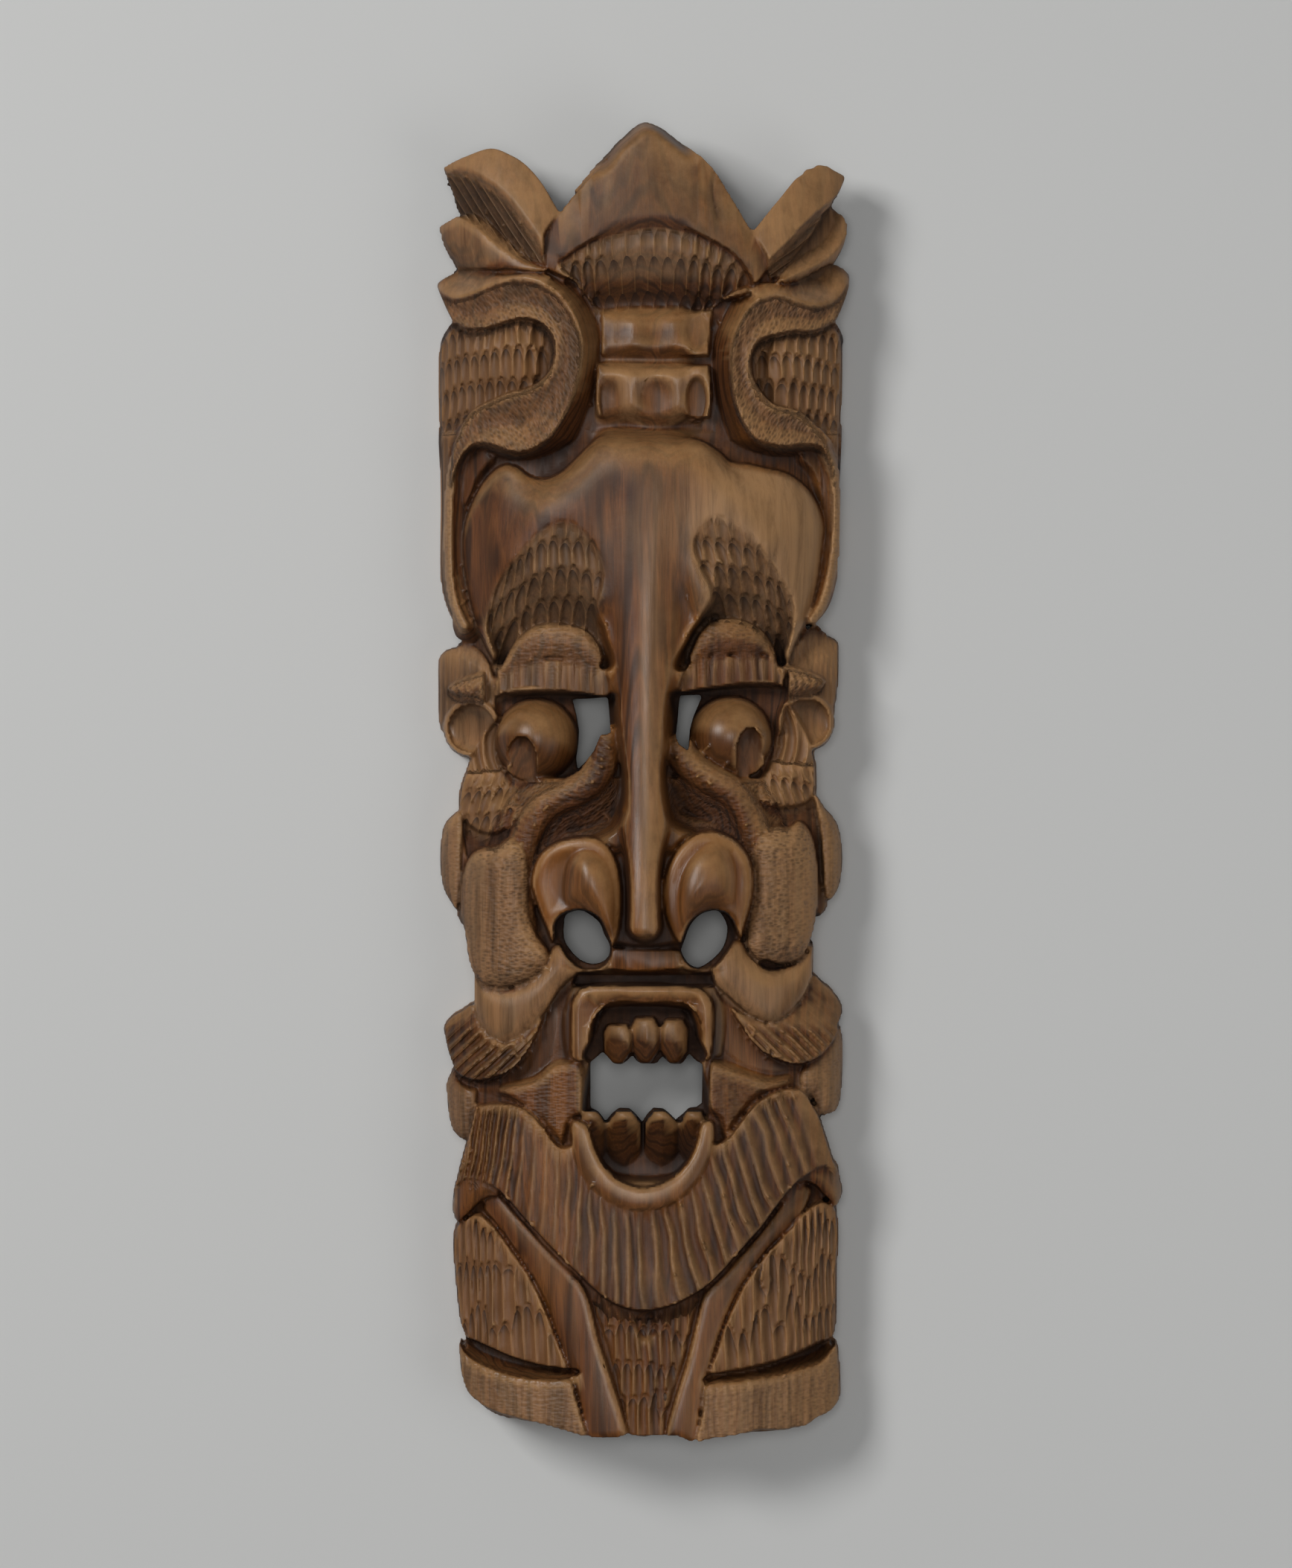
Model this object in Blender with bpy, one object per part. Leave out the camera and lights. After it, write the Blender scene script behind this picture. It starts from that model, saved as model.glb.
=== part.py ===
"""Carved wooden mask: one solid, cut from half a log, lying on its back with the face up.

The face is drawn in carving units on a sheet 888 units tall and 277 wide, centred on the nose, with
heights in the same units above the flat back. The driving sizes below stretch that drawing to the
real mask. World axes: +X to the viewer's right, +Y to the crown, +Z out of the face.
"""
import bpy
import numpy as np

# Driving sizes, in metres
HEIGHT = 0.8885
WIDTH = 0.2775
DEPTH = 0.124
WALL = 0.014
RIM = 0.041
HOLLOW_DEPTH = 0.047
HOLLOW_ROUNDING = 0.045
CROWN_LIFT = 0.050

# The drawn sheet, in carving units
SHEET_HEIGHT = 888.5
SHEET_WIDTH = 277.5
SHEET_DEPTH = 124.0
SHEET_MIDDLE = (-1.2, -0.4)
LOG_HALF_SPAN = 141.0
LOG_EDGE = 18.0
LOG_RISE = 74.0

# Heights above the back that don't follow the log, in carving units
SOCKET_FLOOR = 52.0
MOUTH_FLOOR = 58.0
TOOTH_FRONT = 84.0
LOWER_TOOTH_FRONT = 80.0

# Rises above the log's round face, and drops below it, in carving units
GROUND_DROP = 17.0
CROWN_RISE = 8.0
FOREHEAD_RISE = 8.0
FOREHEAD_ROLL = 16.0
BROW_DROP = 26.0
WING_RISE = 12.0
EYEBALL = 28.0
TEAR_ROLL = 10.5

# Gouges: width and depth of a cut, in carving units
BROAD = 9.0
BROAD_CUT = 2.6
FINE = 6.4
FINE_CUT = 2.3

# How finely the solid is made
GRID_STEP = 2.6
FACES = 9700


def spline(points, closed=True, gap=2.5):
    """Points along a Catmull-Rom curve through the given ones."""
    p = np.asarray(points, dtype=float)
    if closed:
        before, start, after, beyond = np.roll(p, 1, 0), p, np.roll(p, -1, 0), np.roll(p, -2, 0)
    else:
        before, start, after = np.vstack([p[0], p[:-2]]), p[:-1], p[1:]
        beyond = np.vstack([p[2:], p[-1]])
    runs = []
    for a, b, c, d in zip(before, start, after, beyond):
        steps = max(int(np.hypot(*(c - b)) / gap), 1)
        t = (np.arange(steps) / steps)[:, None]
        runs.append(0.5 * (2 * b + (c - a) * t + (2 * a - 5 * b + 4 * c - d) * t**2
                           + (3 * b - a - 3 * c + d) * t**3))
    if not closed:
        runs.append(p[-1:])
    return np.vstack(runs)


def ramp(d, width):
    """Smooth rise from 0 on an outline to 1 at a distance inside it."""
    t = np.clip(d / width, 0.0, 1.0)
    return t * t * (3 - 2 * t)


def bulge(d, width):
    """Quarter-round rise from 0 on an outline to 1 at a distance inside it."""
    t = 1 - np.clip(d / width, 0.0, 1.0)
    return np.sqrt(1 - t * t)


def flute(u):
    """Depth of gouge cuts side by side, 0 on the ridges and 1 in mid-cut; u counts the cuts."""
    t = 2 * (u - np.floor(u)) - 1
    return 1 - t * t


class Relief:
    """Heights of the carved face over a regular grid on the sheet."""

    def __init__(self, step):
        self.step = step
        across = SHEET_WIDTH / 2 + 3 * step
        along = SHEET_HEIGHT / 2 + 3 * step
        self.x, self.y = np.meshgrid(np.arange(-across, across + step, step), np.arange(-along, along + step, step))
        self.log = LOG_EDGE + LOG_RISE * np.sqrt(np.clip(1 - (self.x / LOG_HALF_SPAN) ** 2, 0, 1))
        self.h = np.zeros_like(self.x)
        self.plan = np.full_like(self.x, -99.0)
        self.hole = np.full_like(self.x, -99.0)

    def window(self, pts, margin):
        """The grid's rows and columns around some points."""
        low = ((pts.min(0) - margin - (self.x[0, 0], self.y[0, 0])) / self.step).astype(int)
        high = ((pts.max(0) + margin - (self.x[0, 0], self.y[0, 0])) / self.step).astype(int) + 2
        low = np.maximum(low, 0)
        return slice(low[1], high[1]), slice(low[0], high[0])

    def distance(self, points, sharp=False, margin=26.0, closed=True):
        """Signed distance, positive inside a closed outline, or minus the distance to an open path."""
        pts = np.asarray(points, dtype=float) if sharp else spline(points, closed)
        win = self.window(pts, margin)
        x, y = self.x[win], self.y[win]
        best = np.full(x.shape, 1e9)
        inside = np.zeros(x.shape, dtype=bool)
        ends = np.roll(pts, -1, 0) if closed else pts[1:]
        for (ax, ay), (bx, by) in zip(pts, ends):
            dx, dy = bx - ax, by - ay
            t = np.clip(((x - ax) * dx + (y - ay) * dy) / (dx * dx + dy * dy + 1e-12), 0, 1)
            best = np.minimum(best, (x - ax - t * dx) ** 2 + (y - ay - t * dy) ** 2)
            if closed and ay != by:
                inside ^= ((ay > y) != (by > y)) & (x < (bx - ax) * (y - ay) / (by - ay) + ax)
        full = np.full(self.x.shape, -99.0)
        full[win] = np.where(inside, np.sqrt(best), -np.sqrt(best))
        return full

    def form(self, points, top, wall=3.0, sharp=False, edge=False):
        """Bring the region inside an outline to a height, with a wall of some width."""
        d = self.distance(points, sharp)
        self.h += (top - self.h) * ramp(d, wall)
        if edge:
            self.plan = np.maximum(self.plan, d)
        return d

    def skirt(self, d, top, slope=1.6, reach=16.0):
        """Raise the ground beside a form so that it slopes down from the form's edge."""
        beside = (d <= 0) & (d > -reach)
        self.h = np.where(beside, np.maximum(self.h, top + slope * d), self.h)

    def roll(self, path, top, radius):
        """Raise a round roll along a path."""
        d = -self.distance(path, closed=False, margin=radius + 4)
        t = np.clip(d / radius, 0, 1)
        crest = top - radius * (1 - np.sqrt(1 - t * t))
        self.h = np.where(d < radius, np.maximum(self.h, crest), self.h)

    def sand(self, d, reach, fade=8.0):
        """Sand the surface smooth over some units where d is positive."""
        smooth = self.h
        for _ in range(2):
            smooth = spread(smooth, max(round(reach / self.step), 1), np.mean)
        self.h += (smooth - self.h) * ramp(d, fade)

    def carve(self, d, depth, fade=1.5):
        """Cut into the surface where d is positive."""
        self.h -= depth * ramp(d, fade)

    def close_pits(self):
        """Fill the deep pits and pinholes that are only one step wide, which no gouge leaves."""
        for grid, shallow in ((self.h, 1.2 * self.step), (self.plan, 0.0)):
            closed = grid
            for pick, way in ((np.max, -1), (np.min, 1)):
                for axis in (0, 1):
                    closed = pick([closed, np.roll(closed, way, axis)], axis=0)
            grid[:] = np.where(closed - grid > shallow, closed, grid)

    def rows(self, u, v, pitch, length, depth, arch, count, drop=0.0):
        """Depth of rows of round-ended gouge cuts that lap like scales; v is the distance down the rows."""
        cut = np.zeros_like(u)
        for k in range(count):
            c = flute(u / pitch + 0.5 * (k % 2))
            start = k * length - arch * c
            cut = np.where(v > start, depth * c + drop * k, cut)
        return cut


BODY = [(-60, 330), (-118, 330), (-130, 290), (-130, 110), (-116, 95), (-122, 60), (-116, 20), (-120, -20),
        (-122, -80), (-113, -110), (-110, -150), (-118, -200), (-114, -235), (-119, -270), (-117, -411),
        (-60, -435), (0, -441), (60, -441), (120, -426), (125, -330), (121, -280), (110, -225), (120, -200),
        (110, -150), (109, -110), (120, -60), (114, -5), (110, 20), (120, 60), (108, 100), (122, 125),
        (127, 300), (80, 335)]


def body(r):
    """The ground between the outer forms."""
    r.form(BODY, r.log - GROUND_DROP, 1.5, edge=True)


def crown(r):
    """The pointed plate at the top with its faceted left edge, and the lens of scale cuts below it."""
    plate = [(9, 438.5), (-10, 430), (-30, 409.5), (-50, 387), (-58, 376.5), (-67, 363), (-67, 347), (-60, 336),
             (0, 318), (60, 320), (78, 333), (83, 346), (71, 368), (65, 378.5), (58, 390), (50, 403),
             (43, 411.5), (35, 418.5), (25, 427), (16, 434)]
    face = r.log + CROWN_RISE - 0.10 * np.clip(r.y - 350, 0, 99) - 0.05 * np.abs(r.x)
    facet = [(0, 443.8), (-5, 441), (-20, 426), (-32, 411), (-45, 394.5), (-50, 388), (-30, 409), (-10, 429.5),
             (9, 438)]
    front = r.distance(plate)
    side = r.distance(facet, sharp=True)
    r.h = np.where(side > 0, face - 6 + 4.5 * np.clip(front, -9, 0), r.h)
    r.plan = np.maximum(r.plan, side)
    r.form(plate, face, 2.0, edge=True)
    crack = r.distance([(46.5, 406), (45.5, 395), (46.5, 384), (49, 374), (51, 366), (52, 357)], closed=False)
    r.carve(0.9 + crack, 1.6, 0.8)

    lens = [(-58, 343.5), (-52, 348), (-45, 353.5), (-30, 361.5), (-10, 367.5), (8, 370), (22, 368.5), (32, 365.5),
            (41, 361), (50, 356.5), (60, 350), (68, 340.5), (73, 329), (60, 324), (46, 314), (25, 309),
            (5, 308.5), (-28, 311.5), (-38, 320), (-48, 332)]
    d = r.distance(lens)
    down = np.clip(369 - 0.0022 * r.x ** 2 - r.y, 0, 70)
    cut = r.rows(r.x + 2, down, 9.8, 21, 3.4, 8.5, 3, 2.2)
    under = face - 2.5 - 26 * (np.clip(down - 12, 0, 60) / 48) ** 2
    r.h += (under - cut - r.h) * ramp(d, 1.2)


def petals(r):
    """The two leaves on each side of the crown, each with a ridge that parts its two faces."""
    # left, upper leaf: fluted inner face first, then the smooth band above its ridge
    leaf = [(-135.5, 408), (-134, 410.5), (-120, 416), (-103, 421), (-90, 416.5), (-80, 410), (-70, 399),
            (-62, 386), (-57, 374), (-60, 352), (-63, 341), (-75, 345), (-95, 360), (-112, 374),
            (-125, 379), (-130, 392)]
    ridge = [(-136, 408.5), (-120, 407), (-108, 401), (-98, 394), (-89, 385), (-80, 373), (-71, 360), (-62, 345)]
    to_ridge = -r.distance(ridge, closed=False, margin=40)
    along = r.x * 0.84 + r.y * 0.54
    face = r.log + 12 - 0.85 * np.clip(to_ridge, 0, 30) - 2.2 * flute(along / 6.2) * ramp(to_ridge - 1, 5)
    r.form(leaf, face, 1.5, edge=True)
    band = ridge[::-1] + [(-134, 410.5), (-120, 417), (-103, 422), (-90, 417.5), (-79, 411), (-69, 399.5),
                          (-61, 386), (-56, 374), (-58, 352)]
    d = r.distance(band)
    r.h = np.where(d > 0, r.log + 13 - 0.50 * np.clip(to_ridge, 0, 40) - 1.2 * (1 - ramp(d, 2)), r.h)

    # left, second leaf: a wall behind its ridge and a full smooth face in front
    leaf = [(-138, 371), (-131, 375.5), (-124, 378.5), (-112, 378), (-100, 371), (-88, 358), (-75, 346), (-64, 340),
            (-72, 338), (-95, 340), (-123, 341), (-131, 350), (-136, 360)]
    ridge = [(-138, 371), (-130, 374), (-124, 374.5), (-112, 368.5), (-100, 357.5), (-90, 350.5), (-80, 344),
             (-66, 339)]
    to_ridge = -r.distance(ridge, closed=False, margin=40)
    r.form(leaf, r.log + 5 - 1.5 * np.clip(to_ridge, 0, 16), 1.5, edge=True)
    face = ridge[::-1] + [(-138, 368), (-135, 357), (-130, 349), (-123, 340.5), (-95, 338), (-75, 337)]
    d = r.distance(face)
    fall = np.clip(to_ridge, 0, 40) / 34
    r.h = np.where(d > 0, r.log + 6 + 2.5 * np.sin(np.pi * np.clip(fall, 0, 1)) - 16 * fall ** 2
                   - 7 * (1 - ramp(d, 3)) * ramp(to_ridge, 12), r.h)

    # right, upper leaf: a straight slab with a chipped end
    leaf = [(73, 365), (78, 371.5), (85, 380.5), (92, 389), (97, 395.5), (101, 400.5), (106, 404), (108, 407.2),
            (113, 408.3), (116, 410.6), (122, 410.4), (127, 407.4), (134, 404.2), (134.6, 402), (132, 396),
            (127, 384.5), (119, 375), (112, 363), (103, 350), (94, 338), (84, 332), (80, 342)]
    ridge = [(136, 400), (131, 392.5), (125, 386), (115, 378), (104, 367), (93, 355), (82, 344)]
    to_ridge = -r.distance(ridge, closed=False, margin=40)
    along = r.x * 0.62 - r.y * 0.78
    face = r.log + 8 - 0.9 * np.clip(to_ridge, 0, 20) - 2.0 * flute(along / 5.5) * ramp(to_ridge - 1, 4)
    r.form(leaf, face, 1.5, sharp=True, edge=True)
    band = ridge[::-1] + [(137, 404), (127, 409), (118, 412), (105, 410), (96, 398), (84, 383), (72, 366)]
    d = r.distance(band, sharp=True)
    r.h = np.where(d > 0, r.log + 11 - 0.42 * np.clip(to_ridge, 0, 40), r.h)

    # right, second leaf: a dished face inside a proud outer rim
    leaf = [(127, 384), (131, 380.8), (135, 379), (136.4, 375), (136, 366), (134, 358), (130, 350.5),
            (126, 345), (118, 341), (108, 338), (99, 334), (88, 330), (94, 338), (104, 351), (113, 363),
            (120, 375)]
    ridge = [(137, 374), (134.5, 363), (127, 352), (116, 344), (105, 338.5), (92, 332)]
    to_ridge = -r.distance(ridge, closed=False, margin=40)
    r.form(leaf, r.log + 7 - 1.5 * np.clip(to_ridge, 0, 11), 1.5, edge=True)
    rim = ridge[::-1] + [(138, 372), (137, 360), (131, 347), (118, 338), (100, 331)]
    d = r.distance(rim)
    r.h = np.where(d > 0, r.log + 7 - 1.2 * np.clip(to_ridge, 0, 20), r.h)


LEFT_BLOCK = [(-126, 306), (-132, 302.5), (-137, 296), (-139.6, 286), (-139.6, 250), (-138.6, 210), (-138.2, 180),
              (-139, 147), (-138, 131), (-135.5, 119), (-131, 108), (-124, 97.5), (-117.5, 90.5), (-119, 102),
              (-126, 130), (-128.5, 165), (-128, 200), (-123, 228), (-70, 250), (-58, 280), (-64, 305), (-90, 312)]
RIGHT_BLOCK = [(124, 308), (128, 305.5), (132.5, 300), (134.7, 291), (134.2, 262), (133, 230), (132, 200),
               (131.3, 170), (131, 146), (129, 131), (125, 117.5), (120, 109), (113, 102.5), (110, 108),
               (121, 138), (126, 170), (126, 205), (120, 230), (76, 250), (68, 275), (76, 296), (96, 306)]
LEFT_RIBBON = [(-139.6, 331.5), (-134, 326), (-126, 323), (-115, 325), (-105, 329), (-95, 332.5), (-85, 334),
               (-75, 333), (-66, 329.5), (-57, 323), (-49, 312), (-43.5, 300), (-41, 288), (-42, 275),
               (-45, 262), (-49.5, 249), (-56, 237), (-65, 225.5), (-74, 219), (-83, 216.5), (-92, 218),
               (-101, 222), (-109, 223.8), (-116, 222), (-122, 215), (-126, 206), (-128.5, 195), (-130.5, 199),
               (-129, 218), (-126, 228), (-122, 238), (-116, 246), (-108, 250.5), (-100, 254), (-90, 258),
               (-80, 260), (-72, 264), (-66, 269), (-62, 276), (-60.5, 285), (-61.5, 293), (-66, 300),
               (-73, 304.5), (-82, 306), (-92, 304), (-102, 301), (-113, 299.5), (-121, 301), (-127, 305),
               (-132, 313), (-137, 324)]
RIGHT_RIBBON = [(137.8, 334), (133, 326), (128, 321), (121, 318), (113, 317.5), (105, 319), (98, 321.5),
                (90, 323.6), (83, 322.5), (76, 319.5), (70, 314), (65, 306), (61, 297), (58.3, 286), (57.8, 275),
                (59, 262), (61.5, 250), (65.5, 240), (71, 231.5), (77, 226), (84, 222.8), (92, 221.2),
                (101, 222), (110, 223), (117, 221.8), (122, 217), (125.5, 208), (128, 196), (129.5, 199),
                (128, 210), (125.5, 219), (122, 228), (117, 235), (110, 241.5), (103, 246), (95, 248),
                (88, 249.5), (82, 254), (77, 260.5), (73, 268), (71.5, 277), (73, 285), (77, 291), (83, 294),
                (91, 296), (100, 298), (110, 298), (118, 300), (125, 304), (130, 310), (134, 319), (137, 328)]


def scrolls(r):
    """The scrolls beside the neck: a stippled ribbon rolled around a block of scale cuts."""
    # fluted slabs inside the scrolls
    d = r.form(LEFT_BLOCK, r.log - 1, 3.0, edge=True)
    swell = 5 * np.exp(-((r.x + 95) / 30) ** 2 - ((r.y - 282) / 22) ** 2)
    down = 300 - 0.0035 * (r.x + 84) ** 2 - r.y
    r.h += np.where(d > 0, swell * ramp(d, 6) - 10 * np.exp(-((r.x + 66) / 10) ** 2), 0)
    cut = r.rows((r.x + 84) * (1 + 0.0055 * np.clip(-84 - r.x, 0, 60)), down, BROAD, 21, BROAD_CUT, 8, 3, 1.6)
    side = FINE_CUT * flute((r.x + 139) / 7.5) * ramp(228 - r.y, 12)
    r.h -= ramp(d, 2.5) * np.where(r.y > 232, cut * ramp(306 - r.y, 6), side)

    d = r.form(RIGHT_BLOCK, r.log - 1, 3.0, edge=True)
    swell = 5 * np.exp(-((r.x - 100) / 26) ** 2 - ((r.y - 274) / 20) ** 2)
    down = 296 - 0.0035 * (r.x - 88) ** 2 - r.y
    r.h += np.where(d > 0, swell * ramp(d, 6) - 10 * np.exp(-((r.x - 77) / 9) ** 2), 0)
    cut = r.rows((r.x - 88) * (1 + 0.0055 * np.clip(r.x - 88, 0, 60)), down, BROAD, 20, BROAD_CUT, 8, 3, 1.6)
    side = FINE_CUT * flute((r.x - 133) / 7.5) * ramp(228 - r.y, 12)
    r.h -= ramp(d, 2.5) * np.where(r.y > 232, cut * ramp(300 - r.y, 6), side)

    # the walls that fall from the ribbons to the neck and the forehead
    for points, block, sign in ((LEFT_RIBBON, LEFT_BLOCK, -1), (RIGHT_RIBBON, RIGHT_BLOCK, 1)):
        d = r.distance(points)
        beside = (d <= 0) & (d > -14) & (r.y > 205) & ((r.y > 224) | (sign * r.x < 120))
        outside = r.distance(block) <= 1.5
        r.h = np.where(beside & outside, np.maximum(r.h, r.log + 8 + 1.5 * d), r.h)
        r.form(points, r.log + 8 - 0.42 * np.clip(d, 0, 30), 1.4, edge=True)

    # wide grey walls above both ribbons, out to the tips
    for tip in ([(-139.6, 332), (-131, 338), (-123, 341), (-108, 340), (-92, 336.5), (-75, 338.5), (-62, 334),
                 (-72, 330), (-85, 332), (-98, 329), (-112, 323), (-126, 321), (-135, 325)],
                [(137.8, 334), (137.5, 339), (134, 342.5), (127, 345), (118, 341), (106, 334), (94, 330),
                 (80, 331), (68, 328), (76, 321), (90, 322), (104, 317), (120, 316), (132, 322)]):
        d = r.distance(tip)
        ribbon = np.maximum(r.distance(LEFT_RIBBON), r.distance(RIGHT_RIBBON))
        wall = r.log + 7 + 1.1 * np.clip(ribbon, -18, 0)
        r.h = np.where((d > 0) & (ribbon < 0), wall, r.h)
        r.plan = np.maximum(r.plan, d)

    # side strips that carry the ribbons' thin edges down beside the forehead
    for path in ([(-129.5, 205), (-131, 190), (-132, 170), (-132, 150), (-130.5, 130), (-127, 115), (-121, 102)],
                 [(127.5, 208), (129, 195), (129.5, 175), (128.5, 155), (125.5, 135), (120, 117), (113, 106)]):
        r.roll(path, r.log + 4, 2.6)


def neck(r):
    """The two toothed bars between the scrolls."""
    upper = [(-33, 312), (-20, 311.5), (-12, 309), (-3, 306.5), (8, 308.5), (20, 306.5), (27, 308.5), (33, 311),
             (44, 311.5), (43.5, 295), (42, 281), (20, 280), (0, 280.5), (-30, 280.5), (-33, 296)]
    r.form([(-40, 316), (50, 316), (47, 240), (45, 230), (-36, 230), (-35, 240)], r.log - 20, 4)
    d = r.form(upper, r.log - 4, 2.0)
    for x in (-22, 7, 35):
        oval = 1 - ((r.x - x) / 11.5) ** 2 - ((r.y - 299) / 17) ** 2
        r.h -= np.where(d > 0, 2.6 * ramp(oval, 0.7), 0)
    lower = [(-33, 275), (-20, 274.5), (10, 272), (38, 271.5), (43, 268), (45.5, 250), (42, 240), (34, 238.5),
             (25, 241.5), (18, 238), (8, 235.5), (-2, 238.5), (-12, 242), (-22, 237.5), (-32, 241), (-35, 256)]
    r.form(lower, r.log - 2, 2.0)
    for x, half in ((-23, 7.5), (8, 11.5), (34.5, 7.5)):
        oval = 1 - ((r.x - x) / half) ** 2 - ((r.y - 254) / 17) ** 2
        r.h -= 5.5 * ramp(oval, 0.6)


def forehead(r):
    """The smooth domed forehead with its two lobes, and the soft grooves beside the nose's ridge."""
    lobes = [(-122.5, 152), (-121.5, 168), (-117, 183), (-109, 198), (-100, 207.5), (-92, 210.5), (-84, 208),
             (-76, 202), (-66, 200.5), (-56, 205), (-46, 214), (-37, 223), (-26, 230), (0, 230), (22, 228.5),
             (38, 226), (50, 219), (58, 212), (70, 210.5), (82, 208), (94, 205.5), (104, 200), (113, 191),
             (119, 179), (121, 168), (119.5, 152), (117, 133), (113, 116), (108, 103), (101, 88), (97, 76),
             (86, 60), (20, 56), (0, 60), (-20, 55), (-92, 55), (-99.5, 74), (-106, 86), (-112, 100),
             (-117, 116), (-120.5, 134)]
    d = r.distance(lobes)
    top = r.log + FOREHEAD_RISE - FOREHEAD_ROLL * (1 - bulge(d, 26))
    r.h += (top - r.h) * ramp(d, 1.5)
    middle = [(-72, 192), (-58, 204), (-46, 214), (-37, 223), (-26, 230.5), (0, 230.5), (22, 229), (38, 226.5),
              (50, 219), (60, 206), (72, 192), (86, 174), (96, 155), (60, 120), (0, 100), (-60, 120),
              (-104, 140), (-88, 170)]
    d = r.distance(middle)
    r.h += 5.0 * ramp(d, 10)
    # soft grooves beside the ridge of the nose
    for path, depth in (([(-23, 206), (-21, 175), (-18.5, 150), (-18, 110)], 3.5),
                        ([(26, 200), (26, 150), (23, 110)], 1.5)):
        line = r.distance(path, closed=False)
        r.h -= depth * np.exp(-(line / 6) ** 2)
    r.sand(r.distance(lobes) - 5, 6.0, 10.0)
    hollows(r)


def hollows(r):
    """The sunk brows above the eyelids, cut in rows of scales."""
    left = [(-50, 172), (-62, 170), (-74, 162), (-84, 151), (-94, 138), (-101, 126), (-105, 112), (-106, 98),
            (-101, 84), (-95, 72), (-24, 70), (-24, 95), (-30, 112), (-27, 128), (-26, 141), (-31, 154),
            (-40, 166)]
    right = [(48, 176), (60, 172), (72, 164), (82, 150), (90, 138), (97, 126), (101, 114), (100, 98), (96, 84),
             (90, 72), (22, 70), (27, 92), (38, 110), (44, 124), (36, 142), (32, 156), (38, 170)]
    left_down = 172 - 0.011 * (r.x + 52) ** 2 - r.y
    right_down = 172 - 0.2 * (r.x - 45) - 0.016 * np.clip(r.x - 72, 0, 40) ** 2 - r.y
    slant = 0.30 * np.clip(150 - r.y, 0, 80) * ramp(-r.x - 66, 34)
    left_across = r.x + slant - 0.6 * np.clip(-75 - r.x, 0, 40)
    right_across = r.x + 0.20 * (r.y - 110) + 0.3 * np.clip(r.x - 80, 0, 40)
    for points, across, down, length, count in ((left, left_across, left_down, 19.5, 4),
                                                (right, right_across, right_down, 17.0, 5)):
        d = r.distance(points)
        cut = r.rows(across, down, BROAD, length, BROAD_CUT, 7, count, 0.7)
        drop = 2 * ramp(down, 20) + BROW_DROP * (np.clip(down - 28, 0, 60) / 44) ** 1.4
        r.h -= drop * ramp(d, np.interp(r.y, [100, 150], [4, 14])) + cut * ramp(d, 3)


def ears(r):
    """The ear blocks with their pricked cones, and the dished rings below them."""
    for sign, block, cone, ring in (
            (-1, [(-117, 91.5), (-127, 89), (-135, 86), (-140, 79), (-140.2, 60), (-139.8, 42), (-136.5, 30),
                  (-120, 26), (-100, 40), (-102, 74)], (-131, -107, 60), (-116, 33, 20.5)),
            (1, [(113, 101.5), (120, 98), (127, 95), (131.5, 91), (132, 80), (131.3, 62), (129, 46), (126, 38),
                 (104, 46), (96, 62), (98, 84)], (121, 96, 64), (109, 37, 20))):
        d = r.form(block, r.log - 8, 2.0, edge=True)
        r.h -= 1.6 * ramp(d, 3) * flute(r.x / 4.5)
        tip, base, mid = cone
        t = np.clip((r.x - base) / (tip - base), 0, 1.2)
        radius = 10 * np.sqrt(np.clip(1 - t, 0, 1)) + 1.5
        out = np.clip(1 - ((r.y - mid) / radius) ** 2, 0, 1)
        r.h = np.where((t > 0) & (t < 1.05), np.maximum(r.h, r.log - 9 + 13 * np.sqrt(out)), r.h)
        cx, cy, rad = ring
        dist = np.hypot(r.x - cx, r.y - cy)
        disc = rad - dist
        r.h += (r.log - 4 - r.h) * ramp(disc, 1.5)
        r.plan = np.maximum(r.plan, disc)
        r.h -= 4 + 8 * bulge(rad - 4.5 - dist, 14) - 4 * (rad - 4.5 < dist)


def crescents(r):
    """The gouged crescents that hold the eyes from outside."""
    for sign, outer, inner in (
            (-1, [(-93, 46), (-101, 38), (-110, 28), (-117, 16), (-122, 3), (-125.5, -8), (-126.3, -19),
                  (-123, -28), (-115, -36), (-104, -39.5), (-93, -37), (-85, -31), (-79, -22), (-77, -8),
                  (-84, 0), (-95, 18)], (-71, 22)),
            (1, [(94, 52), (102, 45), (109, 33), (113.5, 22), (116.5, 10), (117.3, -2), (116.5, -11),
                 (108, -19), (95, -22), (82, -21), (72, -12), (68, -3), (78, 2), (88, 22)], (58, 26))):
        d = r.distance(outer)
        away = np.hypot(r.x - inner[0], r.y - inner[1])
        top = r.log - 6 - 14 * np.clip((48 - away) / 24, 0, 1)
        r.h += (top - r.h) * ramp(d, 3)
        r.plan = np.maximum(r.plan, d)
        down = 20 - r.y + (0 if sign < 0 else 14)
        cut = r.rows(r.x + 0.45 * sign * (r.y - 10), down, 8.5, 17, FINE_CUT, 6, 4, 0.4)
        r.h -= cut * ramp(d, 2)


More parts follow.
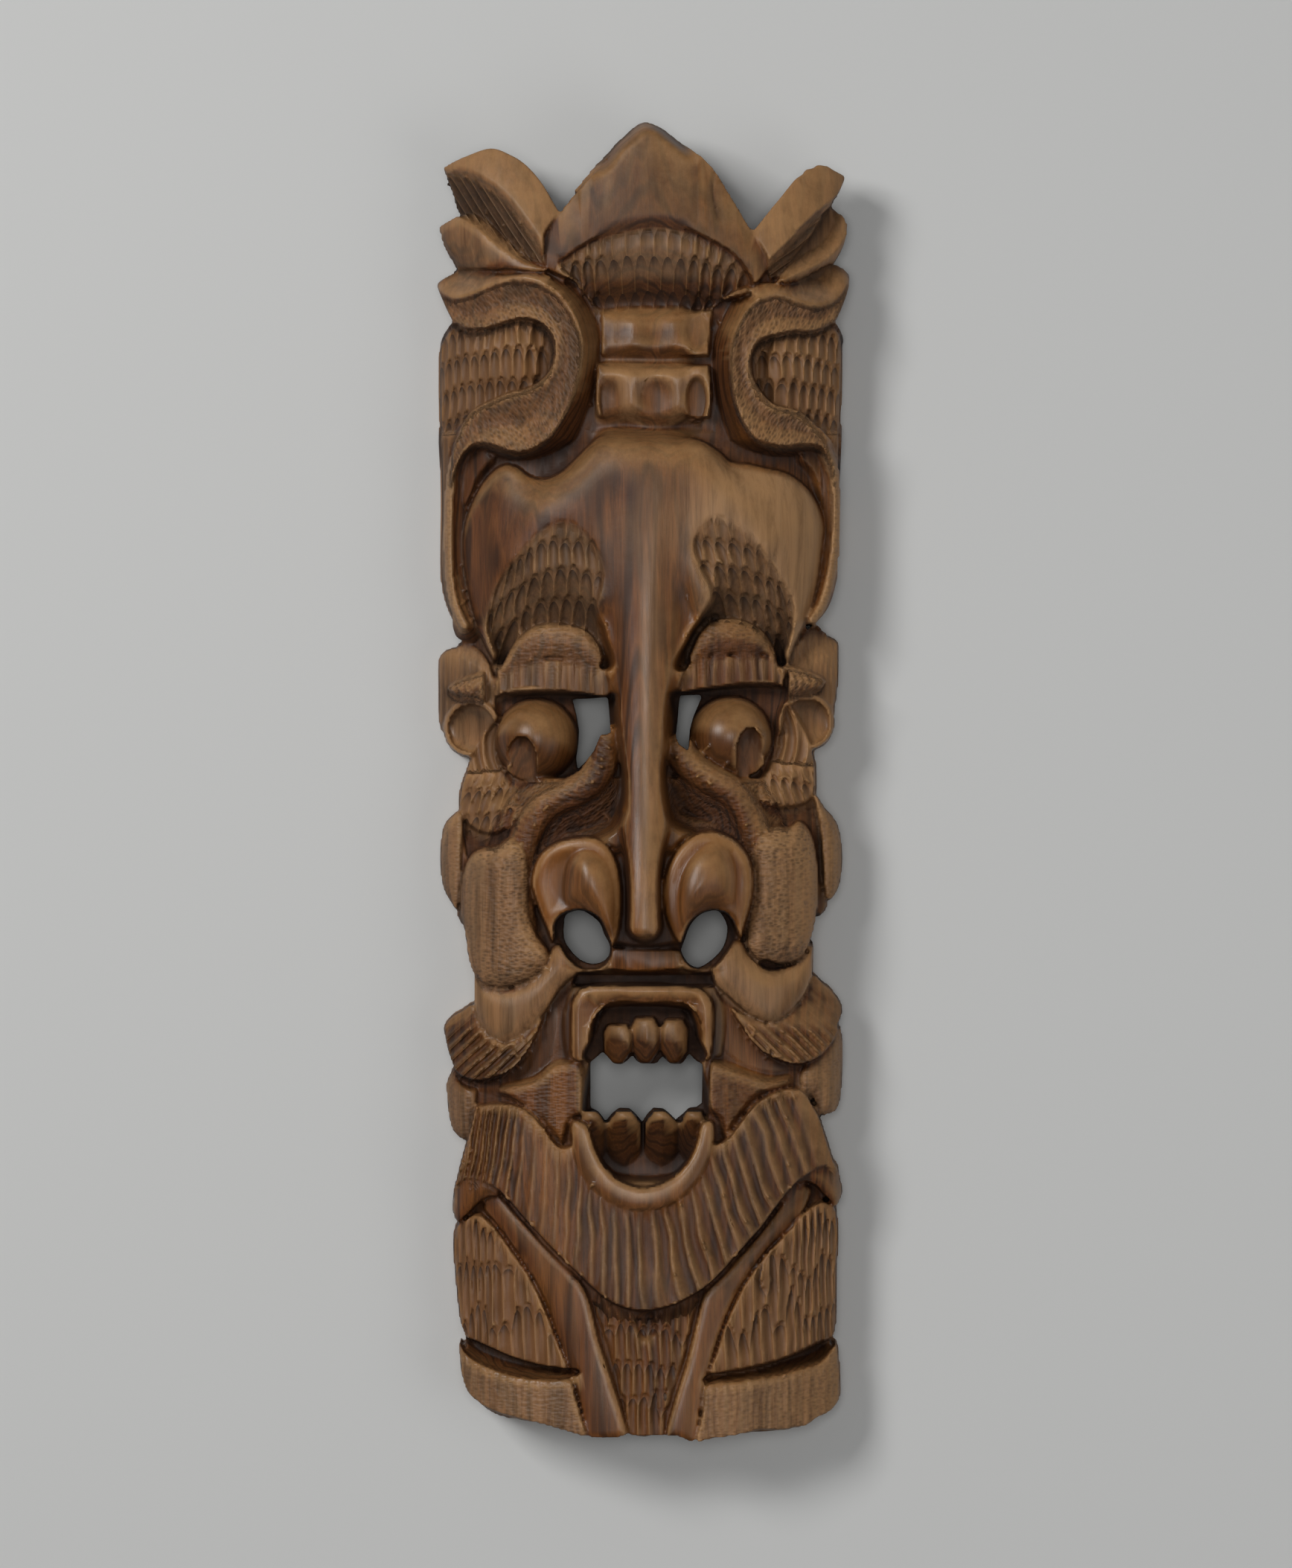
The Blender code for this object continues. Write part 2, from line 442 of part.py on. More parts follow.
def eyes(r):
    """The sockets, the eyeballs with their slanting pupils, and the gaps between eyeball and nose."""
    for points in ([(-95, 58), (-24, 58), (-20, 40), (-20, 12), (-30, -4), (-62, -12), (-88, -6), (-96, 14),
                    (-99, 36)],
                   [(22, 60), (93, 64), (92, 40), (88, 14), (78, -4), (60, -6), (36, 2), (20, 12), (17, 36)]):
        r.form(points, SOCKET_FLOOR, 6)
    rad = EYEBALL
    for cx, cy, px, py, ph, pv in ((-72, 25.5, -82, 8, 10.5, 19.5), (57.5, 27, 71, 14, 10.0, 19.5)):
        base = r.log[0, np.argmin(abs(r.x[0] - cx))] - 1
        dist = np.hypot(r.x - cx, r.y - cy)
        ball = base - rad + rad * np.sqrt(np.clip(1 - (dist / rad) ** 2, 0, 1))
        r.h = np.where(dist < rad, np.maximum(r.h, ball), r.h)
        scoop = 1 - ((r.x - px) / ph) ** 2 - ((r.y - py) / pv) ** 2
        slope = base - 16 + 0.22 * (r.y - py) + 3.5 * ((r.x - px) / ph) ** 2
        inside = (scoop > 0) & (dist < rad + 7)
        r.h = np.where(inside, np.where(r.y > py, np.minimum(r.h, slope), slope), r.h)
    for gap in ([(-48.5, 52.5), (-36, 53), (-24.5, 54), (-23.5, 42), (-22.5, 30), (-25, 28.5), (-29, 28.5),
                 (-31, 24), (-34, 17), (-39, 11), (-45, 5), (-46, 12), (-44.5, 22), (-44, 31), (-45.5, 41)],
                [(24, 55), (37, 55.5), (38.5, 54), (36, 48), (33, 41), (30.5, 32), (29.5, 17), (26, 20),
                 (23, 22), (21, 27), (22, 36), (23, 48)]):
        r.hole = np.maximum(r.hole, r.distance(gap, sharp=True))
    lids(r)


def lids(r):
    """The scaly eyelid domes and the fluted bands that hang below them."""
    for dome, band, cx in (
            ([(-64, 103.5), (-76, 100.5), (-86, 92.5), (-93, 81), (-98, 69), (-86, 74.5), (-75, 78), (-62, 79.2),
              (-50, 78.5), (-40, 76), (-32, 72), (-27, 80), (-33, 93), (-44, 101)],
             [(-98, 70), (-86, 75.5), (-75, 79), (-62, 80), (-50, 79.5), (-38, 76.5), (-25, 71), (-23.5, 53.5),
              (-40, 55), (-55, 57), (-70, 58.7), (-82, 58.7), (-91, 57), (-101, 53.5)], -62),
            ([(62, 106.5), (48, 105.5), (39, 100), (33, 90), (29.5, 78), (40, 79.8), (52, 81.2), (70, 82.3),
              (80, 81.6), (89, 79), (85, 91), (76, 101)],
             [(29, 76), (40, 80.5), (55, 82.2), (70, 83), (80, 82.3), (88.5, 80), (94, 61), (86, 62.8),
              (76, 63), (62, 61.5), (50, 59.5), (38, 58), (22.5, 57)], 60)):
        d = r.form(band, r.log - 5, 1.6)
        r.h -= 1.9 * ramp(d, 2) * flute((r.x - cx) / 8.6 + 0.5)
        d = r.distance(dome)
        swell = r.log - 14 + 12 * bulge(d, 16)
        r.h += (swell - r.h) * ramp(d, 1.2)


def cheeks(r):
    """The tear rolls, the sunk ground between them and the nose, and the pouches outside them."""
    hollow_left = [(-22, 18), (-20, 4), (-18, -12), (-20, -28), (-34, -36), (-56, -40), (-70, -46), (-76, -60),
                   (-80, -36), (-66, -20), (-46, -10), (-30, -2)]
    hollow_right = [(20, 12), (17, -6), (20, -22), (30, -30), (48, -32), (62, -38), (70, -52), (74, -70),
                    (76, -44), (66, -24), (46, -8), (30, 2)]
    for points in (hollow_left, hollow_right):
        r.form(points, r.log - 24, 5)
    for path in ([(-26.5, 26), (-27, 19), (-29, 8), (-36, -2), (-48, -10), (-60, -15), (-69, -21), (-76, -31),
                  (-81, -42), (-84, -60), (-84, -85), (-82, -105)],
                 [(23, 19), (27, 12), (36, 4), (48, -3), (58, -9), (66, -18), (72, -29), (76, -40), (80, -56),
                  (80, -80), (76, -100)]):
        flank = r.distance(path, closed=False)
        beside = (flank > -26) & (r.y > -62) & (r.y < 16)
        r.h = np.where(beside, np.maximum(r.h, r.log - 5 + 0.65 * flank), r.h)
        r.roll(path, r.log - 2, TEAR_ROLL)
    pouches(r)


def pouches(r):
    """The stippled cheek pouches with their lower lips, and the lobes and flanges at the sides."""
    for points, lip, lobe, flange in (
            ([(-110, -47), (-98, -45), (-90, -40), (-80, -46), (-77, -62), (-77, -88), (-72, -104), (-64, -116),
              (-66, -126), (-76, -135), (-90, -140.5), (-103, -140.5), (-111, -138.5), (-115.5, -132),
              (-119, -122), (-121, -108), (-123.6, -92), (-123.8, -76), (-121.5, -62), (-117, -52)],
             [(-109, -138.5), (-96, -140.8), (-80, -137.5), (-84, -143.5), (-92, -145.5), (-101, -144)],
             [(-122, -22), (-129, -24.5), (-134, -29), (-137, -36), (-138.6, -50), (-138.2, -64), (-136, -76),
              (-131.5, -84), (-127, -90), (-124, -84), (-122, -50)],
             [(-127, -89), (-126, -95), (-123.3, -100), (-118, -95), (-118, -60), (-122, -40)]),
            ([(88, -32), (96, -33), (103, -28.5), (109, -32), (114, -42), (117, -60), (117.5, -78), (116, -94),
              (113.5, -106), (109.5, -116), (103, -123), (92, -126), (82, -126), (74, -121), (68, -111),
              (70, -96), (73, -78), (73.5, -60), (75, -42)],
             [(104, -122.5), (92, -124.5), (80, -121), (76, -125), (84, -130.5), (94, -128.5)],
             [(113, -10), (117, -12), (122, -20), (127, -25.5), (131, -32), (133.4, -42), (134.2, -56),
              (133, -69), (130, -78), (124, -83.8), (120, -75), (118, -40)],
             [(118, -70), (124.2, -84), (122.5, -90.5), (119.5, -93.8), (116.5, -95), (114, -80)])):
        r.form(flange, r.log - 12, 2, edge=True)
        d = r.distance(lobe)
        r.h += (r.log - 12 + 8 * bulge(d, 9) - r.h) * ramp(d, 1.2)
        r.plan = np.maximum(r.plan, d)
        d = r.distance(points)
        full = r.log - 6 + 10 * bulge(d, 15)
        r.h += (full - r.h) * ramp(d, 1.0)
        r.plan = np.maximum(r.plan, d)
        r.form(lip, r.log - 22, 2.0)


def nose(r):
    """The long nose: its ridge, its side walls down to the sockets, and the shells of its wings."""
    bridge = [(-24, 196), (-25, 175), (-25, 150), (-27, 130), (-30, 113), (-29, 103), (-26, 92), (-24, 80),
              (-22.5, 60), (-21, 38), (-18.5, 18), (-16, 0), (-15.5, -18), (-18, -32), (-16, -44), (-13, -56),
              (-10.5, -70), (-10, -88), (-10.5, -103), (-6, -108.5), (1, -109.5), (8, -108.5), (10.5, -103),
              (10.5, -88), (10, -70), (12, -56), (16, -43), (19, -31), (17, -18), (15.5, 0), (17.5, 20),
              (18.5, 42), (21, 60), (24, 75), (28, 90), (33, 100), (37, 109), (36, 126), (30, 150), (28, 175),
              (26, 196), (0, 207)]
    r.form([(-28, -48), (0, -40), (28, -46), (24, -80), (24, -113), (-24, -113), (-25, -80)], r.log + 3, 6)
    for flare in ([(-13, 4), (-17, -14), (-24, -30), (-40, -40), (-30, -50), (-16, -54), (-6, -40)],
                  [(13, 6), (17, -12), (22, -26), (36, -36), (28, -48), (16, -54), (6, -40)]):
        r.form(flare, r.log + 6, 9)
    rise = np.interp(-r.y, [-205, -150, -90, -30, 30, 80, 104, 112], [102, 104.5, 106, 109, 114, 121, 123, 118])
    across = r.x - np.interp(-r.y, [-200, -100, 0, 110], [1.5, 1.0, 0.5, 0.2])
    d = r.distance(bridge)
    wall = np.interp(-r.y, [-190, -130, -95, -60, 110], [16.0, 14.0, 8.0, 6.5, 4.5])
    r.h += (rise - 0.016 * across ** 2 - r.h) * ramp(d, wall)
    r.sand(np.minimum(r.y - 100, 36 - np.abs(r.x)), 3.5, 14)

    for shell, lobe, centre in (
            ([(-61, -111), (-66, -101), (-72, -86), (-76, -70), (-72, -54), (-62, -44), (-48, -39.5), (-34, -39),
              (-24, -45), (-17, -58), (-14.5, -76), (-15, -94), (-18, -108), (-24, -115), (-40, -100),
              (-55, -96)],
             [(-56, -66), (-52, -54), (-44, -48), (-34, -49), (-24, -58), (-19, -72), (-18, -90), (-21, -108),
              (-28, -100), (-40, -89), (-52, -88), (-57, -80)], -32),
            ([(64, -109), (68, -98), (72, -84), (73.5, -68), (70, -52), (60, -40), (46, -35), (32, -38),
              (20, -50), (13, -66), (12, -84), (16, -100), (25, -112), (40, -98), (56, -94)],
             [(67, -80), (68, -64), (62, -50), (52, -42), (40, -45), (28, -56), (20, -72), (19, -90),
              (26, -106), (36, -92), (48, -87), (58, -92), (64, -94)], 38)):
        d = r.distance(shell)
        rim = r.log + WING_RISE - 3 * ramp(d - 5, 10) - 6 * (1 - bulge(d, 9))
        r.h += (rim - r.h) * ramp(d, 1.8)
        inner = r.distance(lobe)
        mound = r.log + 8 + 13 * bulge(inner, 23) - 0.012 * (r.x - centre) ** 2
        r.h += (np.maximum(mound, r.h) - r.h) * ramp(inner, 2.0)

    # cheek strap beneath the wings and the upper-lip plate
    r.form([(-24, -114), (0, -113.5), (25, -115), (26, -129), (-24, -129.5)], r.log - 5, 2.5)


def nostrils(r):
    """The flared nostrils, cut right through."""
    for rim, hole in (([(-61, -100), (-57, -92), (-49, -88.5), (-40, -88), (-30, -93), (-25, -102), (-21.5, -112),
                        (-22.5, -121), (-29, -128), (-40, -129.5), (-50, -123), (-57, -112)],
                       [(-52.5, -92), (-44, -89), (-38, -91), (-30, -97.5), (-27, -105), (-23, -113), (-24, -120),
                        (-29, -124.3), (-36, -125.3), (-44, -122), (-50.5, -115), (-54, -108), (-54, -98)]),
                      ([(60, -99), (56.5, -91), (48, -88), (40, -89), (31, -95), (26, -105), (23.5, -115),
                        (28, -125), (37, -129.5), (47, -127.5), (56, -117), (61.5, -107)],
                       [(36, -93), (42, -90), (49, -89.3), (53, -94), (55.6, -100), (55, -108), (52, -115.5),
                        (46, -122), (40, -126.3), (36, -128), (30, -125.5), (26, -120), (24.5, -116),
                        (27.3, -108), (30.5, -99.5)])):
        r.form(rim, r.log - 20, 2.0)
        r.hole = np.maximum(r.hole, r.distance(hole))


PILLARS = ([(-60, -112), (-66, -124), (-76, -134), (-90, -141), (-104, -140), (-114, -133), (-115.3, -145),
            (-114.5, -156), (-110, -167), (-104, -174), (-94, -178.5), (-85, -175), (-76, -168), (-68, -160),
            (-62, -151), (-57, -143), (-50, -136), (-42, -131), (-24, -129), (-24, -116), (-44, -112)],
           [(64, -109), (70, -118), (82, -128), (94, -127), (106, -121), (113.5, -110), (114.3, -125),
            (113.5, -134), (108, -146), (102, -154), (95, -160.5), (86, -165), (77, -162.5), (68, -158),
            (59, -150), (50, -142), (44, -135), (44, -129), (26, -129), (26, -116), (44, -112)])


def jaw(r):
    """The smooth pillars from the nose to the sides, the fluted fans below them, and the patches."""
    for points in PILLARS:
        d = r.distance(points)
        r.h += (r.log - 3 - 6 * (1 - bulge(d, 9)) - r.h) * ramp(d, 1.2)
        r.plan = np.maximum(r.plan, np.where(np.abs(r.x) > 60, d, -99))
    for fan, side, wall, across, along in (
            ([(-115, -151), (-119, -152.7), (-123, -156), (-130, -160), (-134.3, -165), (-136.3, -169),
              (-135, -176), (-133, -185), (-130.5, -192), (-127.5, -198), (-121, -202), (-113, -203.8),
              (-104, -202.6), (-95, -199.5), (-87, -194), (-80, -186), (-74, -177), (-69.5, -167),
              (-67, -159), (-76, -167), (-85, -174.5), (-94, -178), (-104, -173.5), (-110, -166)],
             [(-128, -196), (-131.5, -200), (-134.3, -207), (-133.8, -217), (-132.5, -229), (-130, -238),
              (-125, -243.5), (-120.5, -245.5), (-116, -235), (-112, -215), (-114, -203)],
             [(-67, -158), (-60, -150), (-56, -158), (-57, -174), (-62, -188), (-72, -200), (-86, -209),
              (-104, -212), (-122, -209), (-128, -199), (-112, -204), (-95, -200), (-80, -186)], 0.68, -0.73),
            ([(114.3, -132), (119, -136), (125, -141), (130.5, -147.5), (133.8, -154), (134, -160), (132, -165),
              (131.3, -170), (127, -178), (120, -186), (112, -190.8), (102, -193), (90, -190), (80, -184.5),
              (72, -177), (65, -167.5), (57, -154), (66, -157.5), (77, -162.5), (86, -165), (95, -160.5),
              (102, -153), (108, -145)],
             [(131, -168), (133.5, -172.5), (134.6, -180), (134.4, -195), (133.7, -210), (132.5, -219),
              (129.5, -225.5), (124, -227.5), (118, -228), (112, -215), (104, -206), (108, -192)],
             [(57, -153), (50, -146), (48, -160), (50, -178), (60, -190), (76, -197.5), (94, -199), (106, -196),
              (114, -190), (100, -193), (82, -186), (66, -168)], 0.70, 0.71)):
        d = r.distance(side)
        r.h += (r.log - 14 + 8 * bulge(d, 12) - r.h) * ramp(d, 1.2)
        r.plan = np.maximum(r.plan, d)
        r.form(wall, r.log - 16, 3)
        d = r.distance(fan)
        low = np.clip((-150 - r.y) / 45, 0, 1)
        r.h += (r.log - 10 + 13 * low - r.h) * ramp(d, 1.4)
        r.plan = np.maximum(r.plan, d)
        r.h -= FINE_CUT * ramp(d, 2.2) * flute((r.x * across + r.y * along) / FINE)
    for patch in ([(-68, -204), (-58, -194), (-46, -190), (-38, -192), (-38, -222), (-47, -228), (-51, -244),
                   (-55, -247), (-64, -235), (-78, -221), (-92, -216), (-106, -213), (-86, -209)],
                  [(40, -190), (54, -191), (66, -197), (82, -200), (102, -199), (112, -196), (110, -206),
                   (96, -208), (82, -211), (72, -218), (62, -230), (52, -241), (47, -229), (39, -221)]):
        d = r.distance(patch)
        r.h += (r.log - 11 + 5 * bulge(d, 10) - r.h) * ramp(d, 1.5)


def mouth(r):
    """The open mouth: lips, upper and lower teeth, and the gap right through between them."""
    basin = [(-34, -131), (34, -131), (50, -142), (55, -160), (53, -186), (46, -192), (44, -222), (49, -232),
             (48, -250), (38, -272), (20, -288), (0, -292), (-20, -289), (-40, -273), (-50, -250), (-50, -232),
             (-42, -222), (-40, -192), (-52, -190), (-56, -165), (-52, -146), (-44, -135)]
    r.form(basin, r.log - 14, 3)
    inside = [(-38, -190), (-35, -162), (-28, -152), (24, -152), (35, -162), (39, -190), (44, -222), (36, -250),
              (20, -269), (-20, -269), (-36, -250), (-42, -222)]
    r.form(inside, MOUTH_FLOOR, 4)
    # upper lip: a square-shouldered roll
    upper = r.distance([(-47.5, -188), (-48.5, -170), (-48, -153), (-45, -146), (-37, -140), (0, -139.5),
                        (33, -139.5), (41, -143.5), (46, -151), (46.5, -170), (44, -188), (38, -188),
                        (37.5, -168), (34, -158), (25, -151.5), (0, -151), (-20, -151), (-29, -156), (-35, -166),
                        (-38, -188)])
    r.h += (r.log - 6 + 4 * bulge(upper, 5) - r.h) * ramp(upper, 1.2)
    gum = [(-34, -170), (-27, -155), (-14, -151.5), (12, -151.5), (26, -155), (35, -170), (38, -192), (-37, -192)]
    r.form(gum, MOUTH_FLOOR + 4, 3)
    for cx, half, top, tip, turn in ((-18, 9.5, -165, -192.6, 0.35), (0.5, 9.5, -161, -192, 0.1),
                                     (20, 9, -162, -192.3, -0.3)):
        outline = [(cx - half, top - 6), (cx - half + 3, top), (cx + half - 3, top), (cx + half, top - 6),
                   (cx + half, tip + 9), (cx + half - 5.5, tip + 0.8), (cx + 1, tip), (cx - half + 5.5, tip + 0.5),
                   (cx - half, tip + 9)]
        d = r.distance(outline, sharp=True)
        front = TOOTH_FRONT - 0.02 * (r.x - cx) ** 2 - 0.45 * np.clip(-176 - r.y, 0, 20) + turn * (r.x - cx)
        r.h = np.where(d > 0, np.maximum(r.h, front - 8 * (1 - bulge(d, 5))), r.h)
    for cx, half in ((-13.5, 10.5), (11.5, 10.5), (-36, 8), (33, 7)):
        outline = [(cx - half, -231), (cx - half + 5, -223), (cx + half - 5, -223), (cx + half, -231),
                   (cx + half - 1, -250), (cx + half - 5, -262), (cx - half + 5, -262), (cx - half + 1, -250)]
        d = r.distance(outline)
        front = LOWER_TOOTH_FRONT - 0.03 * (r.x - cx) ** 2 - 0.35 * np.clip(r.y + 238, 0, 20)
        r.h = np.where(d > 0, np.maximum(r.h, front - 9 * (1 - bulge(d, 6))), r.h)
    # lower lip: a half-round roll in a deep curve
    lower = r.distance([(-48.8, -229.5), (-49, -246), (-45, -260), (-38, -271.5), (-28, -281), (-15, -287.8),
                        (0, -290), (15, -287), (28, -279), (38, -267.5), (44.5, -254), (47.3, -240),
                        (46, -229.5), (38, -231), (34, -245), (28, -257), (18, -267), (5, -272.5), (-5, -272.8),
                        (-18, -267.5), (-27, -258), (-33, -246), (-38, -232)])
    r.h += (r.log - 8 + 7 * bulge(lower, 7) - r.h) * ramp(lower, 1.2)
    gap = [(-36.3, -191), (-33, -188.5), (-28, -184), (-24.5, -187.5), (-20, -192.3), (-15, -192.5), (-11.5, -190),
           (-8, -186.3), (-5, -190.5), (-2, -192), (8, -192), (12, -187), (15.5, -190.5), (18, -192.3),
           (25, -192.3), (27.5, -189), (30, -185.2), (34.5, -190), (39, -192.5), (38.6, -219), (35, -221.5),
           (30, -222), (26, -226), (21, -230), (17, -226), (13, -222.6), (6, -222), (2, -226), (-1.5, -231.5),
           (-6, -226), (-10, -222.5), (-17, -222), (-22, -226), (-26, -231.2), (-31, -224.5), (-36.3, -222)]
    r.hole = np.maximum(r.hole, r.distance(gap, sharp=True))


BEARD = [(-108, -219), (-114, -221), (-118, -236), (-122, -250), (-126, -265), (-128.6, -278), (-124, -273),
         (-117, -270), (-108, -271.5), (-101, -275), (-93, -282), (-84, -292), (-74, -303), (-64, -313.5),
         (-54, -323.5), (-44, -333), (-33, -343.5), (-21, -352), (-8, -356.3), (5, -356.5), (18, -353.5),
         (30, -348), (42, -340.5), (52, -331), (62, -320), (72, -309), (80, -300), (88, -289), (96, -279),
         (104, -270.5), (112, -265), (121, -261.5), (130.5, -266.5), (127, -254), (123, -241.5), (119, -229),
         (113, -218), (107, -209.5), (99, -208), (90, -209.5), (82, -212.5), (73, -219), (64, -230),
         (55, -241), (44, -244), (30, -232), (0, -226), (-30, -232), (-46, -244), (-57, -246), (-68, -232),
         (-80, -221), (-94, -218)]


def beard(r):
    """The fluted beard and its curved hem."""
    d = r.distance(BEARD)
    foot = r.distance([(-128, -276), (-117, -270.5), (-101, -275), (-84, -292), (-64, -313.5), (-44, -333),
                       (-21, -352), (5, -356.5), (30, -348), (52, -331), (72, -309), (88, -289), (104, -270.5),
                       (121, -261.5), (132, -267)], closed=False, margin=60)
    top = r.log - 2 + 5 * ramp(60 + foot, 60)
    r.h += (top - r.h) * ramp(d, 1.6)
    r.plan = np.maximum(r.plan, np.where(np.abs(r.x) > 80, d, -99))
    lean = np.interp(r.x, [-130, -100, -40, 10, 60, 120], [0.26, 0.16, 0.02, -0.02, -0.42, -0.40])
    u = r.x - lean * (r.y + 290)
    r.h -= FINE_CUT * ramp(d, 6) * flute(u / 7.6)


def shoulders(r):
    """The rolls at the ends of the beard's hem, and the fluted panels with a band across each foot."""
    # rolls at both ends of the hem
    for points in ([(-127.5, -277), (-129.6, -284), (-130.2, -291), (-128.5, -297), (-125.5, -300.5), (-119, -295),
                    (-112, -287), (-104, -282), (-97, -283), (-101, -275), (-109, -271), (-118, -270)],
                   [(130, -265), (132.5, -272), (134.3, -279.5), (132.5, -285), (129.3, -289.5), (122, -283),
                    (115, -275), (108, -272), (101, -274), (110, -266), (120, -262)]):
        d = r.distance(points)
        r.h += (r.log - 12 + 6 * bulge(d, 8) - r.h) * ramp(d, 1.2)
        r.plan = np.maximum(r.plan, d)
    # panels and bands
    for panel, band, slit, shift in (
            ([(-127.5, -301), (-121, -296), (-112, -292), (-105, -296), (-97, -304), (-90, -314), (-81, -326),
              (-73, -339), (-68, -350), (-62, -364), (-56, -380), (-50, -396), (-62, -396), (-75, -393.5),
              (-90, -389.5), (-105, -383.5), (-114, -379.5), (-120, -377.7), (-124.5, -370), (-126.5, -358),
              (-128.5, -338), (-130, -318), (-129.5, -308)],
             [(-124, -378.8), (-125.6, -385), (-125, -396), (-123.6, -405), (-119.5, -414.5), (-111, -421.5),
              (-99, -427), (-85, -430.5), (-68, -434.7), (-54, -438.5), (-38, -441.8), (-41, -428), (-45, -414),
              (-49, -402), (-60, -402.3), (-75, -401.8), (-90, -399.3), (-105, -394.5), (-117, -388.5)],
             [(-124.5, -379.5), (-119, -377), (-104, -382), (-88, -388.5), (-70, -393.5), (-43, -396.3),
              (-50, -402.6), (-74, -402.2), (-91, -399.7), (-106, -395), (-118, -389)], 0),
            ([(129.5, -289), (131, -296), (131.8, -310), (131, -330), (130.6, -352), (130, -370), (127.6, -377.8),
              (118, -380.3), (105, -386), (90, -391.7), (75, -395.3), (60, -398), (43, -399.5), (47, -386),
              (52, -370), (57, -358), (63, -345), (71, -332), (80, -320), (89, -310.5), (98, -301),
              (106, -292), (114, -286), (122, -284)],
             [(128.3, -379.6), (131.2, -384), (132.4, -395), (133.3, -410), (133, -418), (130.6, -422.5),
              (127, -426.5), (122, -429.7), (117, -431.2), (112, -434.7), (107, -437.2), (101, -437),
              (96, -438.3), (90, -438.7), (78, -437.7), (70, -439.8), (60, -442), (45, -444), (34, -444.6),
              (38, -425), (41, -406), (60, -403.4), (75, -401.4), (90, -399.2), (105, -395.8), (119, -391.3)],
             [(129, -378.5), (118, -380.5), (104, -386.5), (88, -392), (70, -396.5), (41, -400), (40.5, -405.8),
              (60, -403.2), (76, -401.2), (92, -398.8), (107, -395), (120, -390.8)], 4)):
        d = r.form(panel, r.log - 6, 2.2, edge=True)
        r.h -= FINE_CUT * flute((r.x + shift + 0.04 * (r.y + 340)) / 9.2) * ramp(d, 5)
        r.form(band, r.log - 6, 1.8, edge=True)
        r.carve(r.distance(slit), 14, 2)


def straps(r):
    """The smooth straps between the panels and the middle, and the rough wedge below the beard."""
    for points in ([(-98, -279), (-84, -294), (-64, -315), (-44, -335), (-36, -350), (-30, -375), (-22, -400),
                    (-14, -425), (-12, -441), (-38, -442), (-42, -425), (-50, -398), (-57, -378), (-68, -349),
                    (-82, -325), (-97, -304), (-108, -290), (-106, -281)],
                   [(100, -272), (88, -291), (72, -311), (52, -333), (40, -344), (34, -365), (28, -390),
                    (20, -415), (14, -440), (22, -442), (34, -445), (38, -425), (43, -400), (52, -370),
                    (63, -345), (80, -320), (98, -301), (108, -290), (112, -276)]):
        r.form(points, r.log - 17, 4, edge=True)
    wedge = [(-34, -345), (0, -350), (36, -345), (32, -368), (27, -390), (20, -412), (15, -430), (15, -440.8),
             (5, -443.3), (-3, -443.7), (-12, -441), (-13, -428), (-19, -405), (-26, -380)]
    d = r.form(wedge, r.log - 12, 3, edge=True)
    r.h -= 1.6 * ramp(d, 3) * flute(r.x / 6.5 + 0.15 * np.sin(r.y / 14))
    knot = 1 - ((r.x + 3) / 9) ** 2 - ((r.y + 367) / 13) ** 2
    r.h -= 10 * ramp(knot, 0.7)


def carve_mask(step):
    """The whole face; later forms are cut into or laid over earlier ones."""
    r = Relief(step)
    body(r)
    petals(r)
    crown(r)
    neck(r)
    scrolls(r)
    forehead(r)
    ears(r)
    crescents(r)
    eyes(r)
    cheeks(r)
    nose(r)
    straps(r)
    shoulders(r)
    beard(r)
    jaw(r)
    nostrils(r)
    mouth(r)
    r.close_pits()
    return r


def spread(grid, cells, pick):
    """Each value of a grid replaced by the least or the mean of those around it."""
    for axis in (0, 1):
        grid = pick([np.roll(grid, shift, axis) for shift in range(-cells, cells + 1)], axis=0)
    return grid


def back(r, units_per_metre):
    """Heights of the back: the flat rim, the scooped hollow and the lifted back of the crown."""
    rounding = HOLLOW_ROUNDING * units_per_metre[0]
    per_depth = units_per_metre[2]
    side = SHEET_WIDTH / 2 - RIM * units_per_metre[0]
    right = [(0, 388), (0.27 * side, 370), (0.53 * side, 346), (0.82 * side, 324), (0.96 * side, 296), (side, 260),
             (side, 0), (side, -370), (0.94 * side, -398), (0.72 * side, -412), (0, -418)]
    d = r.distance(right + [(-x, y) for x, y in right[-2:0:-1]], margin=8)
    # the scoop stays clear of the deepest cuts in the face, with no sharp print of them
    sound = spread(spread(r.h, 5, np.min), 5, np.mean) - WALL * per_depth
    hollow = np.where(d > 0, np.minimum(HOLLOW_DEPTH * per_depth * bulge(d, rounding), sound), 0)
    lift = CROWN_LIFT * per_depth * np.clip((r.y - 325) / (SHEET_HEIGHT / 2 - 325), 0, 1)
    return np.maximum(hollow, lift)


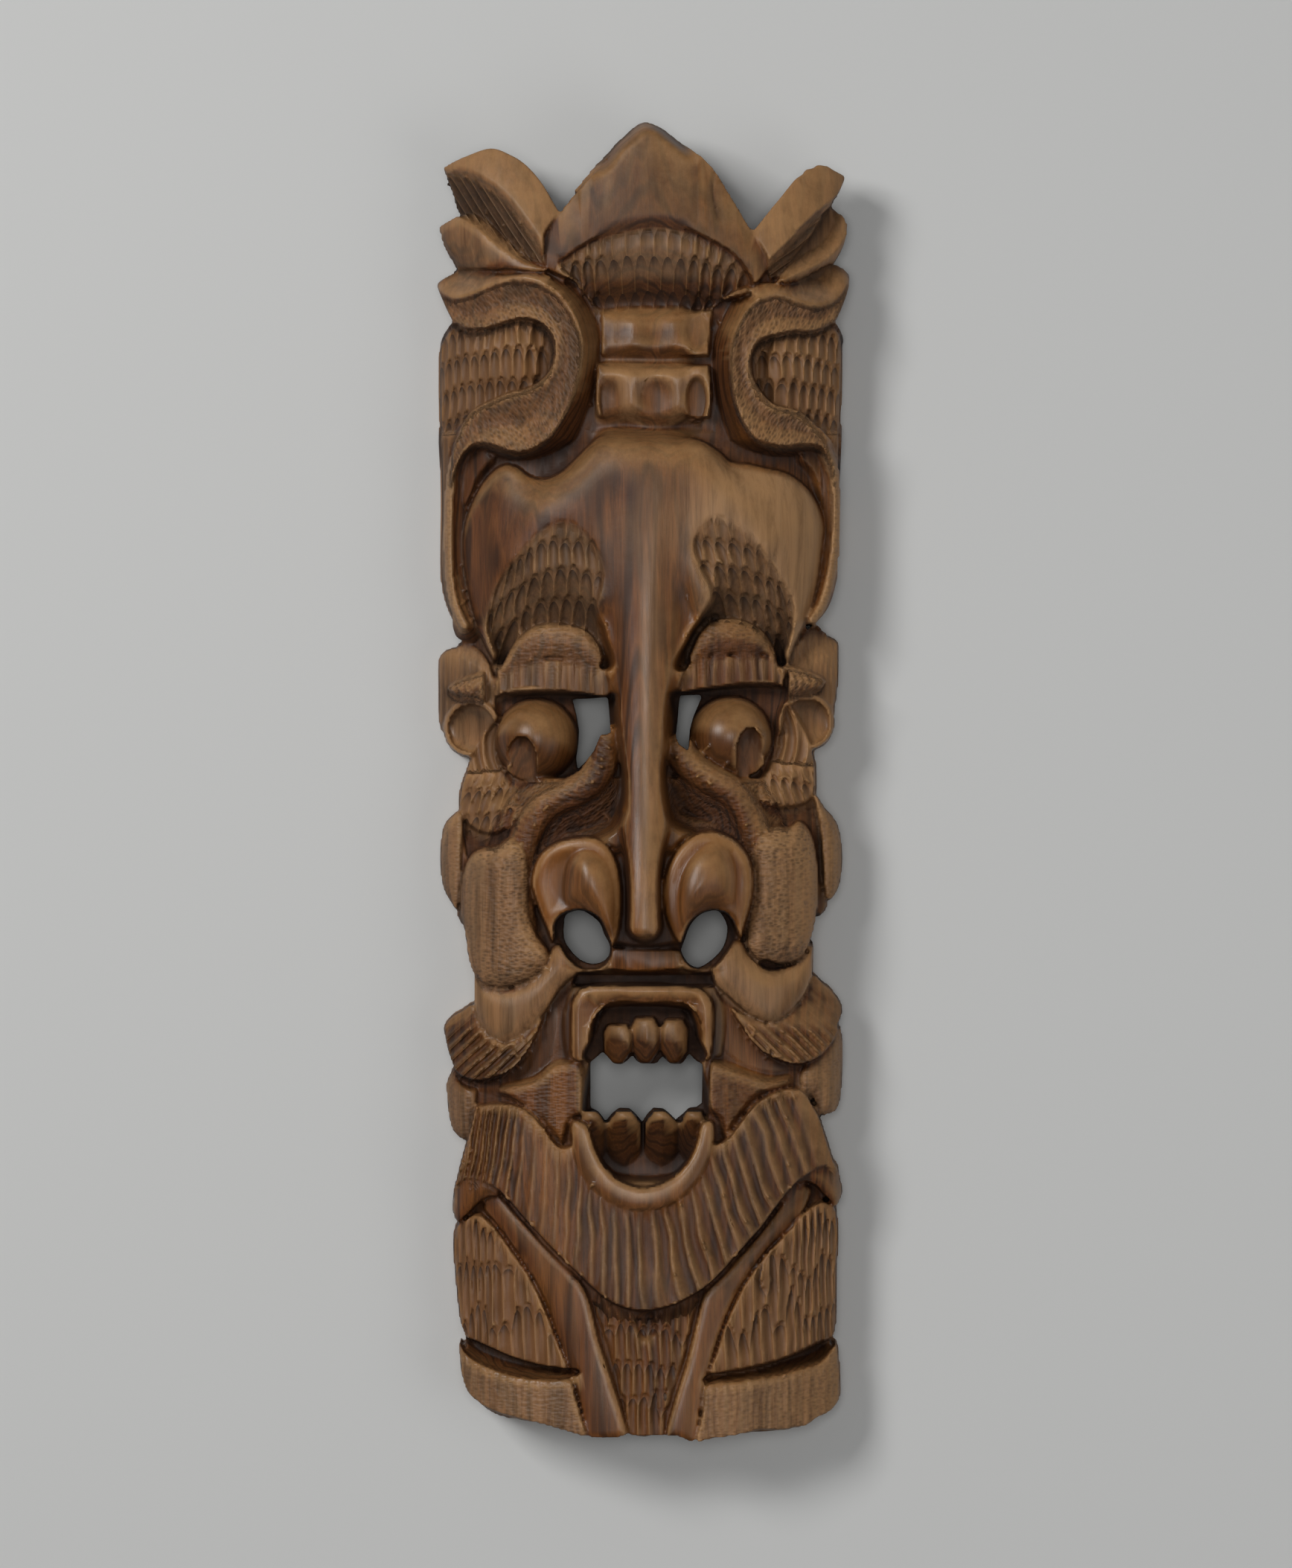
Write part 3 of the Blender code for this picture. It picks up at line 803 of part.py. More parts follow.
def settle(field):
    """Fill the cells whose corners meet only across a diagonal, so that the skin has no pinched edges."""
    corners = [(i, j, k) for i in (0, 1) for j in (0, 1) for k in (0, 1)]
    bad = np.zeros(256, dtype=bool)
    for code in range(256):
        filled = {c for n, c in enumerate(corners) if code >> n & 1}
        for group in (filled, set(corners) - filled):
            reached = set(list(group)[:1])
            while True:
                more = {c for c in group - reached for f in reached if sum(a != b for a, b in zip(c, f)) == 1}
                if not more:
                    break
                reached |= more
            bad[code] |= reached != group
        for axis in range(3):
            for side in (0, 1):
                face = [c for c in corners if c[axis] == side]
                other = [a for a in range(3) if a != axis]
                states = {(c[other[0]], c[other[1]]): c in filled for c in face}
                bad[code] |= states[0, 0] == states[1, 1] != states[0, 1] == states[1, 0]
    for _ in range(24):
        inside = field < 0
        code = np.zeros(tuple(n - 1 for n in field.shape), dtype=np.uint8)
        for n, (i, j, k) in enumerate(corners):
            part = inside[i:i + code.shape[0], j:j + code.shape[1], k:k + code.shape[2]]
            code |= part.astype(np.uint8) << n
        cells = np.argwhere(bad[code])
        if not len(cells):
            return
        for corner in corners:
            spot = tuple((cells + corner).T)
            field[spot] = np.minimum(field[spot], -0.02)


def skin(field, axes):
    """Vertices and quads of the surface where a sampled field crosses zero; it is negative inside."""
    settle(field)
    inside = field < 0
    cells = tuple(n - 1 for n in field.shape)
    total = np.zeros(cells + (3,))
    count = np.zeros(cells)
    quads = []
    index = np.full(cells, -1)
    crossings = []
    for axis in range(3):
        lower = [slice(None)] * 3
        upper = [slice(None)] * 3
        lower[axis], upper[axis] = slice(0, -1), slice(1, None)
        a, b = field[tuple(lower)], field[tuple(upper)]
        edges = np.argwhere((a < 0) != (b < 0))
        fa, fb = a[tuple(edges.T)], b[tuple(edges.T)]
        points = edges.astype(float)
        points[:, axis] += fa / (fa - fb)
        others = [n for n in range(3) if n != axis]
        ring = []
        for p, q in ((1, 1), (0, 1), (0, 0), (1, 0)):
            cell = edges.copy()
            cell[:, others[0]] -= p
            cell[:, others[1]] -= q
            np.add.at(total, tuple(cell.T), points)
            np.add.at(count, tuple(cell.T), 1)
            ring.append(cell)
        crossings.append((ring, fa < 0, axis))
    used = np.argwhere(count > 0)
    index[tuple(used.T)] = np.arange(len(used))
    vertices = total[tuple(used.T)] / count[tuple(used.T)][:, None]
    for ring, starts_inside, axis in crossings:
        quad = np.stack([index[tuple(cell.T)] for cell in ring], axis=1)
        flip = starts_inside if axis == 1 else ~starts_inside
        quad[flip] = quad[flip][:, ::-1]
        quads.append(quad)
    grid = np.stack([np.interp(vertices[:, n], np.arange(len(axes[n])), axes[n]) for n in range(3)], axis=1)
    return grid, np.vstack(quads)


def mask_mesh():
    """The whole mask as one closed mesh, in metres."""
    relief = carve_mask(GRID_STEP)
    stretch = np.array([WIDTH / SHEET_WIDTH, HEIGHT / SHEET_HEIGHT, DEPTH / SHEET_DEPTH])
    floor = back(relief, 1 / stretch)
    z = np.arange(-2 * GRID_STEP, relief.h.max() + 3 * GRID_STEP, GRID_STEP)
    # the wood ends at the sheet's edges
    across = SHEET_WIDTH / 2 - np.abs(relief.x - SHEET_MIDDLE[0])
    along = SHEET_HEIGHT / 2 - np.abs(relief.y - SHEET_MIDDLE[1])
    relief.plan = np.minimum(relief.plan, np.minimum(across, along) + 0.3)
    front = relief.h.T[:, :, None]
    field = np.maximum(z - front, floor.T[:, :, None] - z)
    field = np.maximum(field, -relief.plan.T[:, :, None])
    field = np.maximum(field, relief.hole.T[:, :, None])
    vertices, quads = skin(field, (relief.x[0], relief.y[:, 0], z))
    vertices[:, :2] -= (vertices[:, :2].min(0) + vertices[:, :2].max(0)) / 2
    mesh = bpy.data.meshes.new("mask")
    mesh.from_pydata((vertices * stretch).tolist(), [], quads.tolist())
    return mesh


def wood():
    """Waxed dark hardwood."""
    material = bpy.data.materials.new("waxed hardwood")
    material.use_nodes = True
    shader = material.node_tree.nodes["Principled BSDF"]
    shader.inputs["Base Color"].default_value = (0.147, 0.068, 0.028, 1)
    shader.inputs["Roughness"].default_value = 0.45
    shader.inputs["Metallic"].default_value = 0.0
    return material


def main():
    """Remove what the file holds and build the mask."""
    for old in list(bpy.data.objects):
        bpy.data.objects.remove(old)
    rough = bpy.data.objects.new("mask_rough", mask_mesh())
    bpy.context.collection.objects.link(rough)
    thin = rough.modifiers.new("Thin", "DECIMATE")
    thin.ratio = FACES / (2 * len(rough.data.polygons))
    thin.use_collapse_triangulate = True
    graph = bpy.context.evaluated_depsgraph_get()
    mesh = bpy.data.meshes.new_from_object(rough.evaluated_get(graph))
    mesh.name = "mask"
    # the rim is dead flat: what the thinning moved off the back plane goes back on it
    flat = 0.0006
    for vertex in mesh.vertices:
        if abs(vertex.co.z) < flat:
            vertex.co.z = 0.0
    mask = bpy.data.objects.new("mask", mesh)
    bpy.context.collection.objects.link(mask)
    bpy.data.objects.remove(rough)
    mesh.materials.clear()
    mesh.materials.append(wood())
    mesh.shade_smooth()
    mesh.set_sharp_from_angle(angle=0.6)


main()
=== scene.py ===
"""Carved hardwood wall mask: its fine carving and waxed finish, with a floor, soft lights and a camera.

The face is drawn in millimetres on a sheet centred on the mask: x to the viewer's right, y to the
crown, heights above the flat back. Each part of the face is a class that cuts itself into one relief.
The relief becomes one closed skin, which is pricked, thinned and given the wood's finish.
"""
import logging
import math
from dataclasses import dataclass
from enum import Enum
from typing import Any, Callable, Sequence

import bpy
import numpy as np
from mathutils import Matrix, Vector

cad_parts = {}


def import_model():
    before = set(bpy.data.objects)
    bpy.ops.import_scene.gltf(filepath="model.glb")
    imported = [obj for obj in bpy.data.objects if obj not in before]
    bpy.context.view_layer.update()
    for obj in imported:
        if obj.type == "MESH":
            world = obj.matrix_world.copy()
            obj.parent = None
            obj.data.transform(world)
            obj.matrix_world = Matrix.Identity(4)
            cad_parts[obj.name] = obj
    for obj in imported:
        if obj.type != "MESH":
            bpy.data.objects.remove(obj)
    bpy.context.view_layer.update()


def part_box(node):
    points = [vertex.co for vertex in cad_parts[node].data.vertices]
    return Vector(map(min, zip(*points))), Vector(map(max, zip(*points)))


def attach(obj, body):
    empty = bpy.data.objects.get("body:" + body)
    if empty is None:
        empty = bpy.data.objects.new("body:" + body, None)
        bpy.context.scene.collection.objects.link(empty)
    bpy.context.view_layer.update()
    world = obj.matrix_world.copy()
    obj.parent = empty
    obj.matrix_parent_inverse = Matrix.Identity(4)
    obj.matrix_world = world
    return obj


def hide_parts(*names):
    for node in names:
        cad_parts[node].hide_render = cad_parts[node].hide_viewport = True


Grid = np.ndarray
Point = tuple[float, float]
Outline = Sequence[Point]

log = logging.getLogger("mask")
MM = 0.001
ARCH = 0.4
OUTSIDE = -99.0
PATTERN = 97
FIELDS = ("prick", "lean", "polish", "tone", "gold", "across", "down", "carved", "grime_and_shade", "wear_and_highlight")


@dataclass(frozen=True)
class Touch:
    """How a patch of wood was left by the carver.

    prick is the share of pricked texture, lean the slant of its nicks, polish the share of sanding and
    wax, tone lightens (above 0) or darkens the wood, its darkest values also being painted shade on
    walls, sunk ground and undercuts, and gold adds the warm yellow of thin wax over pale wood.
    """

    prick: float = 0.0
    lean: float = 0.0
    polish: float = 0.0
    tone: float = 0.0
    gold: float = 0.0


class Surface(Enum):
    """The ways in which this mask's wood was finished, and the painted shade of its walls, ground and
    undercuts.
    """

    # painted shade: the sunk ground between the forms is darkened; its pricking is real texture
    SHADED_GROUND = Touch(prick=0.25, tone=-0.65)
    CUT = Touch(polish=0.35)
    LIGHT_CUT = Touch(polish=0.35, tone=0.10, gold=0.30)
    SMOOTH = Touch(polish=1.0)
    OILED = Touch(polish=1.0, tone=0.12, gold=0.15)
    CROWN = Touch(polish=0.4, tone=-1.0)
    FACE = Touch(polish=0.45, tone=-0.05)
    SCALY = Touch(prick=0.6, polish=0.3, tone=-0.05)
    GREY = Touch(polish=0.4, tone=-0.10)
    RISING = Touch(prick=1.0, lean=1.0, polish=0.25, tone=-0.26)
    FALLING = Touch(prick=1.0, lean=-1.0, polish=0.25, tone=-0.16)
    PRICKED = Touch(prick=1.0, polish=0.25, tone=0.62)
    FINE_PRICKED = Touch(prick=0.5, polish=0.35, tone=0.62)
    DARK_PRICKED = Touch(prick=1.0, lean=-0.6, polish=0.1, tone=-0.20)
    GOLDEN = Touch(polish=0.85, gold=0.55)
    SCOOP = Touch(polish=0.6, tone=-0.45, gold=0.10)
    # painted shade: walls that fall into recesses are darkened
    SHADED_WALL = Touch(polish=0.75, tone=-0.70)
    TOOTH = Touch(polish=0.8, tone=-0.45)
    PILLAR = Touch(polish=1.0, tone=0.64)
    # painted shade: the darkest tone, for undercuts, the mouth's inside and the slot above the lip
    PAINTED_SHADE = Touch(polish=0.3, tone=-1.0)


def trace(*numbers: float) -> Outline:
    """The points whose x and y are given in turn."""
    return tuple(zip(numbers[::2], numbers[1::2]))


def spline(points: Outline, closed: bool = True, gap: float = 2.5) -> Grid:
    """Points along a smooth curve through the given ones.

    Args:
        points: the points that the curve passes through.
        closed: whether it returns to the first one.
        gap: the longest step along it.

    Returns:
        One row for each point of the curve.
    """
    p = np.asarray(points, dtype=float)
    if closed:
        before, start, after, beyond = np.roll(p, 1, 0), p, np.roll(p, -1, 0), np.roll(p, -2, 0)
    else:
        before, start, after = np.vstack([p[0], p[:-2]]), p[:-1], p[1:]
        beyond = np.vstack([p[2:], p[-1]])
    runs = []
    for a, b, c, d in zip(before, start, after, beyond):
        steps = max(int(np.hypot(*(c - b)) / gap), 1)
        t = (np.arange(steps) / steps)[:, None]
        runs.append(0.5 * (2 * b + (c - a) * t + (2 * a - 5 * b + 4 * c - d) * t**2
                           + (3 * b - a - 3 * c + d) * t**3))
    if not closed:
        runs.append(p[-1:])
    return np.vstack(runs)


def ramp(d: Grid, width: float | Grid) -> Grid:
    """Smooth rise from 0 on an outline to 1 at a distance inside it."""
    t = np.clip(d / width, 0.0, 1.0)
    return t * t * (3 - 2 * t)


def bulge(d: Grid, width: float) -> Grid:
    """Quarter-round rise from 0 on an outline to 1 at a distance inside it."""
    t = 1 - np.clip(d / width, 0.0, 1.0)
    return np.sqrt(1 - t * t)


def flute(u: Grid) -> Grid:
    """Depth of gouge cuts side by side, 0 on the ridges and 1 in mid-cut; u counts the cuts."""
    t = 2 * (u - np.floor(u)) - 1
    return 1 - t * t


def waver(x: Grid, y: Grid, size: float, seed: int) -> Grid:
    """Slow unevenness of hand work.

    Args:
        x: where to read it.
        y: where to read it.
        size: millimetres from one swell to the next.
        seed: which of many patterns.

    Returns:
        Values from -1 to 1.
    """
    table = np.random.default_rng(seed).uniform(-1, 1, (PATTERN, PATTERN))
    u, v = x / size, y / size
    i, j = np.floor(u).astype(int), np.floor(v).astype(int)
    a, b = u - i, v - j
    a, b = a * a * (3 - 2 * a), b * b * (3 - 2 * b)
    i, j, k, m = i % PATTERN, j % PATTERN, (i + 1) % PATTERN, (j + 1) % PATTERN
    low = table[i, j] * (1 - a) + table[k, j] * a
    high = table[i, m] * (1 - a) + table[k, m] * a
    return low * (1 - b) + high * b


def spread(grid: Grid, cells: int, pick: Callable) -> Grid:
    """Replace each value of a grid by a pick of those around it.

    Args:
        grid: the values.
        cells: how many cells away still count.
        pick: what is taken, such as the mean.

    Returns:
        The new grid.
    """
    for axis in (0, 1):
        grid = pick([np.roll(grid, shift, axis) for shift in range(-cells, cells + 1)], axis=0)
    return grid


class Relief:
    """Heights of the carved face over a regular grid, with the finish of each spot."""

    LOG_HALF_SPAN = 141.0
    LOG_EDGE = 18.0
    LOG_RISE = 74.0

    def __init__(self, step: float) -> None:
        """Lay out a blank half log.

        Args:
            step: millimetres between the grid's points.
        """
        self.step = step
        self.x, self.y = np.meshgrid(np.arange(-144, 144 + step, step), np.arange(-450, 450 + step, step))
        span = np.clip(1 - (self.x / self.LOG_HALF_SPAN) ** 2, 0, 1)
        self.log = self.LOG_EDGE + self.LOG_RISE * np.sqrt(span)
        self.h = np.zeros_like(self.x)
        self.plan = np.full_like(self.x, OUTSIDE)
        self.hole = np.full_like(self.x, OUTSIDE)
        self.maps = {name: np.zeros_like(self.x) for name in ("prick", "lean", "polish", "tone", "gold")}
        self.strokes = {name: np.zeros_like(self.x) for name in ("across", "down", "carved")}

    def window(self, pts: Grid, margin: float) -> tuple[slice, slice]:
        """The grid's rows and columns around some points.

        Args:
            pts: one row for each point.
            margin: how far beyond them to go.

        Returns:
            The slices of the rows and of the columns.
        """
        low = ((pts.min(0) - margin - (self.x[0, 0], self.y[0, 0])) / self.step).astype(int)
        high = ((pts.max(0) + margin - (self.x[0, 0], self.y[0, 0])) / self.step).astype(int) + 2
        low = np.maximum(low, 0)
        return slice(low[1], high[1]), slice(low[0], high[0])

    def distance(self, points: Outline, sharp: bool = False, margin: float = 26.0,
                 closed: bool = True) -> Grid:
        """How far each spot lies inside a closed outline, or minus how far from an open path.

        Args:
            points: the outline or path.
            sharp: whether its points are corners, joined by straight lines.
            margin: how far outside it the distance is still right.
            closed: whether it is an outline.

        Returns:
            Distances in millimetres, with -99 beyond the margin.
        """
        pts = np.asarray(points, dtype=float) if sharp else spline(points, closed)
        win = self.window(pts, margin)
        x, y = self.x[win], self.y[win]
        best = np.full(x.shape, 1e9)
        inside = np.zeros(x.shape, dtype=bool)
        ends = np.roll(pts, -1, 0) if closed else pts[1:]
        for (ax, ay), (bx, by) in zip(pts, ends):
            dx, dy = bx - ax, by - ay
            t = np.clip(((x - ax) * dx + (y - ay) * dy) / (dx * dx + dy * dy + 1e-12), 0, 1)
            best = np.minimum(best, (x - ax - t * dx) ** 2 + (y - ay - t * dy) ** 2)
            if closed and ay != by:
                inside ^= ((ay > y) != (by > y)) & (x < (bx - ax) * (y - ay) / (by - ay) + ax)
        full = np.full(self.x.shape, OUTSIDE)
        full[win] = np.where(inside, np.sqrt(best), -np.sqrt(best))
        return full

    def mark(self, d: Grid, surface: Surface, fade: float = 2.0) -> None:
        """Say how the wood was finished.

        Args:
            d: distances, positive where the finish lies.
            surface: the finish, or the painted shade.
            fade: how wide its edge is.
        """
        share = ramp(d + 0.5 * fade, fade)
        for name, grid in self.maps.items():
            grid += (getattr(surface.value, name) - grid) * share
        self.strokes["carved"] *= 1 - share

    def shade(self, d: Grid, amount: float | Grid, fade: float = 3.0) -> None:
        """Lighten (above 0) or darken the wood where d is positive."""
        self.maps["tone"] += amount * ramp(d, fade)

    def bring(self, d: Grid, top: float | Grid, wall: float | Grid) -> None:
        """Bring the wood to a height where d is positive, with a wall of some width around it."""
        self.h += (top - self.h) * ramp(d, wall)

    def widen(self, d: Grid) -> None:
        """Let the wood reach over the spots where d is positive."""
        self.plan = np.maximum(self.plan, d)

    def pierce(self, points: Outline, sharp: bool = False) -> None:
        """Cut right through the wood inside an outline."""
        self.hole = np.maximum(self.hole, self.distance(points, sharp))

    def form(self, points: Outline, top: float | Grid, wall: float = 3.0, sharp: bool = False,
             edge: bool = False, surface: Surface | None = None) -> Grid:
        """Bring the region inside an outline to a height.

        Args:
            points: the outline.
            top: the height inside it.
            wall: how wide the wall up or down to it is.
            sharp: whether the outline has straight sides.
            edge: whether it is also wood's outer edge.
            surface: how it was finished.

        Returns:
            The distance inside the outline.
        """
        d = self.distance(points, sharp)
        self.bring(d, top, wall)
        if edge:
            self.widen(d)
        if surface:
            self.mark(d, surface)
        return d

    def dome(self, points: Outline, low: float | Grid, rise: float, width: float, wall: float = 1.2,
             edge: bool = False, surface: Surface | None = None) -> Grid:
        """Bring the region inside an outline to a rounded height.

        Args:
            points: the outline.
            low: the height at its edge.
            rise: how much higher its middle is.
            width: how wide the rounding is.
            wall: how wide the wall up or down to it is.
            edge: whether it is also wood's outer edge.
            surface: how it was finished.

        Returns:
            The distance inside the outline.
        """
        d = self.distance(points)
        self.bring(d, low + rise * bulge(d, width), wall)
        if edge:
            self.widen(d)
        if surface:
            self.mark(d, surface)
        return d

    def roll(self, path: Outline, top: Grid, radius: float, surface: Surface | None = None) -> None:
        """Raise a round roll.

        Args:
            path: the line of its crest.
            top: the crest's height.
            radius: the roll's radius.
            surface: how it was finished.
        """
        d = -self.distance(path, closed=False, margin=radius + 4)
        t = np.clip(d / radius, 0, 1)
        crest = top - radius * (1 - np.sqrt(1 - t * t))
        raised = (d < radius) & (crest > self.h)
        self.h = np.where(raised, crest, self.h)
        if surface:
            self.mark(np.where(raised, radius - d, OUTSIDE), surface)

    def sand(self, d: Grid, reach: float, fade: float = 8.0) -> None:
        """Sand the surface smooth.

        Args:
            d: distances, positive where it is sanded.
            reach: over how many millimetres it is evened out.
            fade: how wide the sanded region's edge is.
        """
        smooth = self.h
        for _ in range(2):
            smooth = spread(smooth, max(round(reach / self.step), 1), np.mean)
        self.h += (smooth - self.h) * ramp(d, fade)

    def carve(self, d: Grid, depth: float, fade: float = 1.5) -> None:
        """Cut into the surface where d is positive."""
        self.h -= depth * ramp(d, fade)

    def close_pits(self) -> None:
        """Fill the deep pits and pinholes that are only one step wide, which no gouge leaves."""
        for grid, shallow in ((self.h, 1.5 * self.step), (self.plan, 0.0)):
            closed = grid
            for pick, way in ((np.max, -1), (np.min, 1)):
                for axis in (0, 1):
                    closed = pick([closed, np.roll(closed, way, axis)], axis=0)
            grid[:] = np.where(closed - grid > shallow, closed, grid)

    def rows(self, across: Grid, down: Grid, depth: float | Grid, count: int, drop: float) -> Grid:
        """Depth of rows of round-ended gouge cuts that lap like scales.

        Args:
            across: place across the cuts, counted in cuts.
            down: place down the rows, counted in rows.
            depth: depth of a cut.
            count: how many rows there are.
            drop: how much deeper each row lies.

        Returns:
            The depth of the cuts.
        """
        cut = np.zeros_like(across)
        for k in range(count):
            c = flute(across + 0.5 * (k % 2))
            along = np.clip(down - k + ARCH * c, 0, 1)
            cut = np.where(down > k - ARCH * c, depth * c * (1.35 - 0.7 * along) + drop * k, cut)
        return cut

    def gouge(self, d: Grid, across: Grid, down: Grid | None, depth: float | Grid, count: int = 1,
              drop: float = 0.0, strength: float | Grid = 1.0) -> None:
        """Cut rows of strokes where d is positive, and keep their layout for the finish.

        Args:
            d: the distance inside the cut region.
            across: place across the cuts, counted in cuts.
            down: place down the rows, counted in rows, or nothing for one long row.
            depth: depth of a cut.
            count: how many rows there are.
            drop: how much deeper each row lies.
            strength: how crisp the ridges between the cuts are.
        """
        across = across + 0.13 * waver(self.x, self.y, 17, 40)
        if down is None:
            down = np.full_like(across, 0.3)
            self.h -= ramp(d, 2.5) * depth * flute(across)
        else:
            down = np.minimum(down + 0.09 * waver(self.x, self.y, 10, 70), count - ARCH - 0.05)
            self.h -= ramp(d, 2.5) * self.rows(across, down, depth, count, drop)
        near = d > -3
        for name, grid in (("across", across), ("down", down), ("carved", ramp(d - 0.6, 2.2) * strength)):
            self.strokes[name] = np.where(near, grid, self.strokes[name])


@dataclass(frozen=True)
class Ground:
    """The rough wood between the outer forms."""

    edge: Outline = trace(-60, 330, -118, 330, -130, 290, -130, 110, -116, 95, -122, 60, -118, 20,
        -125, -20, -126, -78, -115, -110, -110, -150, -118, -200, -114, -235, -119, -270, -117, -411,
        -60, -435, 0, -441, 60, -441, 120, -426, 125, -330, 121, -280, 110, -225, 120, -200, 110, -150,
        109, -110, 123, -60, 116, -10, 111, 20, 120, 60, 108, 100, 122, 125, 127, 300, 80, 335)

    def carve(self, sheet: Relief) -> None:
        """The ground between the outer forms.

        Args:
            sheet: the relief to carve.
        """
        # the sunk ground gets painted shade
        sheet.form(self.edge, sheet.log - 17, 1.5, edge=True, surface=Surface.SHADED_GROUND)


@dataclass(frozen=True)
class Crown:
    """The pointed plate with its lens of scale cuts, and the leaves beside it."""

    rise: float = 8.0
    scale_pitch: float = 9.2
    scale_length: float = 22.0
    scale_cut: float = 4.2
    leaf_gouge: float = 4.8
    leaf_cut: float = 2.5

    def leaves(self, sheet: Relief) -> None:
        """The two leaves on each side of the crown, each with a ridge that parts its two faces.

        Args:
            sheet: the relief to carve.
        """
        # the wood that the leaves and scrolls spring from, darkened with painted shade
        for root in (trace(-126, 345, -100, 358, -70, 364, -56, 354, -50, 336, -56, 322, -84, 326,
                         -110, 334, -126, 336),
                     trace(70, 340, 80, 362, 100, 372, 118, 378, 126, 370, 122, 350, 108, 336, 96, 324,
                         80, 320, 66, 328)):
            sheet.form(root, sheet.log - 6, 3, edge=True, surface=Surface.SHADED_WALL)
        # left, upper leaf: fluted inner face first, then the smooth band above its ridge
        leaf = trace(-135.5, 408, -134, 410.5, -120, 416, -103, 421, -90, 416.5, -80, 410, -70, 399,
            -62, 386, -57, 374, -60, 352, -63, 341, -75, 345, -95, 360, -112, 374, -125, 379, -130, 392)
        ridge = trace(-136, 408.5, -120, 407, -108, 401, -98, 394, -89, 385, -80, 373, -71, 360, -62, 345)
        to_ridge = -sheet.distance(ridge, closed=False, margin=40)
        along = sheet.x * 0.84 + sheet.y * 0.54
        fall = 0.85 * np.clip(to_ridge, 0, 30)
        d = sheet.form(leaf, sheet.log + 12 - fall, 1.5, edge=True, surface=Surface.CUT)
        sheet.gouge(np.minimum(d, to_ridge - 1), along / self.leaf_gouge, None, self.leaf_cut, strength=2.2)
        band = ridge[::-1] + trace(-134, 410.5, -120, 417, -103, 422, -90, 417.5, -79, 411, -69, 399.5,
            -61, 386, -56, 374, -58, 352)
        d = sheet.distance(band)
        top = sheet.log + 13 - 0.50 * np.clip(to_ridge, 0, 40) - 1.2 * (1 - ramp(d, 2))
        sheet.h = np.where(d > 0, top, sheet.h)
        sheet.mark(d, Surface.GREY)

        # left, second leaf: a wall behind its ridge and a full smooth face in front
        leaf = trace(-138, 371, -131, 375.5, -124, 378.5, -112, 378, -100, 371, -88, 358, -75, 346,
            -64, 340, -72, 338, -95, 340, -123, 341, -131, 350, -136, 360)
        ridge = trace(-138, 371, -130, 374, -124, 374.5, -112, 368.5, -100, 357.5, -90, 350.5, -80, 344,
            -66, 339)
        to_ridge = -sheet.distance(ridge, closed=False, margin=40)
        fall = 1.5 * np.clip(to_ridge, 0, 16)
        sheet.form(leaf, sheet.log + 5 - fall, 1.5, edge=True, surface=Surface.SMOOTH)
        face = ridge[::-1] + trace(-138, 368, -135, 357, -130, 349, -123, 340.5, -95, 338, -75, 337)
        d = sheet.distance(face)
        fall = np.clip(to_ridge, 0, 40) / 34
        sheet.h = np.where(d > 0, sheet.log + 6 + 2.5 * np.sin(np.pi * np.clip(fall, 0, 1)) - 16 * fall ** 2
                       - 7 * (1 - ramp(d, 3)) * ramp(to_ridge, 12), sheet.h)
        sheet.mark(d, Surface.GREY)

        # right, upper leaf: a straight slab with a chipped end
        leaf = trace(73, 365, 78, 371.5, 85, 380.5, 92, 389, 97, 395.5, 101, 400.5, 106, 404, 108, 407.2,
            113, 408.3, 116, 410.6, 122, 410.4, 127, 407.4, 134, 404.2, 134.6, 402, 132, 396, 127, 384.5,
            119, 375, 112, 363, 103, 350, 94, 338, 84, 332, 80, 342)
        ridge = trace(136, 400, 131, 392.5, 125, 386, 115, 378, 104, 367, 93, 355, 82, 344)
        to_ridge = -sheet.distance(ridge, closed=False, margin=40)
        along = sheet.x * 0.62 - sheet.y * 0.78
        d = sheet.form(leaf, sheet.log + 8 - 0.9 * np.clip(to_ridge, 0, 20), 1.5, True, True, Surface.CUT)
        sheet.gouge(np.minimum(d, to_ridge - 1), along / self.leaf_gouge, None, self.leaf_cut, strength=2.2)
        band = ridge[::-1] + trace(137, 404, 127, 409, 118, 412, 105, 410, 96, 398, 84, 383, 72, 366)
        d = sheet.distance(band, sharp=True)
        sheet.h = np.where(d > 0, sheet.log + 11 - 0.42 * np.clip(to_ridge, 0, 40), sheet.h)
        sheet.mark(d, Surface.GREY)

        # right, second leaf: a dished face inside a proud outer rim
        leaf = trace(127, 384, 131, 380.8, 135, 379, 136.4, 375, 136, 366, 134, 358, 130, 350.5, 126, 345,
            118, 341, 108, 338, 99, 334, 88, 330, 95, 343, 106, 357, 115, 369, 121, 379)
        ridge = trace(137, 374, 134.5, 363, 127, 352, 116, 344, 105, 338.5, 92, 332)
        to_ridge = -sheet.distance(ridge, closed=False, margin=40)
        sheet.form(leaf, sheet.log + 7 - 1.5 * np.clip(to_ridge, 0, 11), 1.5, edge=True, surface=Surface.CUT)
        rim = ridge[::-1] + trace(138, 372, 137, 360, 131, 347, 118, 338, 100, 331)
        d = sheet.distance(rim)
        sheet.h = np.where(d > 0, sheet.log + 7 - 1.2 * np.clip(to_ridge, 0, 20), sheet.h)
        sheet.mark(d, Surface.GREY)

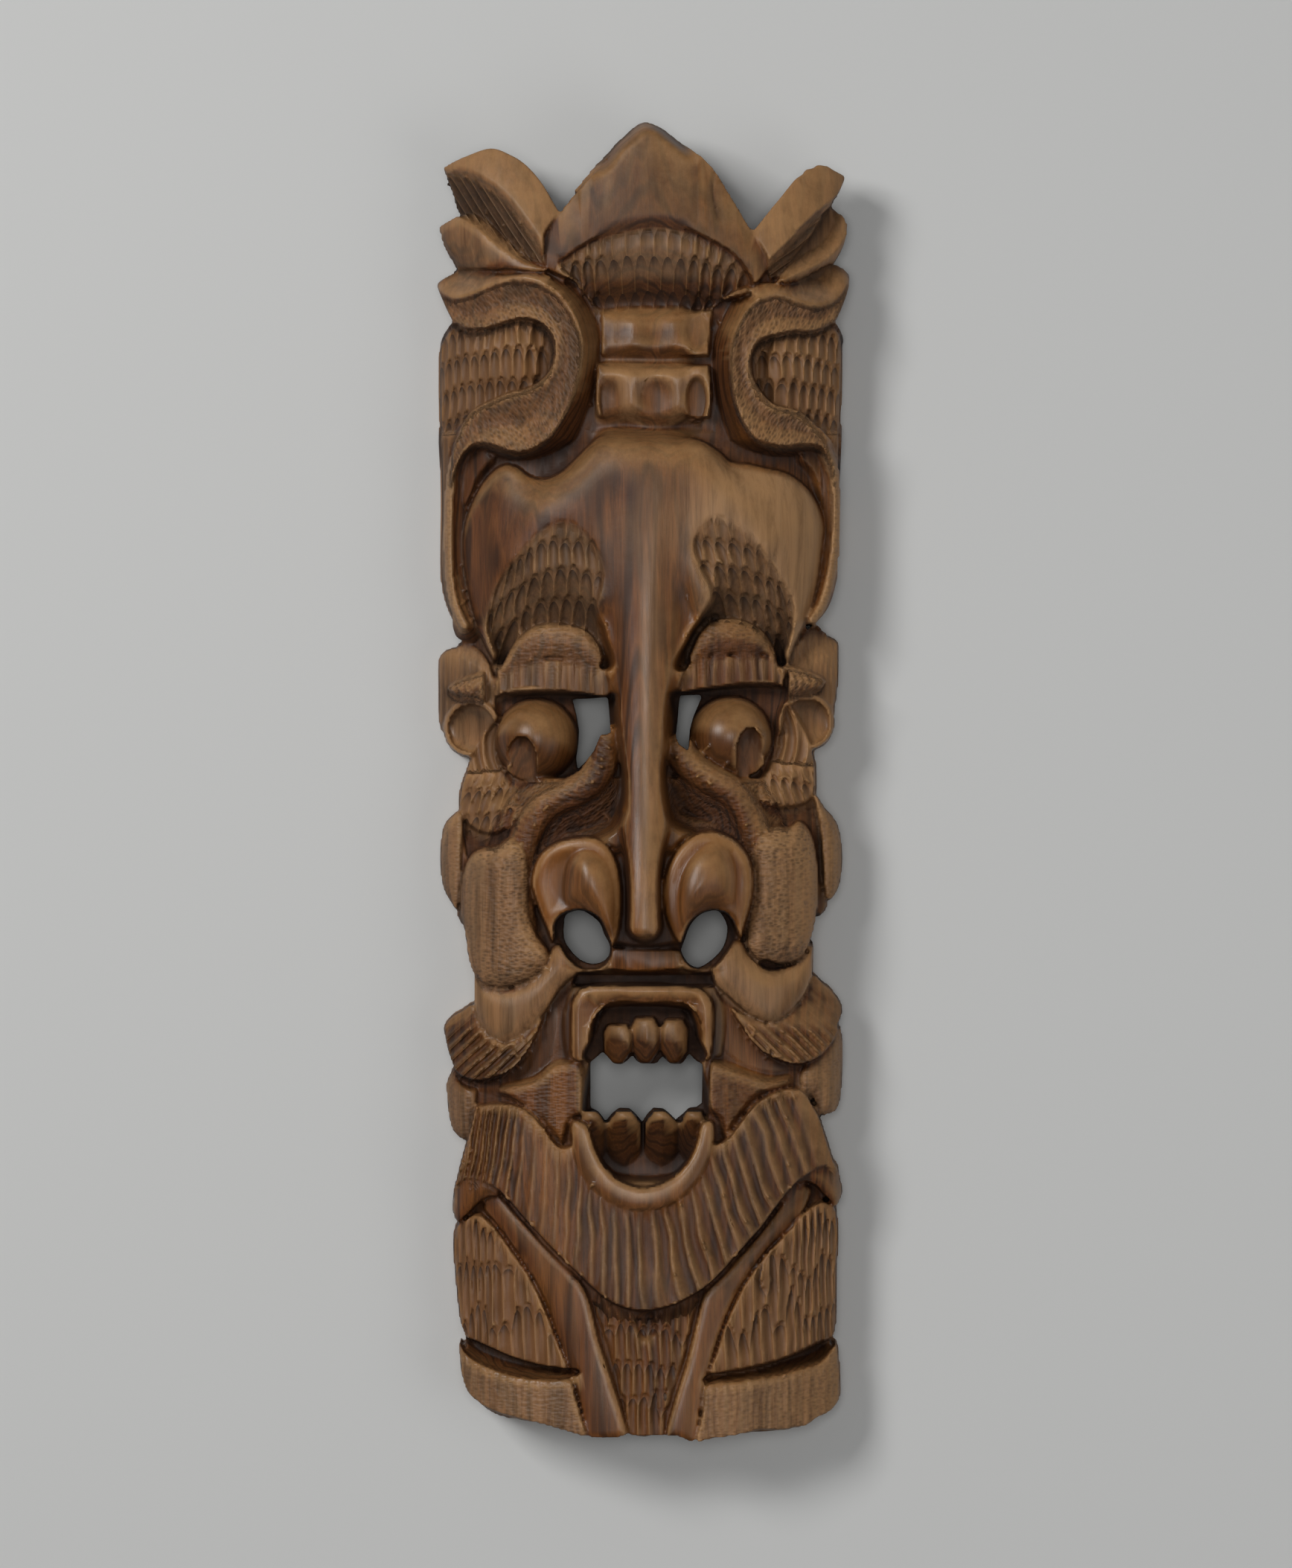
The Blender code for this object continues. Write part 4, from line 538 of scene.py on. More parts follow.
    def plate(self, sheet: Relief) -> None:
        """The pointed plate at the top with its faceted left edge, and the lens of scale cuts below it.

        Args:
            sheet: the relief to carve.
        """
        x, y = sheet.x, sheet.y
        plate = trace(9, 438.5, -10, 430, -30, 409.5, -50, 387, -58, 376.5, -67, 363, -67, 347, -60, 336,
            0, 318, 60, 320, 78, 333, 83, 346, 71, 368, 65, 378.5, 58, 390, 50, 403, 43, 411.5, 35, 418.5,
            25, 427, 16, 434)
        face = sheet.log + self.rise - 0.10 * np.clip(y - 350, 0, 99) - 0.05 * np.abs(x)
        facet = trace(0, 443.8, -5, 441, -20, 426, -32, 411, -45, 394.5, -50, 388, -30, 409, -10, 429.5,
            9, 438)
        front = sheet.distance(plate)
        side = sheet.distance(facet, sharp=True)
        sheet.h = np.where(side > 0, face - 6 + 4.5 * np.clip(front, -9, 0), sheet.h)
        sheet.widen(side)
        sheet.mark(side, Surface.GREY)
        sheet.form(plate, face, 1.3, edge=True, surface=Surface.CROWN)
        crack = sheet.distance(trace(46.5, 406, 45.5, 395, 46.5, 384, 49, 373), closed=False)
        sheet.carve(1.2 + crack, 0.5, 1.2)
        # painted shade: a dark line along the crack
        sheet.shade(1.8 + crack, -1.6, 1.8)

        lens = trace(-58, 343.5, -52, 348, -45, 353.5, -30, 361.5, -10, 367.5, 8, 370, 22, 368.5, 32, 365.5,
            41, 361, 50, 356.5, 60, 350, 68, 340.5, 73, 329, 60, 324, 46, 314, 25, 309, 5, 308.5,
            -28, 311.5, -38, 320, -48, 332)
        d = sheet.distance(lens)
        down = np.clip(369 - 0.0022 * x ** 2 - y, 0, 70)
        under = face - 2.5 - 26 * (np.clip(down - 12, 0, 60) / 48) ** 2
        sheet.bring(d, under, 1.2)
        sheet.mark(d, Surface.CUT)
        # painted shade under the lens's overhang, darkest towards its lower edge
        sheet.mark(np.where(d > 0, 334 - y, OUTSIDE), Surface.PAINTED_SHADE, 20)
        across = (x + 2 + 0.02 * x * np.clip(369 - y, 0, 60) / 10) / self.scale_pitch
        sheet.gouge(d, across, (down - 6) / self.scale_length, self.scale_cut, 3, 1.5)


@dataclass(frozen=True)
class Scrolls:
    """The scrolls beside the neck: a pricked ribbon rolled around a block of scale cuts."""

    pitch: float = 8.4
    cut: float = 2.8
    side_cut: float = 2.3
    left_block: Outline = trace(-126, 306, -132, 302.5, -137, 296, -139.6, 286, -139.6, 250, -138.6, 210,
        -138.2, 180, -139, 147, -138, 131, -135.5, 119, -131, 108, -124, 97.5, -117.5, 90.5, -119, 102,
        -126, 130, -128.5, 165, -128, 200, -123, 228, -70, 250, -58, 280, -64, 305, -90, 312)
    right_block: Outline = trace(124, 308, 128, 305.5, 132.5, 300, 134.7, 291, 134.2, 262, 133, 230,
        132, 200, 131.3, 170, 131, 146, 129, 131, 125, 117.5, 120, 109, 113, 102.5, 110, 108, 121, 138,
        126, 170, 126, 205, 120, 230, 76, 250, 68, 275, 76, 296, 96, 306)
    left_ribbon: Outline = trace(-139.6, 331.5, -134, 326, -126, 323, -115, 325, -105, 329, -95, 332.5,
        -85, 334, -75, 333, -66, 329.5, -57, 323, -49, 312, -43.5, 300, -41, 288, -42, 275, -45, 262,
        -49.5, 249, -56, 237, -65, 225.5, -74, 219, -83, 216.5, -92, 218, -101, 222, -109, 223.8, -116, 222,
        -122, 215, -126, 206, -128.5, 195, -130.5, 199, -129, 218, -126, 228, -122, 238, -116, 246,
        -108, 250.5, -100, 254, -90, 258, -80, 260, -72, 264, -66, 269, -62, 276, -60.5, 285, -61.5, 293,
        -66, 300, -73, 304.5, -82, 306, -92, 304, -102, 301, -113, 299.5, -121, 301, -127, 305, -132, 313,
        -137, 324)
    right_ribbon: Outline = trace(137.8, 334, 133, 326, 128, 321, 121, 318, 113, 317.5, 105, 319, 98, 321.5,
        90, 323.6, 83, 322.5, 76, 319.5, 70, 314, 65, 306, 61, 297, 58.3, 286, 57.8, 275, 59, 262,
        61.5, 250, 65.5, 240, 71, 231.5, 77, 226, 84, 222.8, 92, 221.2, 101, 222, 110, 223, 117, 221.8,
        122, 217, 125.5, 208, 128, 196, 129.5, 199, 128, 210, 125.5, 219, 122, 228, 117, 235, 110, 241.5,
        103, 246, 95, 248, 88, 249.5, 82, 254, 77, 260.5, 73, 268, 71.5, 277, 73, 285, 77, 291, 83, 294,
        91, 296, 100, 298, 110, 298, 118, 300, 125, 304, 130, 310, 134, 319, 137, 328)

    def carve(self, sheet: Relief) -> None:
        """The scrolls beside the neck: a pricked ribbon rolled around a block of scale cuts.

        Args:
            sheet: the relief to carve.
        """
        x, y = sheet.x, sheet.y
        # fluted slabs inside the scrolls
        for block, sign, mid, top, (sx, sy, sw, sh), (hx, hw), length, strip in (
                (self.left_block, -1, -84, 300, (-95, 282, 30, 22), (-66, 10), 19, -139),
                (self.right_block, 1, 88, 296, (100, 274, 26, 20), (77, 9), 18, 133)):
            d = sheet.form(block, sheet.log - 1, 3.0, edge=True, surface=Surface.LIGHT_CUT)
            swell = 5 * np.exp(-((x - sx) / sw) ** 2 - ((y - sy) / sh) ** 2)
            down = top - 0.0035 * (x - mid) ** 2 - y
            sheet.h += np.where(d > 0, swell * ramp(d, 6) - 10 * np.exp(-((x - hx) / hw) ** 2), 0)
            across = (x - mid) * (1 + 0.0055 * np.clip(sign * (x - mid), 0, 60)) / self.pitch
            sheet.gouge(np.minimum(d, y - 232), across, down / length, self.cut, 4, 1.2)
            sheet.gouge(np.minimum(d, 230 - y), (x - strip) / 7.5, None, self.side_cut)

        # the wood under the ribbons' lower ends, in painted shade
        for foot in (trace(-130, 196, -129, 226, -112, 230, -98, 214, -108, 200, -120, 176),
                     trace(129, 196, 128, 224, 112, 230, 100, 214, 110, 202, 118, 180)):
            sheet.form(foot, sheet.log - 9, 6, edge=True, surface=Surface.SHADED_WALL)
        # the walls that fall from the ribbons to the neck and the forehead, in painted shade, then the
        # ribbons
        for points, block, sign, surface in ((self.left_ribbon, self.left_block, -1, Surface.RISING),
                                             (self.right_ribbon, self.right_block, 1, Surface.FALLING)):
            d = sheet.distance(points)
            beside = (d < 2) & (d > -15) & (y > 185)
            outside = beside & (sheet.distance(block) <= 1.5)
            slope = np.interp(y, [215, 245], [1.5, 2.1])
            fall = slope * np.minimum(d, 0) - 1.4 * np.clip(226 - y, 0, 40)
            sheet.h = np.where(outside, np.maximum(sheet.h, sheet.log + 8 + fall), sheet.h)
            sheet.mark(np.where(outside, 15 + d, OUTSIDE), Surface.SHADED_WALL)
            sheet.form(points, sheet.log + 8 - 0.42 * np.clip(d, 0, 30), 1.2, edge=True, surface=surface)

        # wide grey walls above both ribbons, out to the tips
        for tip in (trace(-139.6, 332, -131, 338, -123, 341, -108, 340, -92, 336.5, -75, 338.5, -62, 334,
                        -72, 330, -85, 332, -98, 329, -112, 323, -126, 321, -135, 325),
                    trace(137.8, 334, 137.5, 339, 134, 342.5, 127, 345, 118, 341, 106, 334, 94, 330,
                        80, 331, 68, 328, 76, 321, 90, 322, 104, 317, 120, 316, 132, 322)):
            d = sheet.distance(tip)
            ribbon = np.maximum(sheet.distance(self.left_ribbon), sheet.distance(self.right_ribbon))
            wall = np.where(ribbon < 0.8, d, OUTSIDE)
            sheet.h = np.where(wall > 0, sheet.log + 8 + 1.1 * np.clip(ribbon, -18, 0), sheet.h)
            sheet.mark(np.where(ribbon < -1, d, OUTSIDE), Surface.SMOOTH)
            sheet.widen(d)

        # side strips that carry the ribbons' thin edges down beside the forehead, with painted shade on the
        # walls beside them
        for path in (trace(-120, 234, -125.5, 220, -129.5, 205, -131, 190, -132, 170, -132, 150,
                         -130.5, 130, -127, 115, -121, 102),
                     trace(116, 232, 123, 220, 127.5, 208, 129, 195, 129.5, 175, 128.5, 155, 125.5, 135,
                         120, 117, 113, 106)):
            strip = sheet.distance(path, closed=False)
            slope = sheet.log + 4 + 1.5 * strip
            wall = (strip > -13) & (np.abs(x) < 130) & (slope > sheet.h) & (ribbon < 0)
            sheet.h = np.where(wall, slope, sheet.h)
            sheet.mark(np.where(wall, 13 + strip, OUTSIDE), Surface.SHADED_WALL)
            sheet.roll(path, sheet.log + 5, 3.2, Surface.FINE_PRICKED)


@dataclass(frozen=True)
class Neck:
    """The toothed bars between the scrolls."""

    tooth_half_height: float = 17.0

    def carve(self, sheet: Relief) -> None:
        """The two toothed bars between the scrolls.

        Args:
            sheet: the relief to carve.
        """
        x, y = sheet.x, sheet.y
        # painted shade on the sunk wall behind the bars
        sheet.form(trace(-38, 309, 48, 309, 47, 240, 45, 230, -36, 230, -35, 240), sheet.log - 18, 4,
                   surface=Surface.SHADED_WALL)
        upper = trace(-29, 312, -4, 311, 20, 311, 46, 313, 45, 300, 43.5, 281.5, 10, 281, -29, 281.5)
        lean = 0.10 * np.clip(y - 282, 0, 40)
        d = sheet.form(upper, sheet.log - 5 - lean, 1.3, True, surface=Surface.OILED)
        for cx in (-20, 8, 36):
            oval = 1 - ((x - cx) / 11.5) ** 2 - ((y - 300) / self.tooth_half_height) ** 2
            sheet.h -= np.where(d > 0, 3.4 * ramp(oval, 0.6), 0)
            sheet.shade(d, -0.30)
            sheet.mark(np.where(d > 0, 6 * oval, OUTSIDE), Surface.SCOOP)
        lower = trace(-32, 277, 10, 275.5, 44, 276, 45.5, 256, 44, 241, 36, 238.5, 26, 241.5, 18, 238,
            8, 235.5, -2, 238.5, -12, 242, -22, 237.5, -32, 241, -33, 256)
        d = sheet.form(lower, sheet.log - 3, 1.3, True, surface=Surface.OILED)
        for cx, half in ((-23, 8), (8, 11.5), (35, 8)):
            oval = 1 - ((x - cx) / half) ** 2 - ((y - 252) / self.tooth_half_height) ** 2
            sheet.h -= np.where(d > -2, 6.0 * ramp(oval, 0.5), 0)
            sheet.mark(np.where(d > 0, 6 * oval, OUTSIDE), Surface.SCOOP)


@dataclass(frozen=True)
class Forehead:
    """The domed forehead and the brows cut into it."""

    pitch: float = 8.6
    cut: float = 3.2
    rise: float = 8.0

    def carve(self, sheet: Relief) -> None:
        """The smooth domed forehead with its two lobes, and the soft grooves beside the nose's ridge.

        Args:
            sheet: the relief to carve.
        """
        lobes = trace(-122.5, 152, -121.5, 168, -117, 183, -109, 198, -100, 207.5, -92, 210.5, -84, 208,
            -76, 202, -66, 200.5, -56, 205, -46, 214, -37, 223, -26, 230, 0, 230, 22, 228.5, 38, 226,
            50, 219, 58, 212, 70, 210.5, 82, 208, 94, 205.5, 104, 200, 113, 191, 119, 179, 121, 168,
            119.5, 152, 117, 133, 113, 116, 108, 103, 101, 88, 97, 76, 86, 60, 20, 56, 0, 60, -20, 55,
            -92, 55, -99.5, 74, -106, 86, -112, 100, -117, 116, -120.5, 134)
        d = sheet.distance(lobes)
        top = sheet.log + self.rise - 16 * (1 - bulge(d, 26))
        sheet.bring(d, top, 1.5)
        sheet.mark(d, Surface.FACE)
        # painted light: the right of the forehead lighter and the left darker, as the light falls on its
        # lobes
        sheet.shade(d, np.interp(sheet.x, [-110, -40, 20, 50, 100], [-0.60, -0.55, 0.0, 0.7, 1.1]))
        sheet.shade(np.where(d > 0, sheet.y - 168, OUTSIDE), -0.55, 45)
        middle = trace(-72, 192, -58, 204, -46, 214, -37, 223, -26, 230.5, 0, 230.5, 22, 229, 38, 226.5,
            50, 219, 60, 206, 72, 192, 86, 174, 96, 155, 60, 120, 0, 100, -60, 120, -104, 140, -88, 170)
        d = sheet.distance(middle)
        sheet.h += 5.0 * ramp(d, 10)
        # soft grooves beside the ridge of the nose
        for path, depth in ((trace(-26, 216, -21, 175, -18.5, 150, -18, 110), 3.0),
                            (trace(30, 216, 26, 150, 23, 110), 1.8)):
            line = sheet.distance(path, closed=False)
            sheet.h -= depth * np.exp(-(line / 7) ** 2) * ramp(214 - sheet.y, 50)
        sheet.sand(sheet.distance(lobes) - 5, 6.0, 10.0)
        self.hollows(sheet)

    def hollows(self, sheet: Relief) -> None:
        """The sunk brows above the eyelids, cut in rows of scales.

        Args:
            sheet: the relief to carve.
        """
        x, y = sheet.x, sheet.y
        left = trace(-50, 172, -62, 170, -74, 162, -84, 151, -94, 138, -101, 126, -105, 112, -106, 98,
            -101, 84, -95, 72, -24, 70, -24, 95, -30, 112, -27, 128, -26, 141, -31, 154, -40, 166)
        right = trace(48, 176, 60, 172, 72, 164, 82, 150, 90, 138, 97, 126, 101, 114, 100, 98, 96, 84,
            90, 72, 22, 70, 27, 92, 38, 110, 44, 124, 36, 142, 32, 156, 38, 170)
        left_down = 172 - 0.011 * (x + 52) ** 2 - y
        right_down = 172 - 0.2 * (x - 45) - 0.016 * np.clip(x - 72, 0, 40) ** 2 - y
        slant = 0.30 * np.clip(150 - y, 0, 80) * ramp(-x - 66, 34)
        left_across = x + slant - 0.6 * np.clip(-75 - x, 0, 40)
        right_across = x + 0.20 * (y - 110) + 0.3 * np.clip(x - 80, 0, 40)
        for points, across, down, length, count in ((left, left_across, left_down, 19.5, 4),
                                                    (right, right_across, right_down, 17.0, 5)):
            d = sheet.distance(points)
            roll = 2 * ramp(down, 20) + 22 * (np.clip(down - 28, 0, 60) / 44) ** 1.4
            roll *= np.interp(np.abs(x), [22, 46], [0.45, 1.0])
            sheet.h -= roll * ramp(d, np.interp(y, [100, 150], [4, 14]))
            sheet.mark(d, Surface.CUT, 4)
            deep = self.cut * (0.4 + 0.6 * ramp(down, 30))
            sheet.gouge(d, across / self.pitch, down / length, deep, count, 0.9)


@dataclass(frozen=True)
class Ears:
    """The ear blocks with their cones, and the dished rings below them."""

    cone_radius: float = 10.0

    def carve(self, sheet: Relief) -> None:
        """The ear blocks with their pricked cones, and the dished rings below them.

        Args:
            sheet: the relief to carve.
        """
        x, y = sheet.x, sheet.y
        for sign, block, cone, ring in (
                (-1, trace(-117, 91.5, -127, 89, -135, 86, -140, 79, -140.2, 60, -139.8, 42, -136.5, 30,
                    -120, 26, -100, 40, -102, 74), (-131, -107, 60), (-116, 33, 20.5)),
                (1, trace(113, 101.5, 120, 98, 127, 95, 131.5, 91, 132, 80, 131.3, 62, 129, 46, 126, 38,
                    104, 46, 96, 62, 98, 84), (121, 96, 64), (109, 37, 20))):
            d = sheet.form(block, sheet.log - 8, 2.0, edge=True, surface=Surface.CUT)
            sheet.h -= 1.3 * ramp(d, 3) * flute(x / 3.6 + 0.3 * waver(x, y, 9, 5))
            facet = (y - 72 - 0.55 * (np.abs(x) - 108)) * ramp(d, 2)
            sheet.h -= 0.45 * np.clip(facet, 0, 12)
            tip, base, mid = cone
            t = np.clip((x - base) / (tip - base), 0, 1.2)
            radius = self.cone_radius * np.sqrt(np.clip(1 - t, 0, 1)) + 1.5
            out = np.clip(1 - ((y - mid) / radius) ** 2, 0, 1)
            raised = (t > 0) & (t < 1.05) & (out > 0)
            sheet.h = np.where(raised, np.maximum(sheet.h, sheet.log - 9 + 13 * np.sqrt(out)), sheet.h)
            sheet.h -= np.where(raised, 2.2 * flute((x * sign + 0.6 * np.abs(y - mid)) / 4.6), 0)
            sheet.mark(np.where(raised, 3.0, OUTSIDE), Surface.DARK_PRICKED)
            cx, cy, rad = ring
            dist = np.hypot(x - cx, y - cy)
            disc = rad - dist
            sheet.h += (sheet.log - 4 - sheet.h) * ramp(disc, 1.5)
            sheet.widen(disc)
            sheet.mark(disc, Surface.SMOOTH)
            sheet.h -= 4 + 8 * bulge(rad - 4.5 - dist, 14) - 4 * (rad - 4.5 < dist)


@dataclass(frozen=True)
class Eyes:
    """The crescents, sockets, eyeballs and lids."""

    socket_floor: float = 52.0
    ball_radius: float = 28.0
    pupil_reach: float = 19.5
    crescent_cut: float = 2.3
    lid_flute: float = 8.6
    lid_cut: float = 1.3

    def crescents(self, sheet: Relief) -> None:
        """The gouged crescents that hold the eyes from outside.

        Args:
            sheet: the relief to carve.
        """
        x, y = sheet.x, sheet.y
        for sign, outer, inner in (
                (-1, trace(-93, 46, -101, 38, -110, 28, -117, 16, -122, 3, -125.5, -8, -126.3, -19,
                    -123, -28, -115, -36, -104, -39.5, -93, -37, -85, -31, -79, -22, -77, -8, -84, 0,
                    -95, 18), (-71, 22)),
                (1, trace(94, 52, 102, 45, 109, 33, 113.5, 22, 116.5, 10, 117.3, -2, 116.5, -11, 108, -19,
                    95, -22, 82, -21, 72, -12, 68, -3, 78, 2, 88, 22), (58, 26))):
            d = sheet.distance(outer)
            right = x - inner[0]
            away = np.hypot(right, y - inner[1])
            top = sheet.log - 6 - 15 * np.clip((50 - away) / 26, 0, 1)
            sheet.bring(d, top, 3)
            sheet.widen(d)
            sheet.mark(d, Surface.LIGHT_CUT)
            down = (8 if sign < 0 else 14) - y - 0.10 * sign * right
            sheet.gouge(np.minimum(d, 3 - down), (away - 30) / 7.5, None, 1.2 * self.crescent_cut)
            across = x + 0.30 * sign * (y - 10)
            sheet.gouge(np.minimum(d, down - 1), across / 7.0, down / 17, self.crescent_cut, 3, 0.8)

    def balls(self, sheet: Relief) -> None:
        """The sockets, the eyeballs with their slanting pupils, and the gaps between eyeball and nose.

        Args:
            sheet: the relief to carve.
        """
        x, y = sheet.x, sheet.y
        for points in (trace(-95, 58, -24, 58, -20, 40, -20, 12, -30, -4, -62, -12, -88, -6, -96, 14,
                           -99, 36),
                       trace(22, 60, 93, 64, 92, 40, 88, 14, 78, -4, 60, -6, 36, 2, 20, 12, 17, 36)):
            # painted shade on the sunk socket floors
            sheet.form(points, self.socket_floor, 6, surface=Surface.SHADED_GROUND)
        rad, pv = self.ball_radius, self.pupil_reach
        for cx, cy, px, py, ph in ((-72, 25.5, -82, 8, 10.5), (57.5, 27, 71, 14, 10.0)):
            base = sheet.log[0, np.argmin(abs(x[0] - cx))] - 1
            dist = np.hypot(x - cx, y - cy)
            ball = base - rad + rad * np.sqrt(np.clip(1 - (dist / rad) ** 2, 0, 1))
            sheet.h = np.where(dist < rad, np.maximum(sheet.h, ball), sheet.h)
            sheet.mark(rad - dist, Surface.OILED)
            sheet.shade(rad - dist, -1.25)
            scoop = 1 - ((x - px) / ph) ** 2 - ((y - py) / pv) ** 2
            slope = base - 16 + 0.22 * (y - py) + 3.5 * ((x - px) / ph) ** 2
            inside = (scoop > 0) & (dist < rad + 1)
            sheet.h = np.where(inside, np.where(y > py, np.minimum(sheet.h, slope), slope), sheet.h)
            sheet.mark(np.where(inside, 3.0, OUTSIDE), Surface.SCOOP)
        for gap in (trace(-48.5, 52.5, -36, 53, -24.5, 54, -23.5, 42, -22.5, 30, -25, 28.5, -29, 28.5,
                        -31, 24, -34, 17, -39, 11, -45, 5, -46, 12, -44.5, 22, -44, 31, -45.5, 41),
                    trace(24, 55, 37, 55.5, 38.5, 54, 36, 48, 33, 41, 30.5, 32, 29.5, 17, 26, 20, 23, 22,
                        21, 27, 22, 36, 23, 48)):
            sheet.pierce(gap, sharp=True)
        self.lids(sheet)

    def lids(self, sheet: Relief) -> None:
        """The scaly eyelid domes and the fluted bands that hang below them.

        Args:
            sheet: the relief to carve.
        """
        x, y = sheet.x, sheet.y
        for dome, band, cx in (
                (trace(-64, 103.5, -76, 100.5, -86, 92.5, -93, 81, -98, 69, -86, 74.5, -75, 78, -62, 79.2,
                     -50, 78.5, -40, 76, -32, 72, -27, 80, -33, 93, -44, 101),
                 trace(-98, 70, -86, 75.5, -75, 79, -62, 80, -50, 79.5, -38, 76.5, -25, 71, -23.5, 53.5,
                     -40, 55, -55, 57, -70, 58.7, -82, 58.7, -91, 57, -101, 53.5), -62),
                (trace(62, 106.5, 48, 105.5, 39, 100, 33, 90, 29.5, 78, 40, 79.8, 52, 81.2, 70, 82.3,
                     80, 81.6, 89, 79, 85, 91, 76, 101),
                 trace(29, 76, 40, 80.5, 55, 82.2, 70, 83, 80, 82.3, 88.5, 80, 94, 61, 86, 62.8, 76, 63,
                     62, 61.5, 50, 59.5, 38, 58, 22.5, 57), 60)):
            d = sheet.form(band, sheet.log - 4, 1.6, surface=Surface.CUT)
            narrow = x - cx - 0.25 * np.clip(np.abs(x - cx) - 14, 0, 30) * np.sign(cx - x)
            sheet.gouge(d, narrow / self.lid_flute + 0.5, None, self.lid_cut, strength=0.4)
            # painted highlight along the band's rim; the same call lightens all the wood outside the band
            sheet.shade(6 - d, 0.3)
            d = sheet.dome(dome, sheet.log - 6, 5, 17, surface=Surface.SCALY)
            sheet.h -= 0.9 * ramp(d, 3) * flute((y + 1.5 * waver(x, y, 9, 31)) / 3.9)


@dataclass(frozen=True)
class Cheeks:
    """The tear rolls and the pricked pouches."""

    roll_radius: float = 10.5

    def carve(self, sheet: Relief) -> None:
        """The tear rolls, the sunk ground between them and the nose, and the pouches outside them.

        Args:
            sheet: the relief to carve.
        """
        x, y = sheet.x, sheet.y
        hollow_left = trace(-22, 18, -20, 4, -18, -12, -20, -28, -34, -36, -56, -40, -70, -46, -76, -60,
            -80, -36, -66, -20, -46, -10, -30, -2)
        hollow_right = trace(20, 12, 17, -6, 20, -22, 30, -30, 48, -32, 62, -38, 70, -52, 74, -70, 76, -44,
            66, -24, 46, -8, 30, 2)
        for points in (hollow_left, hollow_right):
            sheet.form(points, sheet.log - 24, 5, surface=Surface.DARK_PRICKED)
        for path in (trace(-26.5, 26, -27, 19, -29, 8, -36, -2, -48, -10, -60, -15, -69, -21, -76, -31,
                         -81, -42, -84, -60, -84, -85, -82, -105),
                     trace(23, 19, 27, 12, 36, 4, 48, -3, 58, -9, 66, -18, 72, -29, 76, -40, 80, -56,
                         80, -80, 76, -100)):
            flank = sheet.distance(path, closed=False)
            beside = (flank > -26) & (y > -62) & (y < path[3][1] + 2)
            sheet.h = np.where(beside, np.maximum(sheet.h, sheet.log - 5 + 0.65 * flank), sheet.h)
            sheet.mark(np.where(beside & (y < path[3][1] + 6), 22 + flank, OUTSIDE), Surface.DARK_PRICKED)
            sheet.roll(path, sheet.log - 2.5, self.roll_radius, Surface.SCALY)
            sheet.h -= 0.9 * ramp(self.roll_radius + flank, 4) * flute((0.6 * np.abs(x) - y) / 5.2)
        self.pouches(sheet)

    def pouches(self, sheet: Relief) -> None:
        """The pricked cheek pouches with their lower lips, and the lobes and flanges at the sides.

        Args:
            sheet: the relief to carve.
        """
        for points, lip, lobe, flange in (
                (trace(-110, -47, -98, -45, -90, -40, -80, -46, -77, -62, -77, -88, -72, -104, -64, -116,
                     -66, -126, -76, -135, -90, -140.5, -103, -140.5, -111, -138.5, -115.5, -132,
                     -119, -122, -121, -108, -123.6, -92, -123.8, -76, -121.5, -62, -117, -52),
                 trace(-109, -138.5, -96, -140.8, -80, -137.5, -84, -143.5, -92, -145.5, -101, -144),
                 trace(-122, -22, -129, -24.5, -134, -29, -137, -36, -138.6, -50, -138.2, -64, -136, -76,
                     -131.5, -84, -127, -90, -124, -84, -122, -50),
                 trace(-127, -89, -126, -95, -123.3, -100, -118, -95, -118, -60, -122, -40)),
                (trace(88, -32, 96, -33, 103, -28.5, 109, -32, 114, -42, 117, -60, 117.5, -78, 116, -94,
                     113.5, -106, 109.5, -116, 103, -123, 92, -126, 82, -126, 74, -121, 68, -111, 70, -96,
                     73, -78, 73.5, -60, 75, -42),
                 trace(104, -122.5, 92, -124.5, 80, -121, 76, -125, 84, -130.5, 94, -128.5),
                 trace(113, -10, 117, -12, 122, -20, 127, -25.5, 131, -32, 133.4, -42, 134.2, -56, 133, -69,
                     130, -78, 124, -83.8, 120, -75, 118, -40),
                 trace(118, -70, 124.2, -84, 122.5, -90.5, 119.5, -93.8, 116.5, -95, 114, -80))):
            sheet.form(flange, sheet.log - 12, 2, edge=True, surface=Surface.CUT)
            sheet.dome(lobe, sheet.log - 12, 8, 9, edge=True, surface=Surface.FINE_PRICKED)
            d = sheet.dome(points, sheet.log - 7, 11, 17, 1.0, True, Surface.FINE_PRICKED)
            reach = 98 - np.abs(sheet.x) + 14 * ramp(-sheet.y - 85, 40) + 16 * ramp(sheet.y + 66, 20)
            sheet.mark(np.where(d > 0, reach, OUTSIDE), Surface.PRICKED, 9)
            # painted shade in the groove under each pouch
            sheet.form(lip, sheet.log - 22, 2.0, surface=Surface.SHADED_GROUND)


